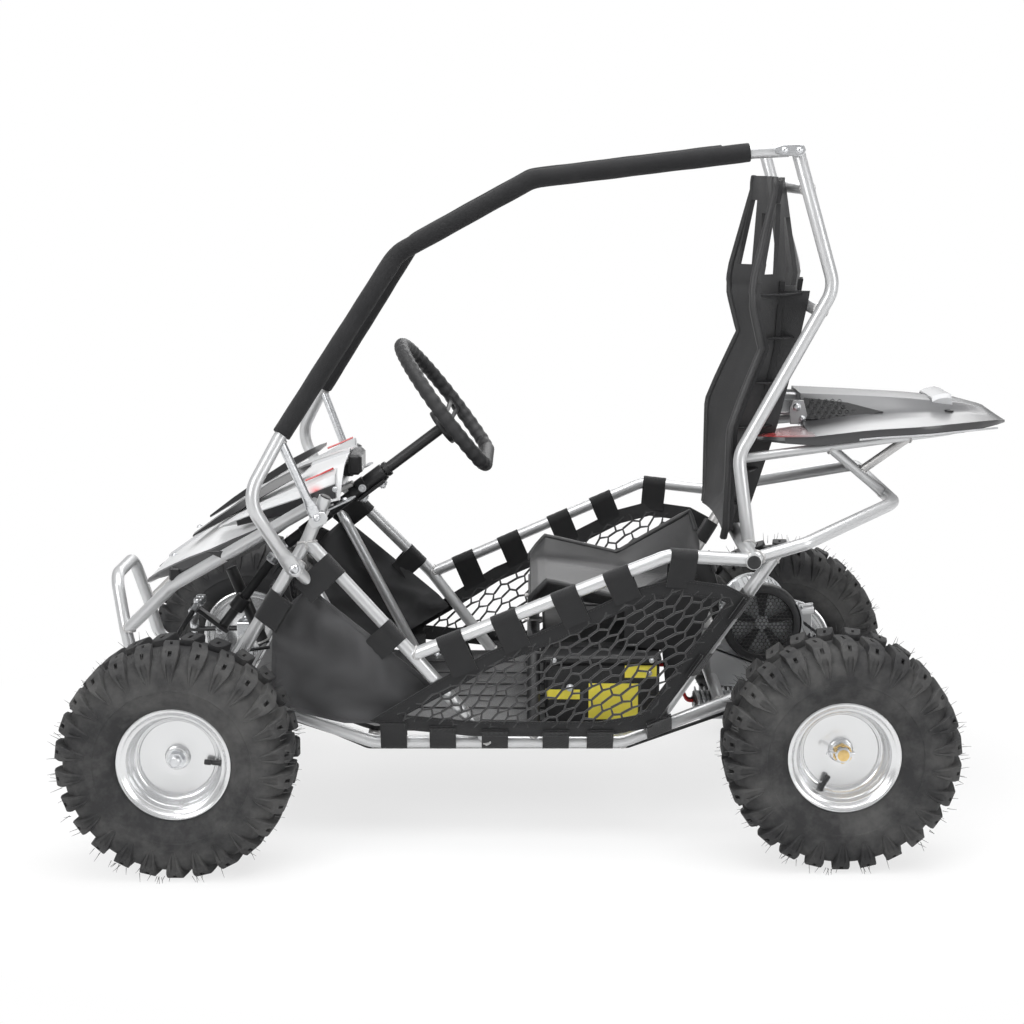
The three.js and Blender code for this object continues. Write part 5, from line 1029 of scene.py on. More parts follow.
def rollFrame():
    s = Shape()
    for side in bothSides:
        path = uprightPath(side)
        s.tube(bent(path, frameSizes["bend"]), tubeRadius, 22, rounding=1.5)
        weld(s, path[0], path[1] - path[0], (0, 1, 0), mainRadius=mainTube)
        for height in (1088, 888):
            weld(s, onUpright(height, side), (0, -side, 0), (0.1, 0, 1))
        tip = path[-1]
        s.paint("plastic").rod(tip + Vector((0.5, 0, -1.5)), tip + Vector((-0.6, 0, 2.2)), 9.6, 16, 1.2)
        s.paint("frame")
    for height in (1088, 888):
        s.tube([onUpright(height, -1), onUpright(height, 1)], tubeRadius, 20)
    # flat bar up the middle, with the stay to the tail
    a, b = Vector((400, 0, 503)), Vector((503, 0, 885))
    direction, length = (b - a).normalized(), (b - a).length
    s.plate([(-10, 0), (10, 0), (10, length), (-10, length)], a, (0, 1, 0), direction, 6, 1)
    s.box((455, -12, 716.2), (512, 12, 726.8), 1.2)
    side = direction.cross(Vector((0, 1, 0)))
    bolts(s, [(a + direction * reach - side * 3.1, -side, 7) for reach in (52, 210, 330)])
    return s.make("rollFrame", "frame", ["roll_frame"], "silver_paint")


rollFrame()

cageSizes = {"footLength": 44, "strut": 7.4, "sleeve": 15.5}


def cagePath(side):
    names = ["cageFoot", "cageElbow", "sleeveStart", "cageBrow", "cageCrown", "sleeveEnd", "cageEnd"]
    return [at(n, side) for n in names]


def flattened(s, start, direction, stations, sides):
    # A bar whose end is pressed flat: (reach, half width, half depth, place across) at each station.
    across = direction.cross(Vector((0, 1, 0))).normalized()
    out = across.cross(direction)
    s.loft([[start + direction * reach + Vector((0, shift, 0)) + across * wide * math.cos(a)
             + out * deep * math.sin(a) for a in around(sides)] for reach, wide, deep, shift in stations])


def cageBar(label, side):
    s = Shape()
    path = bent(cagePath(side), frameSizes["bend"])
    foot, elbow = at("cageFoot", side), at("cageElbow", side)
    top = foot.lerp(elbow, cageSizes["footLength"] / (foot - elbow).length)
    s.tube([top] + path[1:], tubeRadius, 22, rounding=1.5)
    # the foot lies flat against the lug
    stations = [(-2, 10.8, 10.8, 0), (6, 11.2, 10, 0.6), (16, 12.6, 6.6, 3.6), (24, 13.4, 4, 6),
                (44, 13.4, 3.3, 7.4), (51, 11.4, 3.2, 7.8), (55, 7, 3, 8)]
    flattened(s, top, (foot - top).normalized(), [(*station[:3], -side * station[3])
                                                  for station in stations], 22)
    bolts(s, [((foot.x + 1, side * 345.2, foot.z + 2), (0, side, 0), 10)], head=domeObject)
    endY = side * (228.3 + 11 + 0.3 + 3 + 1)
    s.plate([(-24, -5), (-12, -9), (14, -10), (22, -7), (25, 0), (22, 7), (14, 10), (-12, 9), (-24, 5)],
            (446.5, endY, 1149), (1, 0, 0), (0, 0, 1), 5, 1.2)
    bolts(s, [((446.5 + dx, endY + side * 2.5, 1149), (0, side, 0), 6) for dx in (-10, 14)], head=domeObject)
    strutTop, strutFoot = at("sleeveStart", side), Vector((-321.5, side * 313.5, 556))
    length, down = (strutFoot - strutTop).length, (strutFoot - strutTop).normalized()
    strut = cageSizes["strut"]
    stations = [(-length, strut, strut), (-44, strut, strut), (-34, 7.9, 6.2), (-25, 9, 3.6), (-18, 9.8, 2.6),
                (-5, 9.6, 2.5), (-1, 7.6, 2.4), (0, 5, 2)]
    flattened(s, strutTop, down, [(length + back, wide, deep, 0) for back, wide, deep in stations], 20)
    weld(s, strutTop, down, path[1] - path[0], radius=strut, mainRadius=10)
    return s.make(f"cageBar_{label}", "frame", [f"cage_bar_{label}"], "silver_paint")


pair(cageBar)


def cageSleeve(label, side):
    path = cagePath(side)
    start, brow, crown, end = path[2], path[3], path[4], path[5]
    first = start.lerp(brow, 6 / (start - brow).length)
    last = end.lerp(crown, 6 / (end - crown).length)
    line = bent([first, brow, crown, last], frameSizes["bend"])
    fine = [line[0]]
    for a, b in zip(line, line[1:]):
        steps = max(1, round((b - a).length / 14))
        fine += [a.lerp(b, k / steps) for k in range(1, steps + 1)]
    radii = [cageSizes["sleeve"] + 0.35 * math.sin(0.9 * k) * math.sin(0.37 * k + side)
             for k in range(len(fine))]
    s = Shape("foam").tube(fine, radii, 24, rounding=2.2)
    made = s.make(f"cageSleeve_{label}", "frame", [f"cage_sleeve_{label}"], "foam", 50)


pair(cageSleeve)


def tailRack():
    s = Shape()
    s.tube(bent(hoop(["tailFront", "tailEnd"]), frameSizes["tight"]), frameSizes["rack"], 20, rounding=1)
    for side in bothSides:
        front = at("tailFront", side)
        s.lathe([(0, 8), (3, 7.4), (5.4, 5.2), (6.4, 0.1)], front, front - at("tailEnd", side), 18)
        for ends in (((532, 188, 657), (640, 130, 566)), ((674, 164, 673), (590, 149, 608))):
            a, b = [Vector((x, side * y, z)) for x, y, z in ends]
            s.tube([a, b], 7.5, 16)
            weld(s, a, b - a, (1, -0.16 * side, 0.1), radius=7.5, mainRadius=8)
            weld(s, b, a - b, (0.6, side * 0.5, 0.2), radius=7.5, mainRadius=9)
        bolts(s, [((520, side * 190, 666), (0, 0, 1), 6), ((690, side * 161, 684), (0, 0, 1), 6)])
    return s.make("tailRack", "frame", ["tail_rack"], "silver_paint")


tailRack()
print("frame pieces made")

# Wheels
wheelSizes = {"frontHalfTrack": 430.5, "rearHalfTrack": 378, "lugs": 26, "hairs": 210, "hairReach": 21,
              "valve": 73}
wheelHubs = {
    "front_left": (frontX, -wheelSizes["frontHalfTrack"], "front_wheel_left"),
    "front_right": (frontX, wheelSizes["frontHalfTrack"], "front_wheel_right"),
    "rear_left": (rearX, -wheelSizes["rearHalfTrack"], "rear_drive"),
    "rear_right": (rearX, wheelSizes["rearHalfTrack"], "rear_drive"),
}
# The tread's lug, outwards from the middle: place across, radius, lean, height, half width, then the groove's
# depth and half width
lugStations = [
    (2, 188.6, 0, 12, 5, 0.05, 1.6), (5, 190, 0, 13, 10.5, 0.05, 1.6), (14, 190.2, 0, 14, 12.5, 0.05, 1.6),
    (15, 190.2, 0, 14, 12.6, 5, 1.8), (31, 190.2, 0, 14, 13, 5, 1.8), (32, 190.1, 0.05, 14, 13, 0.05, 1.8),
    (46, 189.6, 0.12, 14, 13.2, 0.05, 2), (58, 187.6, 0.35, 15, 13.4, 0.05, 2.4),
    (60.4, 186.4, 0.5, 15, 13.4, 0.05, 2.6), (61.2, 185.9, 0.55, 15, 13.4, 6, 2.6),
    (68.6, 180.2, 0.8, 15, 13, 6, 2.6), (69.4, 179.4, 0.85, 15, 13, 0.05, 2.6),
    (73.4, 174.6, 1.05, 13, 12.4, 0.05, 3.2), (75.6, 170.4, 1.2, 11, 11.4, 0.6, 4),
    (77, 166, 1.3, 9, 10, 3, 4.8), (77.8, 160, 1.4, 6, 8.4, 3, 4.4), (78.4, 153, 1.5, 4, 7, 2.2, 3.6),
    (78.2, 146, 1.57, 2.6, 5.4, 1.2, 2.4), (77.4, 139, 1.57, 1.2, 3.4, 0.05, 1.2),
]


def lugShape(side):
    s = Shape("rubber")
    rings = []
    for u, r, lean, high, half, groove, slot in lugStations:
        out = Vector((0, side * math.sin(lean), math.cos(lean)))
        skew = -7 + 0.16 * min(u, 50)
        top = Vector((skew, side * u, r))
        cut = min(1.1, 0.25 * half)
        section = [(-half - 1.2, -high), (-half, -cut), (-half + cut, 0), (-slot - 0.4, 0),
                   (-slot, -groove), (slot, -groove), (slot + 0.4, 0), (half - cut, 0), (half, -cut),
                   (half + 1.2, -high)]
        rings.append([top + Vector((a, 0, 0)) + out * b for a, b in section])
    return s.loft(rings)


lugObjects = {side: scratchObject(lugShape(side)) for side in bothSides}
# Half of the tyre's section from the bead to the middle of the tread, as (across, radius)
carcass = [
    (48.6, 78.4), (50.6, 86), (54.4, 91.8), (59.4, 92.6), (63.4, 95.6), (68, 101), (71.4, 107.6),
    (73.4, 114), (74.6, 120), (75.4, 124), (76.2, 124.6), (76.6, 126), (76.2, 127.2), (76.6, 134),
    (76.4, 144), (75.4, 152), (72.4, 161), (66, 169.6), (57, 175), (44, 178.6), (20, 179.4), (0, 179.6),
]


def tyre(where):
    x, y, body = wheelHubs[where]
    side = 1 if y > 0 else -1
    s = Shape("rubber")
    profile = carcass + [(-u, r) for u, r in carcass[-2::-1]]
    s.lathe(profile, (0, 0, 0), (0, 1, 0), 104, True)
    for edge, phase in ((side, 0.0), (-side, 0.5)):
        ringed(s, lugObjects[edge], "rubber", wheelSizes["lugs"], phase)
    hairs = hairLayout.run([(0, 0, 0)], Count=wheelSizes["hairs"], Seed=11 + len(where) + int(x > 0),
                           Radius=181.0, Reach=wheelSizes["hairReach"], Across=66.0, Finish=finish["hair"])
    s.absorb(hairs)
    s.moved(Matrix.Translation((x, y, axleHeight)))
    return s.make(f"tyre_{where}_moulded", body, [f"tyre_{where}"], "tyre_rubber", 32)


# The rim's section as (across, radius): the face's side from the flange to the hub, then the back of it
rimOuter = [
    (53.2, 86.8), (54.6, 90.4), (56.8, 92), (58.6, 91), (59.2, 88.8), (58.4, 86.4), (56, 83.8),
    (53.6, 81.4), (52.4, 79.4), (51.4, 77.8), (51.4, 76.6), (49.6, 75.6), (44, 75.2), (39, 74.8),
    (37.4, 73.4), (36, 72.6), (30, 72.2), (25.4, 70.6), (22, 67.8), (20.4, 66.2), (19.8, 64.8),
    (20.2, 63.6), (19.8, 62.4), (18, 61.6), (16.4, 60.2), (15.8, 57), (14.6, 46), (12.6, 32), (12.2, 24),
    (12.8, 20.8), (14.2, 19.6), (16.4, 18.8), (23.6, 18.2), (24.5, 17.4), (24.6, 9.6),
]
rimInner = [
    (-24, 9.6), (-24, 20), (-6, 22.6), (3, 24), (5, 36), (5.4, 49), (9, 56), (9.8, 64), (9.6, 69),
    (-20, 71.2), (-49.6, 73), (-52.4, 79), (-54.8, 83.4), (-58, 85.4), (-59.2, 88.4), (-58.4, 90.8),
    (-56.8, 91.6), (-54.6, 90.4), (-53.2, 86.8), (-52.4, 77), (-40, 76.6), (0, 76.6), (40, 76.6),
    (51, 77.6), (52.4, 82),
]


def rim(where, valveAngle):
    x, y, body = wheelHubs[where]
    side = 1 if y > 0 else -1
    s = Shape("rim")
    s.lathe(rimOuter + rimInner, (0, 0, 0), (0, side, 0), 96, True)
    for a in around(4, 0.5):
        s.lathe([(0, 4.4), (0.6, 4.6), (1, 4), (1, 0.1)], outward(a, 63, side * 14.6), (0, side, 0), 12)
    s.paint("plastic")
    base = outward(valveAngle, wheelSizes["valve"], side * 24)
    stem = outward(valveAngle, -1, side * 0.06)
    s.lathe([(0, 6.4), (2, 6.2), (5, 4.4), (16, 4), (17, 3.2), (17.6, 3.2)], base, stem, 16)
    s.lathe([(17.4, 3.6), (18, 4.6), (27, 4.6), (28.6, 3.8), (29, 0.1)], base, stem, 16)
    s.moved(Matrix.Translation((x, y, axleHeight)))
    return s.make(f"rim_{where}_pressed", body, [f"rim_{where}"], "silver_paint", 30)


finish["hair"] = moulded("moulding", (0.04, 0.04, 0.04), (0.075, 0.075, 0.075), 0.6, 1500, 0.0001)
for where in wheelHubs:
    tyre(where)
for where in wheelHubs:
    rim(where, -0.1 if where.startswith("front") else math.radians(243))
print("wheels made")

# Front axle beam, knuckles and spindles
axleSizes = {"beamHalf": 311, "beam": 14, "pinHalf": 335.5, "yokeHalf": 40, "arm": (102, 10, 23)}


def axleBeam():
    s = Shape("frame")
    half, pinHalf, beam = axleSizes["yokeHalf"], axleSizes["pinHalf"], axleSizes["beam"]
    s.tube([(frontX, side * axleSizes["beamHalf"], axleHeight) for side in bothSides], beam, 26)
    s.paint("blackSteel")
    for side in bothSides:
        pin = Vector((frontX, side * pinHalf, axleHeight))
        yoke = [(-15, -half), (15, -half), (15, half), (-15, half)]
        s.plate(yoke, (frontX, side * (pinHalf - 25), axleHeight), (1, 0, 0), (0, 0, 1), 6, 1.2)
        for level in (3 - half, half - 3):
            outline = [(-15, -26), (15, -26), (15, 4), (10.6, 11), (0, 14.4), (-10.6, 11), (-15, 4)]
            s.plate([(a, side * b) for a, b in outline], (pin.x, pin.y, pin.z + level), (1, 0, 0),
                    (0, 1, 0), 6, 1.2)
        weld(s, (frontX, side * 307, axleHeight), (0, -side, 0), radius=beam)
        bolts(s, [((pin.x, pin.y, pin.z + end * half), (0, 0, end), 10) for end in (1, -1)])
    return s.make("axleBeam", "frame", ["front_axle_beam"], "silver_paint")


def knuckle(label, side):
    s = Shape("blackSteel")
    pin = Vector((frontX, side * axleSizes["pinHalf"], axleHeight))
    s.lathe([(-33.5, 6.6), (-33.5, 12), (-32.5, 13), (32.5, 13), (33.5, 12), (33.5, 6.6)], pin, (0, 0, 1),
            28, True)
    s.lathe([(6, 13), (20, 11.6), (30, 10.4), (34, 7.9)], pin, (0, side, 0), 24)
    back, inward, rise = axleSizes["arm"]
    tip, root = pin + Vector((-back, -side * inward, rise)), pin + Vector((0, 0, rise))
    run = tip - root
    across = Vector((0, 0, 1)).cross(run).normalized()
    reach = run.length
    outline = [(0, -12), (reach - 30, -9), (reach - 5, -9), (reach + 4, -5), (reach + 6, 0), (reach + 4, 5),
               (reach - 5, 9), (reach - 30, 9), (0, 12)]
    s.plate(outline, root, run.normalized(), across, 6, 1.1)
    s.paint("zinc")
    out = Vector((0, side, 0))
    hub = Vector((frontX, side * wheelSizes["frontHalfTrack"], axleHeight))
    s.lathe([(34, 7.8), (120, 7.8), (140, 7.8)], pin, out, 24)
    thread = [(38 + k * 0.5, 7.9 if k % 2 else 7.2) for k in range(17)]
    s.lathe([(37.6, 7.4)] + thread + [(46.4, 6.8), (46.8, 0.1)], hub, out, 24)
    s.lathe([(24.7, 15.5), (24.7, 15.6), (26.4, 15.6), (26.9, 15)], hub, out, 32)
    s.lathe([(26.4, 12.2), (27.4, 13.2), (36.8, 13.2), (37.8, 12.1)], hub, out, 6, phase=0.5)
    s.lathe([(37.7, 9.6), (38.3, 9.4), (38.3, 7.4)], hub, out, 24)
    bolts(s, [(tip + Vector((0, 0, end * 3)), (0, 0, end), 8) for end in (1, -1)])
    return s.make(f"steeringKnuckle_{label}", f"knuckle_body_{label}", [f"knuckle_{label}"], "black_steel",
                  34)


axleBeam()
pair(knuckle)

# Rear axle with its castle nuts, disc, sprocket, pinion and chain
driveSizes = {
    "axle": 12.45, "axleHalf": 424, "chainY": 110, "sprocketTeeth": 47, "pinionTeeth": 14,
    "chainOnSprocket": 77.6, "chainOnPinion": 24.6, "motor": (438, 0, 330.015), "discY": -190,
}
motorCentre = Vector(driveSizes["motor"])


def toothShape(root, tip, width, wide):
    s = Shape("darkSteel")
    rings = []
    for y in (-wide / 2, wide / 2):
        rings.append([Vector((-width / 2, y, root - 2)), Vector((-width / 2, y, root)),
                      Vector((-width / 5, y * 0.7, tip)), Vector((width / 5, y * 0.7, tip)),
                      Vector((width / 2, y, root)), Vector((width / 2, y, root - 2))])
    return scratchObject(s.loft(rings))


def rearAxle():
    s = Shape("zinc")
    shaft = [(rearX, side * driveSizes["axleHalf"], axleHeight) for side in bothSides]
    s.tube(shaft, driveSizes["axle"], 28, rounding=1.5)
    for side in bothSides:
        base = Vector((rearX, side * wheelSizes["rearHalfTrack"], axleHeight))
        out = Vector((0, side, 0))
        s.paint("zinc").lathe([(24.8, 17), (26.4, 17), (26.8, 16.4), (26.8, 13)], base, out, 32)
        s.paint("goldZinc").lathe([(26.6, 15), (27.4, 16), (33, 16), (34, 15), (34, 12.6)], base, out, 6)
        for a in around(6, 0.5):
            crown = [(12.6, -3.2), (15, -2.8), (15, 2.8), (12.6, 3.2)]
            s.plate(crown, base + out * 37, outward(a), outward(a + math.pi / 2), 7, 0.6)
        s.paint("zinc")
        # split pin through the castle nut
        for a, b, radius in (((-25, 38, 4), (19, 38, 1), 1.5), ((-25, 38, 4), (-26, 37, -1), 1.5),
                             ((18, 38, 1), (17, 34, 7), 1.1)):
            s.rod(base + Vector((a[0], side * a[1], a[2])), base + Vector((b[0], side * b[1], b[2])),
                  radius, 8)
        s.paint("goldZinc").lathe([(43.4, 12), (45.4, 11.6), (46.2, 9), (46.4, 0.1)], base, out, 20)
    return s.make("rearAxleShaft", "rear_drive", ["rear_axle"], "zinc")


def brakeDisc():
    s = Shape("disc")
    hub = Vector((rearX, driveSizes["discY"], axleHeight))
    s.lathe([(-2, 46), (-2, 79), (-1.4, 80), (1.4, 80), (2, 79), (2, 46)], hub, (0, 1, 0), 72, True)
    s.paint("darkSteel")
    carrier = [(-10, 13), (-10, 22), (-8, 24), (-3.4, 24), (-2.4, 47), (2.4, 47), (3.4, 24), (8, 24),
               (10, 22), (10, 13)]
    s.lathe(carrier, hub, (0, 1, 0), 36, True)
    bolts(s, [(hub + outward(a, 34, -2.6), (0, -1, 0), 5.5) for a in around(5)])
    s.paint("plastic")
    for k, a in enumerate(around(30)):
        for face in bothSides:
            spot = hub + outward(a, (56, 63, 70)[k % 3], face * 2.0)
            s.lathe([(0, 2.7), (0.12, 2.5), (0.12, 0.1)], spot, (0, face, 0), 8)
    return s.make("brakeDisc", "rear_drive", ["brake_disc"], "zinc")


def sprocket():
    s = Shape("darkSteel")
    s.lathe([(-2.5, 50), (-2.5, 69), (2.5, 69), (2.5, 50)], (0, 0, 0), (0, 1, 0), 72, True)
    ringed(s, toothShape(68.6, 74.6, 6.4, 4.6), "darkSteel", driveSizes["sprocketTeeth"])
    s.paint("blackSteel")
    for a in around(5):
        spoke = [(20, -11), (52, -8), (52, 8), (20, 11)]
        s.plate(spoke, (0, 0, 0), outward(a), outward(a + math.pi / 2), 5, 1)
        bolts(s, [(outward(a, 53, face * 2.6), (0, face, 0), 5) for face in bothSides])
    s.paint("blackSteel")
    s.lathe([(-10, 13), (-10, 22), (-8, 24), (8, 24), (10, 22), (10, 13)], (0, 0, 0), (0, 1, 0), 36, True)
    s.moved(Matrix.Translation((rearX, driveSizes["chainY"], axleHeight)))
    return s.make("rearSprocket", "rear_drive", ["rear_sprocket"], "black_steel")


def pinion():
    s = Shape("darkSteel")
    s.lathe([(-2.5, 6.2), (-2.5, 18), (2.5, 18), (2.5, 6.2)], (0, 0, 0), (0, 1, 0), 40, True)
    s.lathe([(-10, 6.2), (-10, 10), (-9, 11), (9, 11), (10, 10), (10, 6.2)], (0, 0, 0), (0, 1, 0), 28, True)
    ringed(s, toothShape(17.4, 21.8, 5.6, 4.6), "darkSteel", driveSizes["pinionTeeth"])
    s.moved(Matrix.Translation(motorCentre + Vector((0, driveSizes["chainY"], 0))))
    return s.make("motorPinion", "pinion_body", ["motor_pinion"], "black_steel")


def chainLoop():
    # Round the pinion, then round the sprocket.
    radiusNear, radiusFar, steps = driveSizes["chainOnPinion"], driveSizes["chainOnSprocket"], 24
    shift = Vector((0, driveSizes["chainY"], 0))
    near, far = motorCentre + shift, Vector((rearX, 0, axleHeight)) + shift
    gap = far - near
    between = math.atan2(gap.z, gap.x)
    lean = math.acos((radiusNear - radiusFar) / gap.length)
    loop = []
    for k in range(steps + 1):
        a = between + lean + 2 * (math.pi - lean) * k / steps
        loop.append(near + outward(a, radiusNear))
    for k in range(2 * steps + 1):
        a = between - lean + lean * k / steps
        loop.append(far + outward(a, radiusFar))
    return loop


def chain():
    link = Shape("darkSteel")
    for y in (-3.9, 3.9):
        link.plate([(-5.4, -1), (-4.4, -2.5), (-2, -2.4), (0, -1.8), (2, -2.4), (4.4, -2.5), (5.4, -1),
                    (5.4, 1), (4.4, 2.5), (2, 2.4), (0, 1.8), (-2, 2.4), (-4.4, 2.5), (-5.4, 1)], (0, y, 0),
                   (1, 0, 0), (0, 0, 1), 1.1, 0.2)
    for x in (-4, 4):
        link.rod((x, -4.4, 0), (x, 4.4, 0), 1.9, 8, 0.3)
    s = laid(Shape("darkSteel"), chainLoop(), scratchObject(link), "darkSteel", 8.1)
    return s.make("driveChain", "frame", ["chain"], "black_steel")


def caliper():
    s = Shape("cast")
    y = driveSizes["discY"]
    for side in bothSides:
        inner, outer = y + side * 3.2, y + side * 19
        s.box((506, min(inner, outer), 236), (562, max(inner, outer), 276), 3)
    s.box((508, y - 16, 272.4), (560, y + 16, 284), 3)
    s.paint("cast").box((507, -219.5, 244.4), (561, y - 17, 261.8), 2)
    for x in (521, 547):
        s.lathe([(0, 10), (4, 9.6), (5.6, 8), (5.8, 0.1)], (x, y + 19, 256), (0, 1, 0), 22)
        s.lathe([(0, 10), (1.6, 9.6), (2.4, 8), (2.6, 0.1)], (x, y - 19, 256), (0, -1, 0), 22)
    bolts(s, [((514, y, 284), (0, 0, 1), 5), ((554, y, 284), (0, 0, 1), 5)])
    s.paint("plastic").lathe([(0, 4), (3, 3.2), (6, 2.6), (6.4, 0.1)], (534, y + 19, 243), (0, 1, 0), 12)
    return s.make("brakeCaliper", "frame", ["brake_caliper"], "black_steel")


rearAxle()
brakeDisc()
sprocket()
pinion()
chain()
caliper()

# Motor on its mount, under a cowl with a mesh window
motorSizes = {"fins": 40, "window": 55, "meshCell": 7.0, "meshWire": 0.85}


def motor():
    s = Shape("cast")
    s.lathe([(-79.6, 30), (-79.6, 60), (-70, 61.6), (-66, 61.6), (-64, 58.4), (34, 58.4), (36, 61.6),
             (44, 61.6), (52, 58), (59.6, 40), (59.6, 13)], (0, 0, 0), (0, 1, 0), 64)
    fin = scratchObject(Shape("cast").box((-1.0, -62, 57.6), (1.0, 32, 61.4), 0.5))
    ringed(s, fin, "cast", motorSizes["fins"], 0.5)
    s.paint("darkSteel").rod((0, 58, 0), (0, 120.5, 0), 5.8, 18)
    bolts(s, [(outward(a, 48, 52), (0, 1, 0), 5) for a in around(4, 0.5)])
    s.moved(Matrix.Translation(motorCentre))
    return s.make("driveMotor", "frame", ["motor"], "cast_alloy")


def cowlMesh(s, centre):
    # Hexagon wires over the cowl's round window.
    radius, cell = motorSizes["window"], motorSizes["meshCell"]
    points, edges, index = [], [], {}

    def corner(px, pz):
        key = (round(px, 1), round(pz, 1))
        if key not in index:
            index[key] = len(points)
            points.append(centre + Vector((px, 0, pz)))
        return index[key]

    rows = int(radius / (cell * 0.75)) + 2
    for row in range(-rows, rows + 1):
        for column in range(-rows, rows + 1):
            cx = column * cell * math.sqrt(3) / 2 * 1.155 + (row % 2) * cell * 0.5
            cz = row * cell * 0.866
            ring = [(cx + cell * 0.577 * math.cos(a), cz + cell * 0.577 * math.sin(a))
                    for a in around(6, 0.5)]
            for p, q in zip(ring, ring[1:] + ring[:1]):
                if math.hypot(*p) < radius and math.hypot(*q) < radius:
                    edge = tuple(sorted((corner(*p), corner(*q))))
                    if edge[0] != edge[1] and edge not in edges:
                        edges.append(edge)
    return s.absorb(cordLayout.run(points, edges, Radius=motorSizes["meshWire"], Finish=finish["plastic"]))


def cowl():
    s = Shape("plastic")
    centre = motorCentre
    s.lathe([(-80.6, 62), (-80.6, 70), (-84, 70.4), (-98, 69.6), (-103.6, 66), (-105.3, 60), (-105.3, 56),
             (-103, 54.2), (-99, 54), (-99, 58), (-90, 62)], centre, (0, 1, 0), 72, True)
    cowlMesh(s, centre + Vector((0, -101.6, 0)))
    s.paint("blackSteel")
    for a in around(5, 0.25):
        vane = [(9, -4), (30, -7), (55, -11), (58, -6), (58, 6), (55, 11), (30, 7), (9, 4)]
        s.plate(vane, centre + Vector((0, -95, 0)), outward(a), outward(a + math.pi / 2), 3, 0.8)
    s.paint("cast")
    s.lathe([(-97, 0.1), (-97, 12), (-93, 13.4), (-81, 13.4), (-81, 0.1)], centre, (0, 1, 0), 28)
    # bright brackets that clasp the cowl's rim
    for low, high in ((96, 168), (-38, 30)):
        rings = []
        for k in range(13):
            a = math.radians(low + (high - low) * k / 12)
            corners = ((69.6, -102), (72.4, -102), (72.4, -86), (69.6, -86))
            rings.append([centre + outward(a, r, y) for r, y in corners])
        s.loft(rings)
    bolts(s, [(centre + outward(a, 73, -94), outward(a), 5)
              for a in (math.radians(degrees) for degrees in (104, 160, -30, 22))])
    return s.make("motorCowl", "frame", ["motor_cowl"], "black_plastic", 30)


def motorMount():
    s = Shape("frame")
    rows = [[(x, y, z) for y in (-90, -30, 30, 70)]
            for x, z in ((345, 288), (384, 274), (423, 260), (462, 246))]
    s.sheet(rows, -4, (0.34, 0, 0.94))
    for y in (-88, 68):
        s.plate([(345, 288), (462, 246), (462, 208), (352, 216)], (0, y, 0), (1, 0, 0), (0, 0, 1), 4, 0.8)
    s.tube([(352.5, side * 245, 226.8) for side in bothSides], tubeRadius, 20)
    for side in bothSides:
        weld(s, (352.5, side * 249.4, 226.8), (0, -side, 0), (0.86, 0, 0.3))
    bolts(s, [((x, y, 292.5 - 0.36 * (x - 345)), (0.34, 0, 0.94), 7) for x in (366, 440) for y in (-70, 50)])
    return s.make("motorMount", "frame", ["motor_mount"], "silver_paint")


def controller():
    s = Shape("cast")
    low, high = Vector((318, -190, 179.5)), Vector((408, -95, 215.5))
    s.box(low + Vector((0, 0, 2)), high - Vector((0, 0, 8)), 2)
    fin = scratchObject(Shape("cast").box((-1.2, -46, -4), (1.2, 46, 4), 0.5))
    laid(s, [(322, -142.5, 210.8), (406.6, -142.5, 210.8)], fin, "cast", 8.4)
    s.paint("plastic").box((316.6, -180, 184), (319.6, -108, 206), 1)
    bolts(s, [((318, y, z), (-1, 0, 0), 4) for y, z in ((-172, 200), (-116, 200))])
    return s.make("motorController", "frame", ["controller"], "black_plastic")


motor()
cowl()
motorMount()
controller()
print("drive made")

# Seat
seatSizes = {
    "back": [(1105, 450, 431, 151), (1094, 452, 430, 156), (1080, 455, 430, 158), (945, 490, 397, 185),
             (904, 484, 391, 190), (821, 470, 412, 174), (693, 436, 359, 205), (600, 408, 358, 200),
             (520, 384, 357, 190), (497, 366, 354, 180)],
    "base": [(28, 341, 341, 150), (31, 386, 398, 185), (44, 391, 414, 196), (59, 393, 430, 200),
             (195, 375, 398, 200), (240, 370, 425, 200), (332, 367, 479, 200), (350, 374, 424, 180)],
    "backThickness": 8, "baseThickness": 6,
}
crossShares = [(0, 0), (0.25, 0.02), (0.5, 0.12), (0.7, 0.33), (0.85, 0.6), (0.94, 0.84), (1, 1)]


def share(t, table):
    # How much of the edge's shape is reached at t of the way out.
    t = abs(t)
    for (a, va), (b, vb) in zip(table, table[1:]):
        if t <= b:
            return va + (vb - va) * (t - a) / (b - a)
    return table[-1][1]


def between(rows, steps):
    # Adds rows between the given ones, easing from each to the next.
    made = []
    for row, after in zip(rows, rows[1:]):
        for k in range(steps):
            t = k / steps
            ease = 0.65 * t + 0.35 * t * t * (3 - 2 * t)
            made.append(tuple(a + (b - a) * ease for a, b in zip(row, after)))
    return made + [rows[-1]]


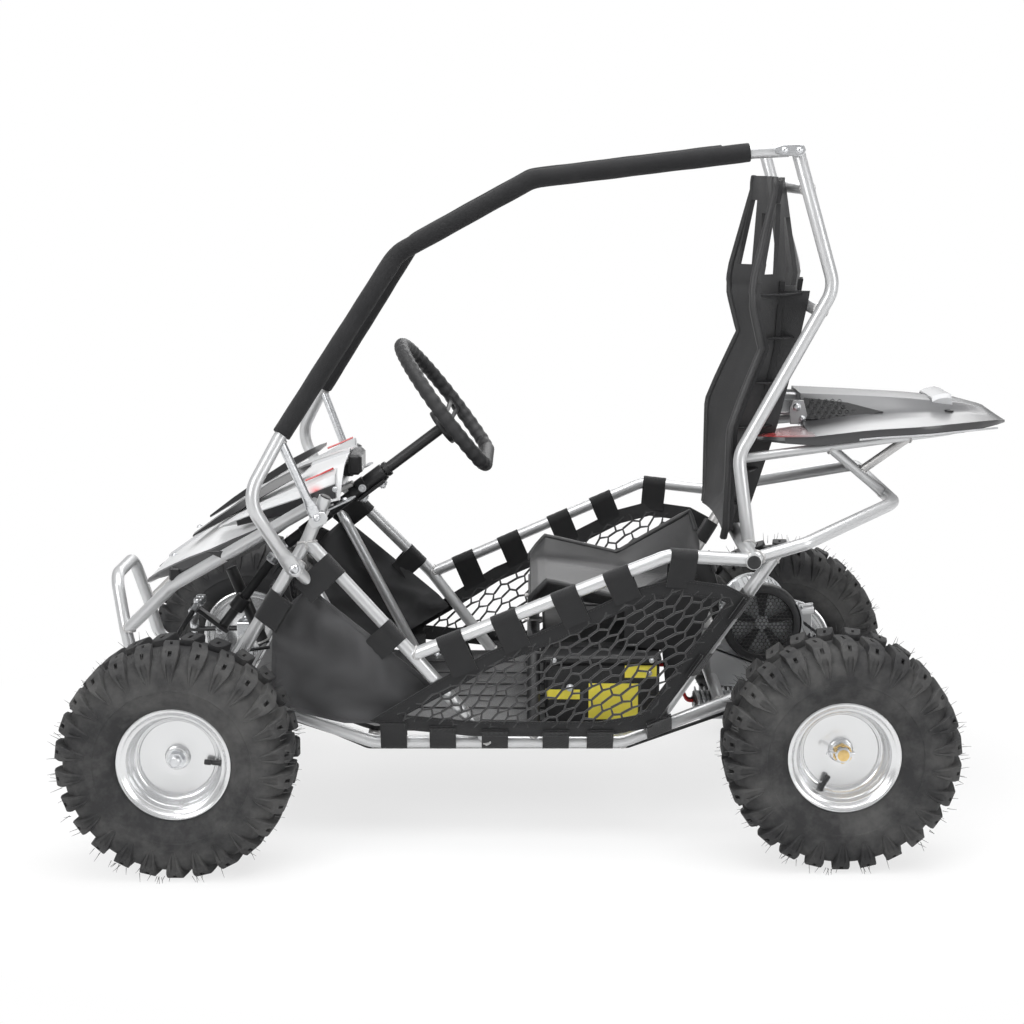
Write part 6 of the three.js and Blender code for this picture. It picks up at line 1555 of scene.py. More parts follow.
def seatBack():
    s = Shape("seat")
    wide = 40
    stations = between(seatSizes["back"], 6)

    def skin(station, t):
        return station[1] + (station[2] - station[1]) * share(t, crossShares)

    def stationAt(z):
        return min(stations, key=lambda station: abs(station[0] - z))

    rows = []
    for station in stations:
        row, z, half = [], station[0], station[3]
        for j in range(wide + 1):
            t = -1 + 2 * j / wide
            x = skin(station, t)
            crease = 0
            if z > 530:
                crease = 5 * math.exp(-((abs(t) - 0.6) / 0.06) ** 2)
                crease += 3.5 * math.exp(-((z - 905) / 9) ** 2)
                crease += 3 * math.exp(-((z - 640 - 60 * abs(t)) / 10) ** 2)
            row.append((x + crease, t * half, z))
        rows.append(row)

    def opening(i, j):
        out = abs(-1 + 2 * (j + 0.5) / wide)
        z = stations[i][0]
        return 930 < z <= 1058 and 0.6 < out < 0.76 or 950 < z <= 1066 and 0.84 < out < 0.95

    s.sheet(rows, seatSizes["backThickness"], (1, 0, -0.1), opening)
    for side in (0, wide):
        edge = [Vector(row[side]) + Vector((4, 0, 0)) for row in rows[1:-1]]
        s.tube(edge, 6.4, 10)
    # the returned edges, ribs, gussets, walls and bosses below take the darker copy of the seat plastic,
    # painted shade
    s.paint("seatPaintedShade")
    # returned edges above and below the openings
    above = [i for i in range(len(rows)) if stations[i][0] > 1060][-1]
    below = [i for i in range(len(rows)) if stations[i][0] < 935][0]
    for end, sign in ((0, -1), (wide, 1)):
        for part in (rows[3:above + 1], rows[below:-4]):
            low = [[Vector(row[end]) + Vector((6, 0, 0)), Vector(row[end]) + Vector((17, -sign * 3, 0))]
                   for row in part]
            if len(low) > 1:
                s.sheet(low, 3, (0, sign, 0))
    # ribs up, ribs across, and gussets at the sides
    for y in (-150, -70, -24, 24, 70, 150):
        s.sheet([[(7 + skin(station, y / station[3]), y + edge, station[0]) for edge in (-3, 3)]
                 for station in stations[20:-8]], 9, (1, 0, 0))
    for z in (560, 650, 740, 840):
        station = stationAt(z)
        s.sheet([[(7 + skin(station, t), t * station[3], z + edge) for edge in (-3, 3)]
                 for t in (-0.8, -0.5, -0.2, 0.2, 0.5, 0.8)], 8, (1, 0, 0))
    for z in (912, 838, 764, 690, 616, 560):
        station = stationAt(z)
        _, middleX, edgeX, half = station
        for side in bothSides:
            curve = [(6 + skin(station, t), side * t * half) for t in (0.97, 0.9, 0.8, 0.7, 0.6, 0.5)]
            curve += [(middleX + 15, side * 0.5 * half), (middleX + 12, side * 0.72 * half),
                      (0.5 * (middleX + edgeX) + 14, side * 0.97 * half)]
            s.plate(curve, (0, 0, z), (1, 0, 0), (0, 1, 0), 3.4, 0.7)
    for side in bothSides:
        wall = [[(7 + skin(station, 0.8), side * 0.8 * station[3], station[0]),
                 (station[1] + 13, side * 0.78 * station[3], station[0])] for station in stations[22:-6]]
        s.sheet(wall, 3, (0, 1, 0))
    for z, reach in ((553, 14), (850, 12)):
        s.paint("seatPaintedShade").lathe([(4, 12), (reach, 9), (reach + 6, 9)], (stationAt(z)[1], 0, z), (1, 0, 0),
                                  20)
    return s.make("seatBackShell", "frame", ["seat_back"], "black_plastic", 40)


def seatBase():
    s = Shape("seat")
    wide = 36
    shares = [(0, 0), (0.5, 0.04), (0.7, 0.08), (0.84, 0.15), (0.93, 0.7), (1, 1)]
    stations = between(seatSizes["base"], 5)
    rows = []
    for x, middleZ, edgeZ, half in stations:
        row = []
        for j in range(wide + 1):
            t = -1 + 2 * j / wide
            z = middleZ + (edgeZ - middleZ) * share(t, shares)
            z += 3 * math.exp(-((abs(t) - 0.55) / 0.05) ** 2) * (1 if x > 60 else 0)
            row.append((x, t * half, z))
        rows.append(row)
    s.sheet(rows, -seatSizes["baseThickness"], (-0.12, 0, 1))
    for side in (0, wide):
        edge = [Vector(row[side]) - Vector((0, 0, 2)) for row in rows[4:-2]]
        s.tube(edge, 5, 10)
    # the strips, bands, plates and skirts below take the darker copy of the seat plastic, painted shade
    s.paint("seatPaintedShade")
    for z in (352, 366):
        s.box((26.6, -120, z), (30.4, 120, z + 5), 1)
    for side in bothSides:
        band = [(-26, -2.4), (26, -2.4), (26, 2.4), (-26, 2.4)]
        s.plate(band, (292, side * 197.5, 424), (0.86, 0, 0.5), (-0.5, 0, 0.86), 3, 0.6)
        s.plate([(-4, -32), (4, -32), (2.4, 30), (-2.4, 30)], (252, side * 199, 398), (1, 0, 0), (0, 0, 1),
                3, 0.6)
        # skirt from the edge down behind the battery
        skirt = [(190, 398), (190, 312), (256, 306), (262, 250), (300, 252), (322, 330), (344, 404),
                 (300, 440)]
        s.plate(skirt, (0, side * 196.5, 0), (1, 0, 0), (0, 0, 1), 4, 1)
    return s.make("seatBaseShell", "frame", ["seat_base"], "black_plastic", 40)


seatBack()
seatBase()


def batteryBox():
    s = Shape("battery")
    s.box((56, -235, 183.4), (250, 235, 292), 5)
    s.box((53, -238, 290.4), (253, 238, 305), 4)
    s.paint("plastic")
    for y in (-150, 0, 150):
        s.box((54.6, y - 12, 200), (57.4, y + 12, 286), 1)
    for y in (-160, 160):
        s.box((70, y - 15, 304), (240, y + 15, 307), 1.4)
    for y in (-130, -118):
        s.lathe([(0, 9), (6, 8), (7, 6), (7, 4)], (249.4, y, 262), (1, 0, 0), 18, True)
    spots = ((98, 250, 6.5), (232, 276, 5), (70, 298, 4.6), (236, 298, 4.6))
    bolts(s, [((x, -237.6, z), (0, -1, 0), radius) for x, z, radius in spots])
    return s.make("batteryBox", "frame", ["battery_box"], "black_plastic")


batteryBox()


def display():
    s = Shape("plastic")
    s.box((-291.7, -50, 584), (-270.4, 50, 620), 4)
    s.paint("blackGloss").box((-271, -43, 588), (-268.4, 43, 616), 0.8)
    s.paint("silverGloss")
    for y in (-30, -10, 10, 30):
        s.lathe([(0, 5), (1, 4.6), (1.2, 0.1)], (-268.6, y, 592.5), (1, 0, 0), 16)
    return s.make("dashDisplay", "frame", ["dash_display"], "black_plastic")


display()

# Tail fairing: station behind the middle of the wheelbase, then (out, height) pairs of its section
tailSections = {
    500: [(0, 733), (60, 733), (80, 688), (205, 676)], 600: [(0, 731), (55, 729), (85, 700), (205, 688)],
    694: [(0, 727), (54, 724), (88, 703), (205, 694)], 787: [(0, 719), (50, 716), (85, 704), (160, 697)],
    830: [(0, 707), (46, 705), (80, 699), (120, 695)], 852: [(0, 692), (20, 691.5), (50, 690.8), (80, 690)],
}


def tailPoint(x, t):
    # The skin's place at x behind the middle of the wheelbase and t of the way out.
    xs = sorted(tailSections)
    a = max([k for k in xs if k <= x] or [xs[0]])
    b = min([k for k in xs if k >= x] or [xs[-1]])
    f = 0 if a == b else (x - a) / (b - a)
    place = abs(t) * 3
    i = min(int(place), 2)
    g = place - i
    y, z = [sum(w * (tailSections[k][i][n] * (1 - g) + tailSections[k][i + 1][n] * g)
                for k, w in ((a, 1 - f), (b, f))) for n in (0, 1)]
    return Vector((x, (1 if t >= 0 else -1) * y, z))


def tailFairing():
    s = Shape("tailSkin")
    xs = [500, 520, 550, 580, 610, 640, 670, 700, 730, 760, 787, 800, 815, 830, 841, 852]
    ts = [-1, -0.95, -0.85, -0.75, -0.68, -0.64, -0.55, -0.45, -0.36, -0.33, -0.3, -0.2, -0.1, 0]
    ts += [-t for t in ts[-2::-1]]
    s.sheet([[tailPoint(x, t) for t in ts] for x in xs], -4.4, (0, 0, 1))
    for side in bothSides:
        edge = [tailPoint(x, side) for x in xs]
        s.paint("darkGloss")
        outline = [Vector((412, side * 182, 672.4)), Vector((455, side * 206, 674.4))]
        outline += [p + Vector((0, side * 0.6, -1)) for p in edge]
        rings = []
        for k, p in enumerate(outline):
            deep = 15 if k < 12 else 15 - (k - 11) * 2
            tall = min(1.0, 0.35 + 0.25 * k)
            drop = deep * tall
            section = ((-4, 1.4), (1.5, 1.6), (2.4, -0.5 * drop), (0.6, -drop), (-5, -drop), (-5, -2))
            rings.append([p + Vector((0, side * y, z)) for y, z in section])
        s.loft(rings)
        # a thin silver rod along the side edge: a painted highlight line
        s.paint("silverGloss")
        line = [p + Vector((0, side * 2.6, -12.4)) for p in outline[5:-2]]
        s.tube(line, 1.8, 8)
        front = [(414, 674.6, (150, 165, 178)), (430, 676.4, (135, 165, 192)), (455, 678.2, (112, 160, 203)),
                 (480, 679.4, (95, 155, 204)), (506, 680.2, (84, 150, 204))]
        s.paint("tailRed").sheet([[(x, side * y, z) for y in ys] for x, z, ys in front], -4, (0, 0, 1))
        # sides of the raised middle, each with a perforated insert
        s.paint("plastic")
        corners = [(505, 86, 690), (505, 68, 726), (580, 72, 718), (640, 87, 704), (600, 89, 696),
                   (560, 88, 692)]
        ring = [Vector((x, side * y, z)) for x, y, z in corners]
        s.loft([[p + Vector((0, side * 1.2, 0.6)) for p in ring],
                [p + Vector((0, -side * 2, -1)) for p in ring]])
        s.paint("darkGloss")
        for row in range(4):
            for column in range(14):
                x = 512 + column * 12 + (row % 2) * 6
                if x > 608 - row * 14:
                    continue
                z = 697 + row * 8.4 - (x - 505) * 0.02
                y = side * (86.4 - row * 4.6 + 1.6)
                s.lathe([(0, 3.9), (1.2, 3.7), (1.2, 2.9), (0.2, 2.7)], (x, y, z), (0, side, 0.5), 6, True)
    s.paint("silverGloss")
    s.box((500, -60, 705), (506, 60, 731), 1.2)
    for side in bothSides:
        bracket = [(-14, -24), (12, -24), (15, -8), (8, 18), (-10, 18), (-16, 4)]
        s.plate(bracket, (494, side * 84, 706), (1, 0, 0), (0, 0, 1), 4, 0.8)
        bolts(s, [((490, side * 86, 712), (0, side, 0), 8), ((500, side * 86, 692), (0, side, 0), 6)],
              head=domeObject)
        s.paint("silverGloss")
    s.paint("plastic")
    for side in bothSides:
        s.lathe([(0, 8), (2, 7.4), (2.6, 5.6), (2.6, 3)], tailPoint(755, side * 0.62) - Vector((0, 0, 0.6)),
                (0, 0, 1), 20)
    # raised grip across the rear
    s.paint("silverGloss")
    rings = []
    for dx, dz in ((-16, -5), (-4, 0), (10, 2), (18, 0)):
        top = [Vector((746 + dx, y, z + dz)) for y, z in ((-58, 724), (-52, 731), (52, 731), (58, 724))]
        foot = [Vector((760 + 0.35 * dx, y, 706 + dz)) for y in (-62, 62)]
        ring = foot[:1] + top + foot[1:]
        rings.append(ring + [p - Vector((0, 0, 3.4)) for p in ring[::-1]])
    s.loft(rings)
    s.paint("darkGloss")
    s.plate([(-15, -58), (15, -48), (15, 48), (-15, 58)], (808, 0, 702.6), (0.95, 0, -0.3), (0, 1, 0), 3, 0.8)
    return s.make("tailFairing", "frame", ["tail_fairing"], "fairing_gloss", 26)


def tailSkin():
    # Silver that darkens towards the rear, and beside the raised middle at the front.
    f = Finish("tailSkin", coat=0.2, coatRoughness=0.16, specular=0.3)
    x, y = f.axes[:2]
    out = f.maths("ABSOLUTE", y)
    frontDark = f.spread(x, 0.62, 0.47) * f.spread(out, 0.07, 0.085) * f.spread(out, 0.16, 0.12)
    rearDark = f.spread(x, 0.6, 0.74) * 0.86
    cloud = f.noise(7, 3)
    ground = f.mix(cloud, (0.15, 0.152, 0.156), (0.21, 0.212, 0.217))
    tone = f.mix(f.clamp(rearDark + frontDark), ground, (0.045, 0.045, 0.047))
    return f.set(colour=tone, roughness=0.32 + cloud * 0.08, normal=f.bump(f.noise(150, 2), 0.0003, 0.05))


finish["tailSkin"] = tailSkin()
finish["tailRed"] = blushed("tailRed", (0.42, 0.42, 0.43), (0.55, 0.02, 0.02), (0.37, -0.19, 0.676), 0.11)
tailFairing()

# Nose fairing
noseSizes = {
    "stations": [(-654, 40, 392, 388), (-620, 92, 428, 412), (-560, 150, 470, 448), (-510, 172, 512, 474),
                 (-458, 190, 550, 497), (-400, 197, 578, 528), (-350, 200, 600, 556), (-318, 200, 611, 564),
                 (-292, 200, 620, 570)], "thickness": 4,
}
noseShares = [(0, 0), (0.3, 0.03), (0.6, 0.14), (0.8, 0.48), (1, 1)]


def nosePoint(x, t):
    # The hood's place at x and t of the way out.
    rows = noseSizes["stations"]
    for (a, ha, ta, ea), (b, hb, tb, eb) in zip(rows, rows[1:]):
        if x <= b:
            f = (x - a) / (b - a)
            half, top, edge = ha + (hb - ha) * f, ta + (tb - ta) * f, ea + (eb - ea) * f
            break
    return Vector((x, t * half, top - (top - edge) * share(t, noseShares)))


def noseBar(s, side, spine, section):
    # A bar along spine, a list of (x, y, z, height), with the section that its height gives.
    rings = [[Vector((x, side * (y + out), z + up)) for out, up in section(tall)] for x, y, z, tall in spine]
    return s.loft(rings)


def noseFairing():
    s = Shape("white")
    xs = [-654, -637, -620, -590, -560, -535, -510, -484, -458, -430, -400, -375, -350, -334, -318, -305,
          -292]
    ts = [-1, -0.9, -0.8, -0.7, -0.6, -0.45, -0.3, -0.15, 0]
    ts += [-t for t in ts[-2::-1]]
    s.sheet([[nosePoint(x, t) for t in ts] for x in xs], -noseSizes["thickness"], (0, 0, 1))
    for side in bothSides:
        # dark pointed wing under each side of the hood
        s.paint("darkGloss")
        spine = [(-650, 58, 394, 3), (-625, 96, 414, 8), (-590, 134, 436, 14), (-560, 152, 452, 20),
                 (-520, 172, 470, 26), (-480, 186, 490, 26), (-440, 194, 508, 22), (-400, 199, 530, 17),
                 (-360, 203, 550, 12), (-330, 204, 562, 7)]
        noseBar(s, side, spine, lambda tall: [(-5, 4), (4, 2), (5, -0.55 * tall), (0, -tall),
                                              (-6, 1 - tall), (-7, 0)])
        s.paint("blackGloss")
        flash = [(-520, 476), (-470, 478), (-425, 510), (-372, 546), (-352, 548), (-380, 520), (-430, 484),
                 (-480, 458)]
        s.loft([[(x, side * y, z) for x, z in flash] for y in (203, 198)])
        # faceted side box, white with a red blush, its rear end cut square
        box = [(-505, 172, 512, 512), (-470, 192, 520, 536), (-420, 204, 534, 562), (-360, 208, 548, 588),
               (-318, 208, 560, 610), (-300, 208, 566, 618)]
        s.paint("noseBand")
        rings = []
        for x, y, low, high in box:
            mid = low * 0.42 + high * 0.58
            section = ((-26, high), (-6, high - 0.16 * (high - low)), (0, mid), (-10, low), (-30, low + 1))
            rings.append([Vector((x, side * (y + out), z)) for out, z in section])
        s.loft(rings)
        # a dark sheet over the box's lower facets and a grey slab over its rear end: painted shade of the
        # white box's underside and end
        s.paint("darkGloss")
        under = [[ring[2] + Vector((0, -side * 0.5, -2)), ring[3] + Vector((0, side * 0.6, -0.6)),
                  ring[3] + Vector((0, 0, -3)), ring[4] + Vector((0, 0, -2))] for ring in rings[1:]]
        s.loft(under)
        end = [p + Vector((0.8, 0, 0)) for p in rings[-1]]
        s.paint("silverGloss").loft([end, [p + Vector((1.2, 0, 0)) for p in end]])
        s.paint("redGloss")
        s.tube([(-352, side * 188, 597), (-330, side * 188, 606), (-304, side * 186, 618)], 1.7, 8)
        # dark blade along the top beside the middle
        s.paint("blackGloss")
        blade = [(-560, 100, 486, 2), (-520, 112, 516, 9), (-470, 122, 550, 13), (-420, 128, 582, 14),
                 (-380, 130, 603, 12), (-360, 130, 612, 8), (-348, 130, 616, 2)]
        noseBar(s, side, blade, lambda tall: [(-16, 1), (4, 0), (8, -tall), (-4, -tall - 3), (-18, -tall)])
        s.paint("plastic")
        s.box((-352, side * 148 - 15, 552), (-298, side * 148 + 15, 575), 3)
        s.box((-596, side * 135 - 12, 412), (-576, side * 135 + 12, 436), 3)
        s.paint("cast")
        bracket = [(-26, -12), (20, -15), (28, 0), (20, 15), (-26, 12)]
        s.plate(bracket, (-292, side * 188, 558), (0.9, 0, 0.43), (0, 1, 0), 3, 0.6)
        bolts(s, [((-300, side * 206, 585), (0, side, 0), 5), ((-286, side * 186, 564), (0, 0, 1), 6),
                  ((-588, side * 134, 456), (-0.3, 0, 1), 6)], head=domeObject)
    s.paint("silverGloss")
    ridge = [nosePoint(x, 0) + Vector((0, 0, 1)) for x in xs[2:]]
    s.loft([[p + Vector((0, y, h)) for y, h in ((-16, -3), (-10, 3), (10, 3), (16, -3))] for p in ridge])
    return s.make("noseFairing", "frame", ["nose_fairing"], "fairing_gloss", 26)


finish["noseBand"] = blushed("noseBand", (0.62, 0.625, 0.63), (0.75, 0.1, 0.1), (-0.395, -0.208, 0.583),
                             0.022)
noseFairing()
print("seat and fairings made")

# Steering: dash tube with its bush, column and wheel, lower shaft, post and track rods
steeringSizes = {
    "foot": (-420, 0, 442), "hub": (-130, 0, 661.3), "lower": (-529, 0, 297), "column": 9.8, "ring": 147,
    "ringRise": 12, "flatDrop": 89, "grip": 12.3, "gripWave": 0.7, "gripWaves": 46, "ringOut": 34,
}
columnFoot, columnHub = Vector(steeringSizes["foot"]), Vector(steeringSizes["hub"])
columnAxis = (columnHub - columnFoot).normalized()
columnLength = (columnHub - columnFoot).length
lowerFoot = Vector(steeringSizes["lower"])
lowerAxis = (lowerFoot - columnFoot).normalized()
lowerLength = (lowerFoot - columnFoot).length


def dashTube():
    s = Shape("frame")
    s.tube([at("dashTube", -1), at("dashTube", 1)], tubeRadius, 22)
    for side in bothSides:
        weld(s, (-323.5, side * 291, 545), (0, -side, 0), (0.4, 0, 0.9))
    s.plate([(-14, -13), (20, -13), (20, 13), (-14, 13)], (-306, 0, 553), (0.6, 0, 0.3), (0, 1, 0), 8, 1)
    s.paint("blackSteel")
    bush = [(164, 10.4), (164, 14), (165, 15), (179, 15), (180, 17), (196, 17), (197, 15), (235, 15),
            (236, 14), (236, 10.4)]
    s.lathe(bush, columnFoot, columnAxis, 32, True)
    up = columnAxis.cross(Vector((0, 1, 0)))
    base = [(170, -19), (226, -19), (232, 0), (226, 19), (170, 19), (164, 0)]
    s.plate(base, columnFoot - up * 13, columnAxis, (0, 1, 0), 6, 1)
    bolts(s, [(columnFoot + columnAxis * reach - up * 16 + Vector((0, side * 13, 0)), -up, 8)
              for reach in (178, 220) for side in bothSides])
    bolts(s, [(columnFoot + columnAxis * 188 + Vector((0, -17, 0)), (0, -1, 0), 7)])
    return s.make("dashTube", "frame", ["dash_cross_tube"], "silver_paint")


def steeringColumn():
    s = Shape("blackSteel")
    radius = steeringSizes["column"]
    s.lathe([(15, 8), (16, radius), (columnLength - 8, radius), (columnLength - 0.3, 9.4)], columnFoot,
            columnAxis, 26)
    s.lathe([(238, 10), (238, 13), (239, 14), (245, 14), (246, 13), (246, 10)], columnFoot, columnAxis, 26,
            True)
    s.paint("zinc").lathe([(0.3, 7), (1.2, 12), (12, 12), (15, 10.6)], columnFoot, columnAxis, 22)
    cross = [columnFoot + columnAxis * 6 + Vector((0, y, 0)) for y in (-14.5, 14.5)]
    s.rod(*cross, 3, 12, 0.8)
    s.paint("plastic").lathe([(48, radius), (50, 11.4), (112, 11.4), (114, radius)], columnFoot, columnAxis,
                             24)
    return s.make("steeringColumn", "steering", ["steering_column"], "black_steel")


def steeringWheel():
    s = Shape("grip")
    plane = columnHub + columnAxis * steeringSizes["ringOut"]
    up = Vector((-columnAxis.z, 0, columnAxis.x))

    def inPlane(right, height):
        return plane + up * height + Vector((0, right, 0))

    rise, radius, drop = steeringSizes["ringRise"], steeringSizes["ring"], steeringSizes["flatDrop"]
    cut = math.asin((drop + rise) / radius)
    outline = []
    for k in range(73):
        a = -cut + (math.pi + 2 * cut) * k / 72
        outline.append((radius * math.cos(a), rise + radius * math.sin(a)))
    corner = outline[-1]
    count = 20
    flat = [(corner[0] + (outline[0][0] - corner[0]) * k / count, -drop) for k in range(1, count)]
    loop = [inPlane(*p) for p in outline[2:-2] + [(p[0] * 0.97, p[1]) for p in flat]]
    length = [0.0]
    for a, b in zip(loop, loop[1:] + loop[:1]):
        length.append(length[-1] + (b - a).length)
    fine, count = [], 230
    for k in range(count):
        want = k * length[-1] / count
        i = max(j for j in range(len(loop)) if length[j] <= want)
        a, b = loop[i], loop[(i + 1) % len(loop)]
        fine.append(a.lerp(b, (want - length[i]) / max((b - a).length, 0.001)))
    radii = [steeringSizes["grip"] + steeringSizes["gripWave"] * math.sin(steeringSizes["gripWaves"] * a)
             for a in around(count)]
    s.tube(fine, radii, 18, closed=True)
    s.paint("blackSteel")
    root = columnHub + columnAxis * 9
    for right, height in ((-radius, rise), (radius, rise), (0, -drop)):
        end = inPlane(right, height)
        run = end - root
        across = columnAxis.cross(run).normalized()
        reach = run.length
        outline = [(18, -17), (reach * 0.5, -11), (reach - 6, -15), (reach - 6, 15), (reach * 0.5, 11),
                   (18, 17)]
        slot = ((0.42, -4.6), (0.78, -5.4), (0.82, 0), (0.78, 5.4), (0.42, 4.6), (0.38, 0))
        hole = [(share * reach, wide) for share, wide in slot]
        s.plate(outline, root, run.normalized(), across, 4.4, 0.8, hole)
    s.paint("plastic")
    s.lathe([(0, 33), (1, 34), (9, 34), (12, 31), (15, 26), (16, 14), (16, 0.1)], columnHub, columnAxis, 40)
    bolts(s,
          [(columnHub + columnAxis * 11.6
            + (up * math.cos(a + 0.5) + Vector((0, math.sin(a + 0.5), 0))) * 24, columnAxis, 4.4)
           for a in around(3)])
    s.paint("redGloss").lathe([(15.6, 9), (16.4, 8.6), (16.6, 0.1)], columnHub, columnAxis, 24)
    return s.make("steeringWheel", "steering", ["steering_wheel"], "black_plastic", 50)


def lowerShaft():
    s = Shape("blackSteel")
    s.lathe([(30, 7), (31, 8.8), (lowerLength + 7, 8.8), (lowerLength + 8, 8)], columnFoot, lowerAxis, 24)
    s.paint("zinc").lathe([(17, 8), (17.6, 11.8), (28, 11.8), (31, 9)], columnFoot, lowerAxis, 22)
    s.paint("blackSteel")
    armOut = Vector((lowerAxis.z, 0, -lowerAxis.x))
    outline = [(-14, -9), (-8, -13), (8, -13), (44, -10), (62, -12), (69, -6), (69, 6), (62, 12), (44, 10),
               (8, 13), (-8, 13), (-14, 9)]
    s.plate(outline, lowerFoot, armOut, (0, 1, 0), 8, 1.4)
    tip = lowerFoot + armOut * 61
    s.rod(tip + Vector((0, -20, 0)), tip + Vector((0, 20, 0)), 4, 14, 0.8)
    bolts(s, [(tip + Vector((0, side * 13, 0)) + lowerAxis * 4, lowerAxis, 7) for side in bothSides])
    bolts(s, [(lowerFoot + lowerAxis * 5, lowerAxis, 10)])
    return s.make("lowerSteeringShaft", "lower_steering", ["steering_lower_shaft"], "black_steel")


def tieRod(label, side):
    s = Shape("blackSteel")
    inner, outer = Vector((-568.6, side * 13, 345.9)), Vector((-636.5, side * 325.5, 223.2))
    run = (outer - inner).normalized()
    s.tube([inner + run * 34, outer - run * 34], 5, 16)
    for point, way in ((inner, run), (outer, -run)):
        s.paint("zinc").lathe([(9, 4), (12, 6), (26, 6.2), (30, 5.4), (31, 5)], point, way, 16)
        s.lathe([(30, 5), (30, 8), (35, 8), (35, 5)], point, way, 6)
        s.lathe([(-6.6, 4), (-6.6, 8.2), (-5, 9), (5, 9), (6.6, 8.2), (6.6, 4)], point, (0, 0, 1), 22, True)
        s.lathe([(-3, 6), (0, 6.6), (3, 6), (6.9, 3.6), (6.9, 0.1)], point, (0, 0, 1), 16)
    return s.make(f"tieRod_{label}_turned", f"tie_{label}", [f"tie_rod_{label}"], "zinc")


def steeringPost():
    s = Shape("blackSteel")
    foot, tip = Vector((-458, 34, 255)), Vector((-516, 34, 400))
    s.tube([foot, tip], 10.8, 22, rounding=1.5)
    s.lathe([(112, 9.4), (112, 13), (113, 14), (139, 14), (140, 13), (140, 9.4)], columnFoot, lowerAxis, 26,
            True)
    clamp, facing = columnFoot + lowerAxis * 126, lowerAxis.cross(Vector((0, 1, 0)))
    s.plate([(-14, 12), (14, 12), (14, 34), (-14, 34)], clamp, lowerAxis, (0, 1, 0), 10, 1.2)
    bolts(s, [(clamp + Vector((0, 24, 0)) + facing * 5 * end, facing * end, 7) for end in (1, -1)])
    weld(s, foot + (tip - foot).normalized() * 8, tip - foot, radius=10.8)
    return s.make("steeringPost", "frame", ["steering_post"], "black_steel")


dashTube()
steeringColumn()
steeringWheel()
lowerShaft()
pair(tieRod)
steeringPost()

# Pedals
pedalSizes = {"pivot": (-400.5, 112, 257.1), "length": 148, "lean": 8, "pad": (58, 74), "barrelHalf": 16}


def pedal(name, body, node, side):
    s = Shape("blackSteel")
    x, y, z = pedalSizes["pivot"]
    pivot = Vector((x, side * y, z))
    lean = math.radians(pedalSizes["lean"])
    upward = Vector((-math.sin(lean), 0, math.cos(lean)))
    back = Vector((math.cos(lean), 0, math.sin(lean)))
    end = pedalSizes["barrelHalf"]
    barrel = [(-end, 6.4), (-end, 8.2), (1 - end, 9), (end - 1, 9), (end, 8.2), (end, 6.4)]
    s.lathe(barrel, pivot, (0, 1, 0), 24, True)
    s.plate([(-9, 6), (9, 6), (8, 80), (8, 140), (-8, 140), (-8, 80)], pivot, (0, 1, 0), upward, 8, 1.4)
    wide, tall = pedalSizes["pad"][0] / 2, pedalSizes["pad"][1] / 2
    pad = pivot + upward * (pedalSizes["length"] - tall)
    outline = [(-wide, 6 - tall), (6 - wide, -tall), (wide - 6, -tall), (wide, 6 - tall), (wide, tall - 6),
               (wide - 6, tall), (6 - wide, tall), (-wide, tall - 6)]
    s.plate(outline, pad, (0, 1, 0), upward, 5, 1)
    s.paint("plastic")
    for k in range(6):
        level = pad + upward * (-28 + 11.2 * k) + back * 2.6
        s.plate([(-24, -2.4), (24, -2.4), (24, 2.4), (-24, 2.4)], level, (0, 1, 0), upward, 2, 0.6)
    bolts(s, [(pivot + upward * 20 + back * 4, back, 5)])
    return s.make(name, body, [node], "black_steel")


pedal("brakePedal", "brake_body", "brake_pedal", -1)
pedal("throttlePedal", "throttle_body", "throttle_pedal", 1)

# Side nets with their straps
netSizes = {
    "outline": [(-238, 213), (-188, 198), (-62, 186), (147, 186), (232, 203), (387, 435), (347, 456),
                (265, 467), (200, 450), (111, 405), (46, 374), (-41, 337), (-124, 286)], "low": (172, 309),
    "high": (470, 361), "border": 27, "cell": (30, 25), "cord": 2.3, "strap": 44, "strapThickness": 1.8,
    "strapLoop": 12.4,
}
upperStraps, topStrap = (-100, -11, 87, 171), 276
lowerStraps, cornerStrap = (-198, -116, -29, 73, 147), 244
diagonalStraps = (312, 376)


def inside(p, outline):
    odd = False
    for (x1, z1), (x2, z2) in zip(outline, outline[1:] + outline[:1]):
        if (z1 > p[1]) != (z2 > p[1]) and p[0] < x1 + (p[1] - z1) * (x2 - x1) / (z2 - z1):
            odd = not odd
    return odd


def inset(outline, by):
    turn = 1 if doubleArea(outline) > 0 else -1
    made = []
    for before, p, after in zip(outline[-1:] + outline[:-1], outline, outline[1:] + outline[:1]):
        a = (Vector(p) - Vector(before)).normalized()
        b = (Vector(after) - Vector(p)).normalized()
        inward = Vector((-a.y - b.y, a.x + b.x)) * turn
        q = Vector(p) + inward * by / max(0.4, 1 + a.dot(b))
        made.append((q.x, q.y))
    return made


def nearest(p, outline):
    best = None
    for a, b in zip(outline, outline[1:] + outline[:1]):
        a, b, q = Vector(a), Vector(b), Vector(p)
        t = max(0, min(1, (q - a).dot(b - a) / (b - a).length_squared))
        spot = a.lerp(b, t)
        if best is None or (spot - q).length < (best - q).length:
            best = spot
    return best


def pathAt(path, x):
    # A path's point at x, and its direction there.
    for a, b in zip(path, path[1:]):
        if min(a.x, b.x) <= x <= max(a.x, b.x):
            return a.lerp(b, (x - a.x) / (b.x - a.x)), (b - a).normalized()
    raise ValueError(x)


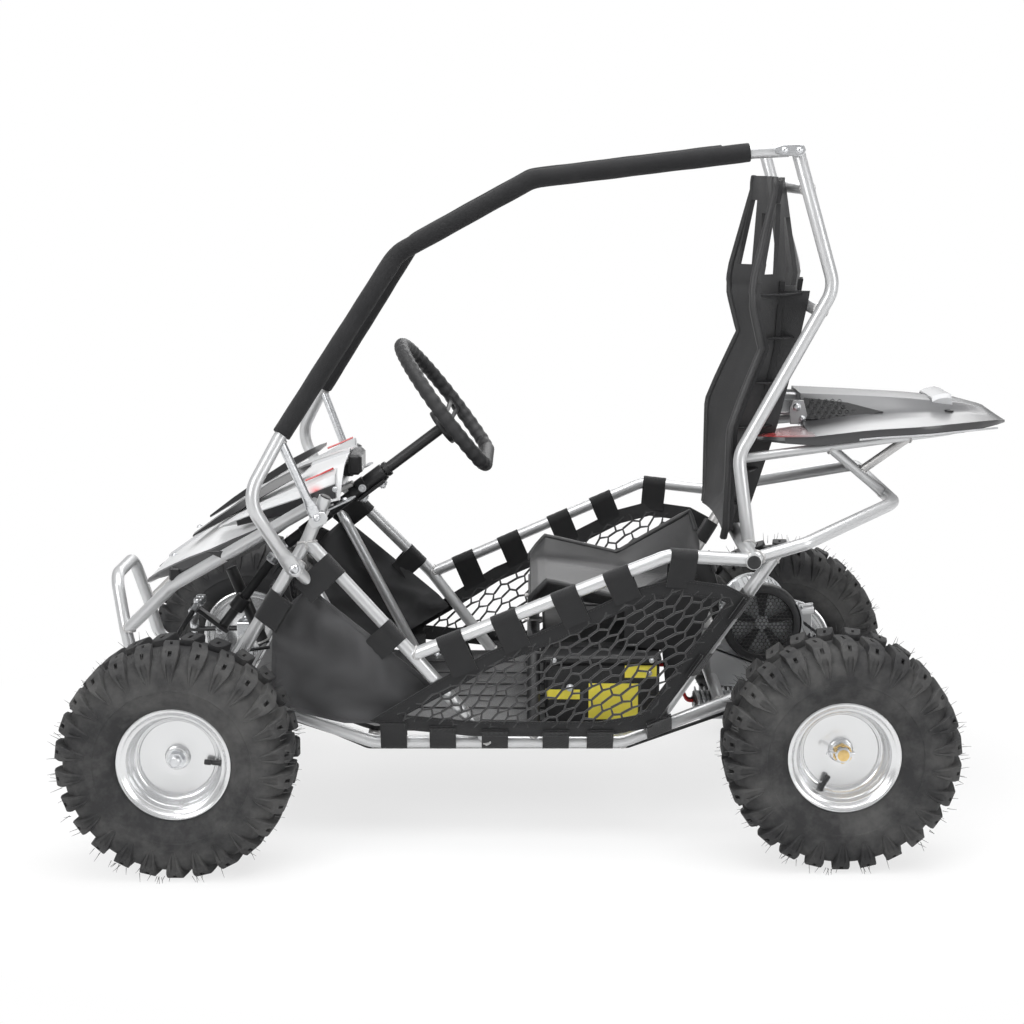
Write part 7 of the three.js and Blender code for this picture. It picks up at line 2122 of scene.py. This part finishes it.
def strapLoop(s, centre, direction, border, width):
    # A strap round a tube, its two ends meeting on the border point.
    radius = netSizes["strapLoop"]
    toward = border - centre
    toward = toward - direction * toward.dot(direction)
    out = toward.normalized()
    normal = direction.cross(out)
    reach = toward.length
    tail = [(reach + 9, 2.6), (reach, 3), (max(reach * 0.55, radius * 0.9), radius * 0.66)]
    turns = [math.radians(66 + 228 * k / 12) for k in range(13)]
    line = [out * far + normal * off for far, off in tail]
    line += [out * radius * math.cos(a) + normal * radius * math.sin(a) for a in turns]
    line += [out * far - normal * off for far, off in tail[::-1]]
    wide = 8
    rows = []
    for i, p in enumerate(line):
        ripple = 0.21 if 3 <= i <= 15 else 0.7  # lies closer where it goes round the tube
        rows.append([centre + p + direction * width * (k / wide - 0.5) + out * ripple * math.sin(k * 1.9 + i)
                     for k in range(wide + 1)])
    s.sheet(rows, netSizes["strapThickness"])
    for shift in (-0.42, 0.42):
        stitch = [centre + out * (reach + h) + normal * 4.6 + direction * width * shift for h in (-7, 9)]
        laid(s, stitch, dashObject, "webbing", 4.6)


def netPlane(p, side):
    # Leans the flat net out with height; y is the place off its plane.
    (z0, y0), (z1, y1) = netSizes["low"], netSizes["high"]
    return Vector((p.x, side * (y0 + (p.z - z0) * (y1 - y0) / (z1 - z0)) + p.y, p.z))


def sideNet(label, side):
    outline = netSizes["outline"]
    s = Shape("cord")
    hole = inset(outline, netSizes["border"])
    clip = inset(outline, netSizes["border"] * 0.6)
    points, edges, index = [], [], {}
    length, height = netSizes["cell"]

    def wavy(x, z):
        # The net's hexagons, leaned and pulled uneven.
        x += 0.55 * (z - 300)
        return (x + 2.4 * math.sin(z / 6.3 + x / 13), z + 2.2 * math.sin(x / 8.7 + z / 31) + 0.1 * (x - 60))

    def corner(x, z):
        key = (round(x, 1), round(z, 1))
        if key not in index:
            index[key] = len(points)
            px, pz = wavy(x, z)
            points.append(Vector((px, 0.8 * math.sin(px / 9 + pz / 7), pz)))
        return index[key]

    column, row, slope = 0.75 * length, height, 0.06
    for i in range(-8, int(700 / column) + 10):
        for j in range(-6, 18):
            cx = -250 + i * column
            cz = 130 + j * row + (i % 2) * row / 2 + slope * (cx + 250) - 20
            ring = [(cx - length / 2, cz), (cx - length / 4, cz + row / 2),
                    (cx + length / 4, cz + row / 2 + slope * length / 4),
                    (cx + length / 2, cz + slope * length * 0.25)]
            for a, b in zip(ring, ring[1:]):
                ends = [wavy(*a), wavy(*b)]
                keep = [inside(e, clip) for e in ends]
                if not any(keep):
                    continue
                if all(keep):
                    edges.append((corner(*a), corner(*b)))
                    continue
                # this cord ends where it meets the border
                start, stop = [Vector(end) for end in (ends if keep[0] else ends[::-1])]
                low, high = 0.0, 1.0
                for _ in range(9):
                    half = (low + high) / 2
                    low, high = (half, high) if inside(start.lerp(stop, half), clip) else (low, half)
                spot = start.lerp(stop, low)
                edges.append((corner(*(a if keep[0] else b)), len(points)))
                points.append(Vector((spot.x, 0, spot.y)))
    s.absorb(cordLayout.run(points, edges, Radius=netSizes["cord"], Finish=finish["cord"]))
    s.paint("webbing")
    s.plate(outline, (0, 0, 0), (1, 0, 0), (0, 0, 1), 3.2, 0.8, hole)
    for by in (3.5, netSizes["border"] - 3.5):
        laid(s, [(x, 1.9 * side, z) for x, z in inset(outline, by)], dashObject, "webbing", 5.2)
    s.points = [netPlane(p, side) for p in s.points]
    net = s.make(f"sideNet_{label}", "frame", [f"side_net_{label}"], "fabric", 50)

    straps = Shape("webbing")

    def strap(path, x):
        centre, direction = pathAt(path, x)
        spot = nearest((centre.x, centre.z), inset(outline, 6))
        strapLoop(straps, centre, direction, netPlane(Vector((spot.x, 0, spot.y)), side), netSizes["strap"])

    upper, rail = [bent(path, frameSizes["bend"]) for path in (upperPath(side), railPath(side))]
    for x in upperStraps + (topStrap,):
        strap(upper, x)
    for x in lowerStraps + (cornerStrap,):
        strap(rail, x)
    for x in diagonalStraps:
        strap([at("diagonalFoot", side), at("diagonalTop", side)], x)
    held = straps.make(f"netStraps_{label}", "frame", (), "fabric", 50)
    abs(doubleArea(outline)) / 2 * 1.015 / 1e6


pair(sideNet)

panelSizes = {
    "front": [(-334, 441), (-396, 386), (-402, 244), (-350, 222), (-280, 206)],
    "rear": [(-334, 441), (-151, 290), (-128, 265), (-225, 206)], "low": (206, 306), "high": (441, 317),
    "thickness": 2.4, "kneeStraps": (-298, -197), "kneeStrap": 42, "postHeight": 405, "postStrap": 56,
}


def resampled(points, count):
    points = [Vector(p) for p in points]
    reach = [0.0]
    for a, b in zip(points, points[1:]):
        reach.append(reach[-1] + (b - a).length)
    made = []
    for k in range(count):
        want = reach[-1] * k / (count - 1)
        i = min(max(j for j in range(len(points)) if reach[j] <= want + 1e-6), len(points) - 2)
        made.append(points[i].lerp(points[i + 1], (want - reach[i]) / (reach[i + 1] - reach[i])))
    return made


def panelPlane(x, z, side, share=0.0):
    # The panel's place, with its share of the folds and of the tuck that clears the front tyre at full steer.
    (z0, y0), (z1, y1) = panelSizes["low"], panelSizes["high"]
    fold = 4.2 * math.sin((x * 0.9 + z * 1.3) / 19) * math.sin((z - 0.4 * x) / 43)
    fold += 2.8 * math.sin((x - 1.7 * z) / 31)
    tuck = 1 + 10 * max(0, min(1, (-300 - x) / 50))
    return Vector((x, side * (y0 + (z - z0) * (y1 - y0) / (z1 - z0) + (fold - tuck) * share), z))


def sidePanel(label, side):
    s = Shape("vinyl")
    front, rear = resampled(panelSizes["front"], 46), resampled(panelSizes["rear"], 46)
    wide = 34
    rows = []
    for a, b in zip(front, rear):
        row = []
        for j in range(wide + 1):
            p = a.lerp(b, j / wide)
            edge = min(j, wide - j) / wide
            row.append(panelPlane(p.x, p.y, side, min(1, 0.25 + 5 * edge)))
        rows.append(row)
    s.sheet(rows, -panelSizes["thickness"], (0, side, 0))
    s.paint("webbing")
    outline = panelSizes["front"] + panelSizes["rear"][:0:-1]
    ring = [panelPlane(x, z, side, 0.3) + Vector((0, side * 1.2, 0)) for x, z in inset(outline, 7)]
    laid(s, ring, dashObject, "webbing", 5.6)
    panel = s.make(f"sidePanel_{label}", "frame", [f"side_panel_{label}"], "fabric", 60)

    straps = Shape("webbing")
    knee, hem = bent(kneePath(side), frameSizes["bend"]), inset(outline, 8)
    for x in panelSizes["kneeStraps"]:
        centre, direction = pathAt(knee, x)
        spot = nearest((centre.x, centre.z), hem)
        strapLoop(straps, centre, direction, panelPlane(spot.x, spot.y, side), panelSizes["kneeStrap"])
    top, foot = at("postBend", side), at("axleFoot", side)
    centre = along(top, foot, panelSizes["postHeight"])
    spot = nearest((centre.x, centre.z - 10), hem)
    strapLoop(straps, centre, (foot - top).normalized(), panelPlane(spot.x, spot.y, side),
              panelSizes["postStrap"])
    held = straps.make(f"panelStraps_{label}", "frame", (), "fabric", 50)
    abs(doubleArea(outline)) / 2 * 1.003 / 1e6


pair(sidePanel)
print("nets and panels made")

# Power leads and the brake cable, each along its stated route
cableSizes = {
    "redLead": [(250.3, -130, 262), (276.3, -130, 262), (306, -130, 197.8), (317.7, -130, 197.8)],
    "blackLead": [(250.3, -118, 262), (276.3, -118, 262), (306, -118, 197.8), (317.7, -118, 197.8)],
    "brake": [(-426, -132, 292), (-474, -146, 288), (-484, -230, 226), (-300, -266, 177), (-244, -266.4, 153),
              (196, -258.3, 153), (452, -206, 230), (504.5, -196, 255)],
    "radius": 3, "leadBend": 12, "brakeBend": 24,
}


def cable(name, node, route, bend, key, slot):
    path = bent(cableSizes[route], cableSizes[bend])
    s = Shape(key).tube(path, cableSizes["radius"], 12)
    made = s.make(name, "frame", [node], slot, 60)
    line = [metres(p) for p in path]


cable("powerLead_red", "power_lead_red", "redLead", "leadBend", "redLead", "lead_red")
cable("powerLead_black", "power_lead_black", "blackLead", "leadBend", "blackLead", "lead_black")
cable("brakeCable", "brake_cable", "brake", "brakeBend", "blackLead", "lead_black")
print("cables made")


# Camera, light and floor, in metres; the camera is the one that was fitted to the photograph
cameraSizes = {
    "at": (-0.041229, -3.448773, 1.133194), "yaw": -0.0074113, "pitch": 0.1787499, "roll": 0.0020730,
    "lens": 68.61,
}
lampSizes = {
    "topLight": ((0.1, -0.6, 3.2), (0, 0, 0.4), (3.2, 2.2), 95),
    "keyLight": ((-2.4, -3.0, 2.2), (0, 0, 0.5), (1.6, 2.0), 62),
    "fillLight": ((2.9, -2.6, 1.4), (0, 0, 0.5), (1.4, 2.0), 34),
    "backLight": ((0.6, 3.0, 2.2), (0, 0, 0.5), (2.8, 1.2), 40),
}


def raysSeen(board, glossy):
    # 1 for rays that go on to the camera, and a share for those that a glossy surface reflects.
    rays = board.tree.nodes.new("ShaderNodeLightPath")
    camera, through, gloss = [Wire(board, rays.outputs[f"Is {kind} Ray"])
                              for kind in ("Camera", "Transmission", "Glossy")]
    return board.clamp(camera + through + gloss * glossy)


def studio():
    scene = bpy.context.scene
    data = bpy.data.cameras.new("photoCamera")
    data.sensor_width = 36
    data.lens = cameraSizes["lens"]
    data.clip_end = 60
    camera = bpy.data.objects.new("photoCamera", data)
    scene.collection.objects.link(camera)
    yaw, pitch, roll = [cameraSizes[name] for name in ("yaw", "pitch", "roll")]
    forward = Vector((math.sin(yaw) * math.cos(pitch), math.cos(yaw) * math.cos(pitch), -math.sin(pitch)))
    level = Vector((math.cos(yaw), -math.sin(yaw), 0))
    upright = level.cross(forward)
    right = level * math.cos(roll) + upright * math.sin(roll)
    up = upright * math.cos(roll) - level * math.sin(roll)
    turn = Matrix((right, up, -forward)).transposed().to_4x4()
    camera.matrix_world = Matrix.Translation(cameraSizes["at"]) @ turn
    scene.camera = camera
    scene.view_settings.view_transform = "Standard"
    scene.view_settings.look = "None"
    scene.render.film_transparent = False

    world = bpy.data.worlds.new("studio")
    world.use_nodes = True
    scene.world = world
    board = Board(world.node_tree)
    world.node_tree.nodes.clear()
    place = board.node("ShaderNodeTexCoord", out=0)
    height = board.node("ShaderNodeSeparateXYZ", None, {0: place}, out=2)
    sky = board.node("ShaderNodeValToRGB",
                     {"stops": [(0.0, (0.5, 0.5, 0.5)), (0.48, (0.55, 0.55, 0.55)),
                                (0.56, (0.28, 0.28, 0.285)), (0.75, (0.5, 0.5, 0.51)),
                                (1.0, (1.0, 1.0, 1.0))]}, {0: height * 0.5 + 0.5})
    lit = board.node("ShaderNodeBackground", None, {"Color": sky, "Strength": 0.62})
    white = board.node("ShaderNodeBackground", None, {"Color": (1, 1, 1, 1), "Strength": 1.0})
    both = board.node("ShaderNodeMixShader", None, {0: raysSeen(board, 0.3), 1: lit, 2: white})
    output = board.tree.nodes.new("ShaderNodeOutputWorld")
    board.tree.links.new(both.socket, output.inputs[0])

    for name, (place, target, size, power) in lampSizes.items():
        light = bpy.data.lights.new(name, "AREA")
        light.shape = "RECTANGLE"
        light.size, light.size_y = size
        light.energy = power
        held = bpy.data.objects.new(name, light)
        scene.collection.objects.link(held)
        aim = Vector(target) - Vector(place)
        held.rotation_euler = aim.to_track_quat("-Z", "Y").to_euler()
        held.location = place


def floorPlane():
    mesh = bpy.data.meshes.new("floor")
    size = 30.0
    mesh.from_pydata([(-size, -size, 0), (size, -size, 0), (size, size, 0), (-size, size, 0)], [],
                     [[0, 1, 2, 3]])
    made = bpy.data.objects.new("floor", mesh)
    bpy.context.scene.collection.objects.link(made)
    material = bpy.data.materials.new("floorPale")
    material.use_nodes = True
    board = Board(material.node_tree)
    board.tree.nodes.clear()
    place = board.node("ShaderNodeTexCoord", out=3)
    grain = board.node("ShaderNodeTexNoise", None, {"Vector": place, "Scale": 3.0})
    tone = board.node("ShaderNodeValToRGB", {"stops": [(0.0, (0.9, 0.9, 0.9)), (1.0, (0.93, 0.93, 0.93))]},
                      {0: grain})
    matt = board.node("ShaderNodeBsdfDiffuse", None, {"Color": tone})
    glow = board.node("ShaderNodeEmission", None, {"Color": (1, 1, 1, 1), "Strength": 1.0})
    x, y = [board.node("ShaderNodeSeparateXYZ", None, {0: place}, out=i) for i in (0, 1)]
    away = board.maths("SQRT", x * x * 0.72 + (y - 0.05) * (y - 0.05) * 1.35)
    clear = board.spread(away, 0.72, 1.25)  # the floor fades to white away from the kart
    shown = (clear * 0.26 + 0.74) * raysSeen(board, 0.6)
    both = board.node("ShaderNodeMixShader", None, {0: shown, 1: matt, 2: glow})
    output = board.tree.nodes.new("ShaderNodeOutputMaterial")
    board.tree.links.new(both.socket, output.inputs[0])
    mesh.materials.append(material)


studio()
floorPlane()
print("studio made")
for spare in [o for o in bpy.data.objects if o.name.startswith("copy")]:
    bpy.data.objects.remove(spare)
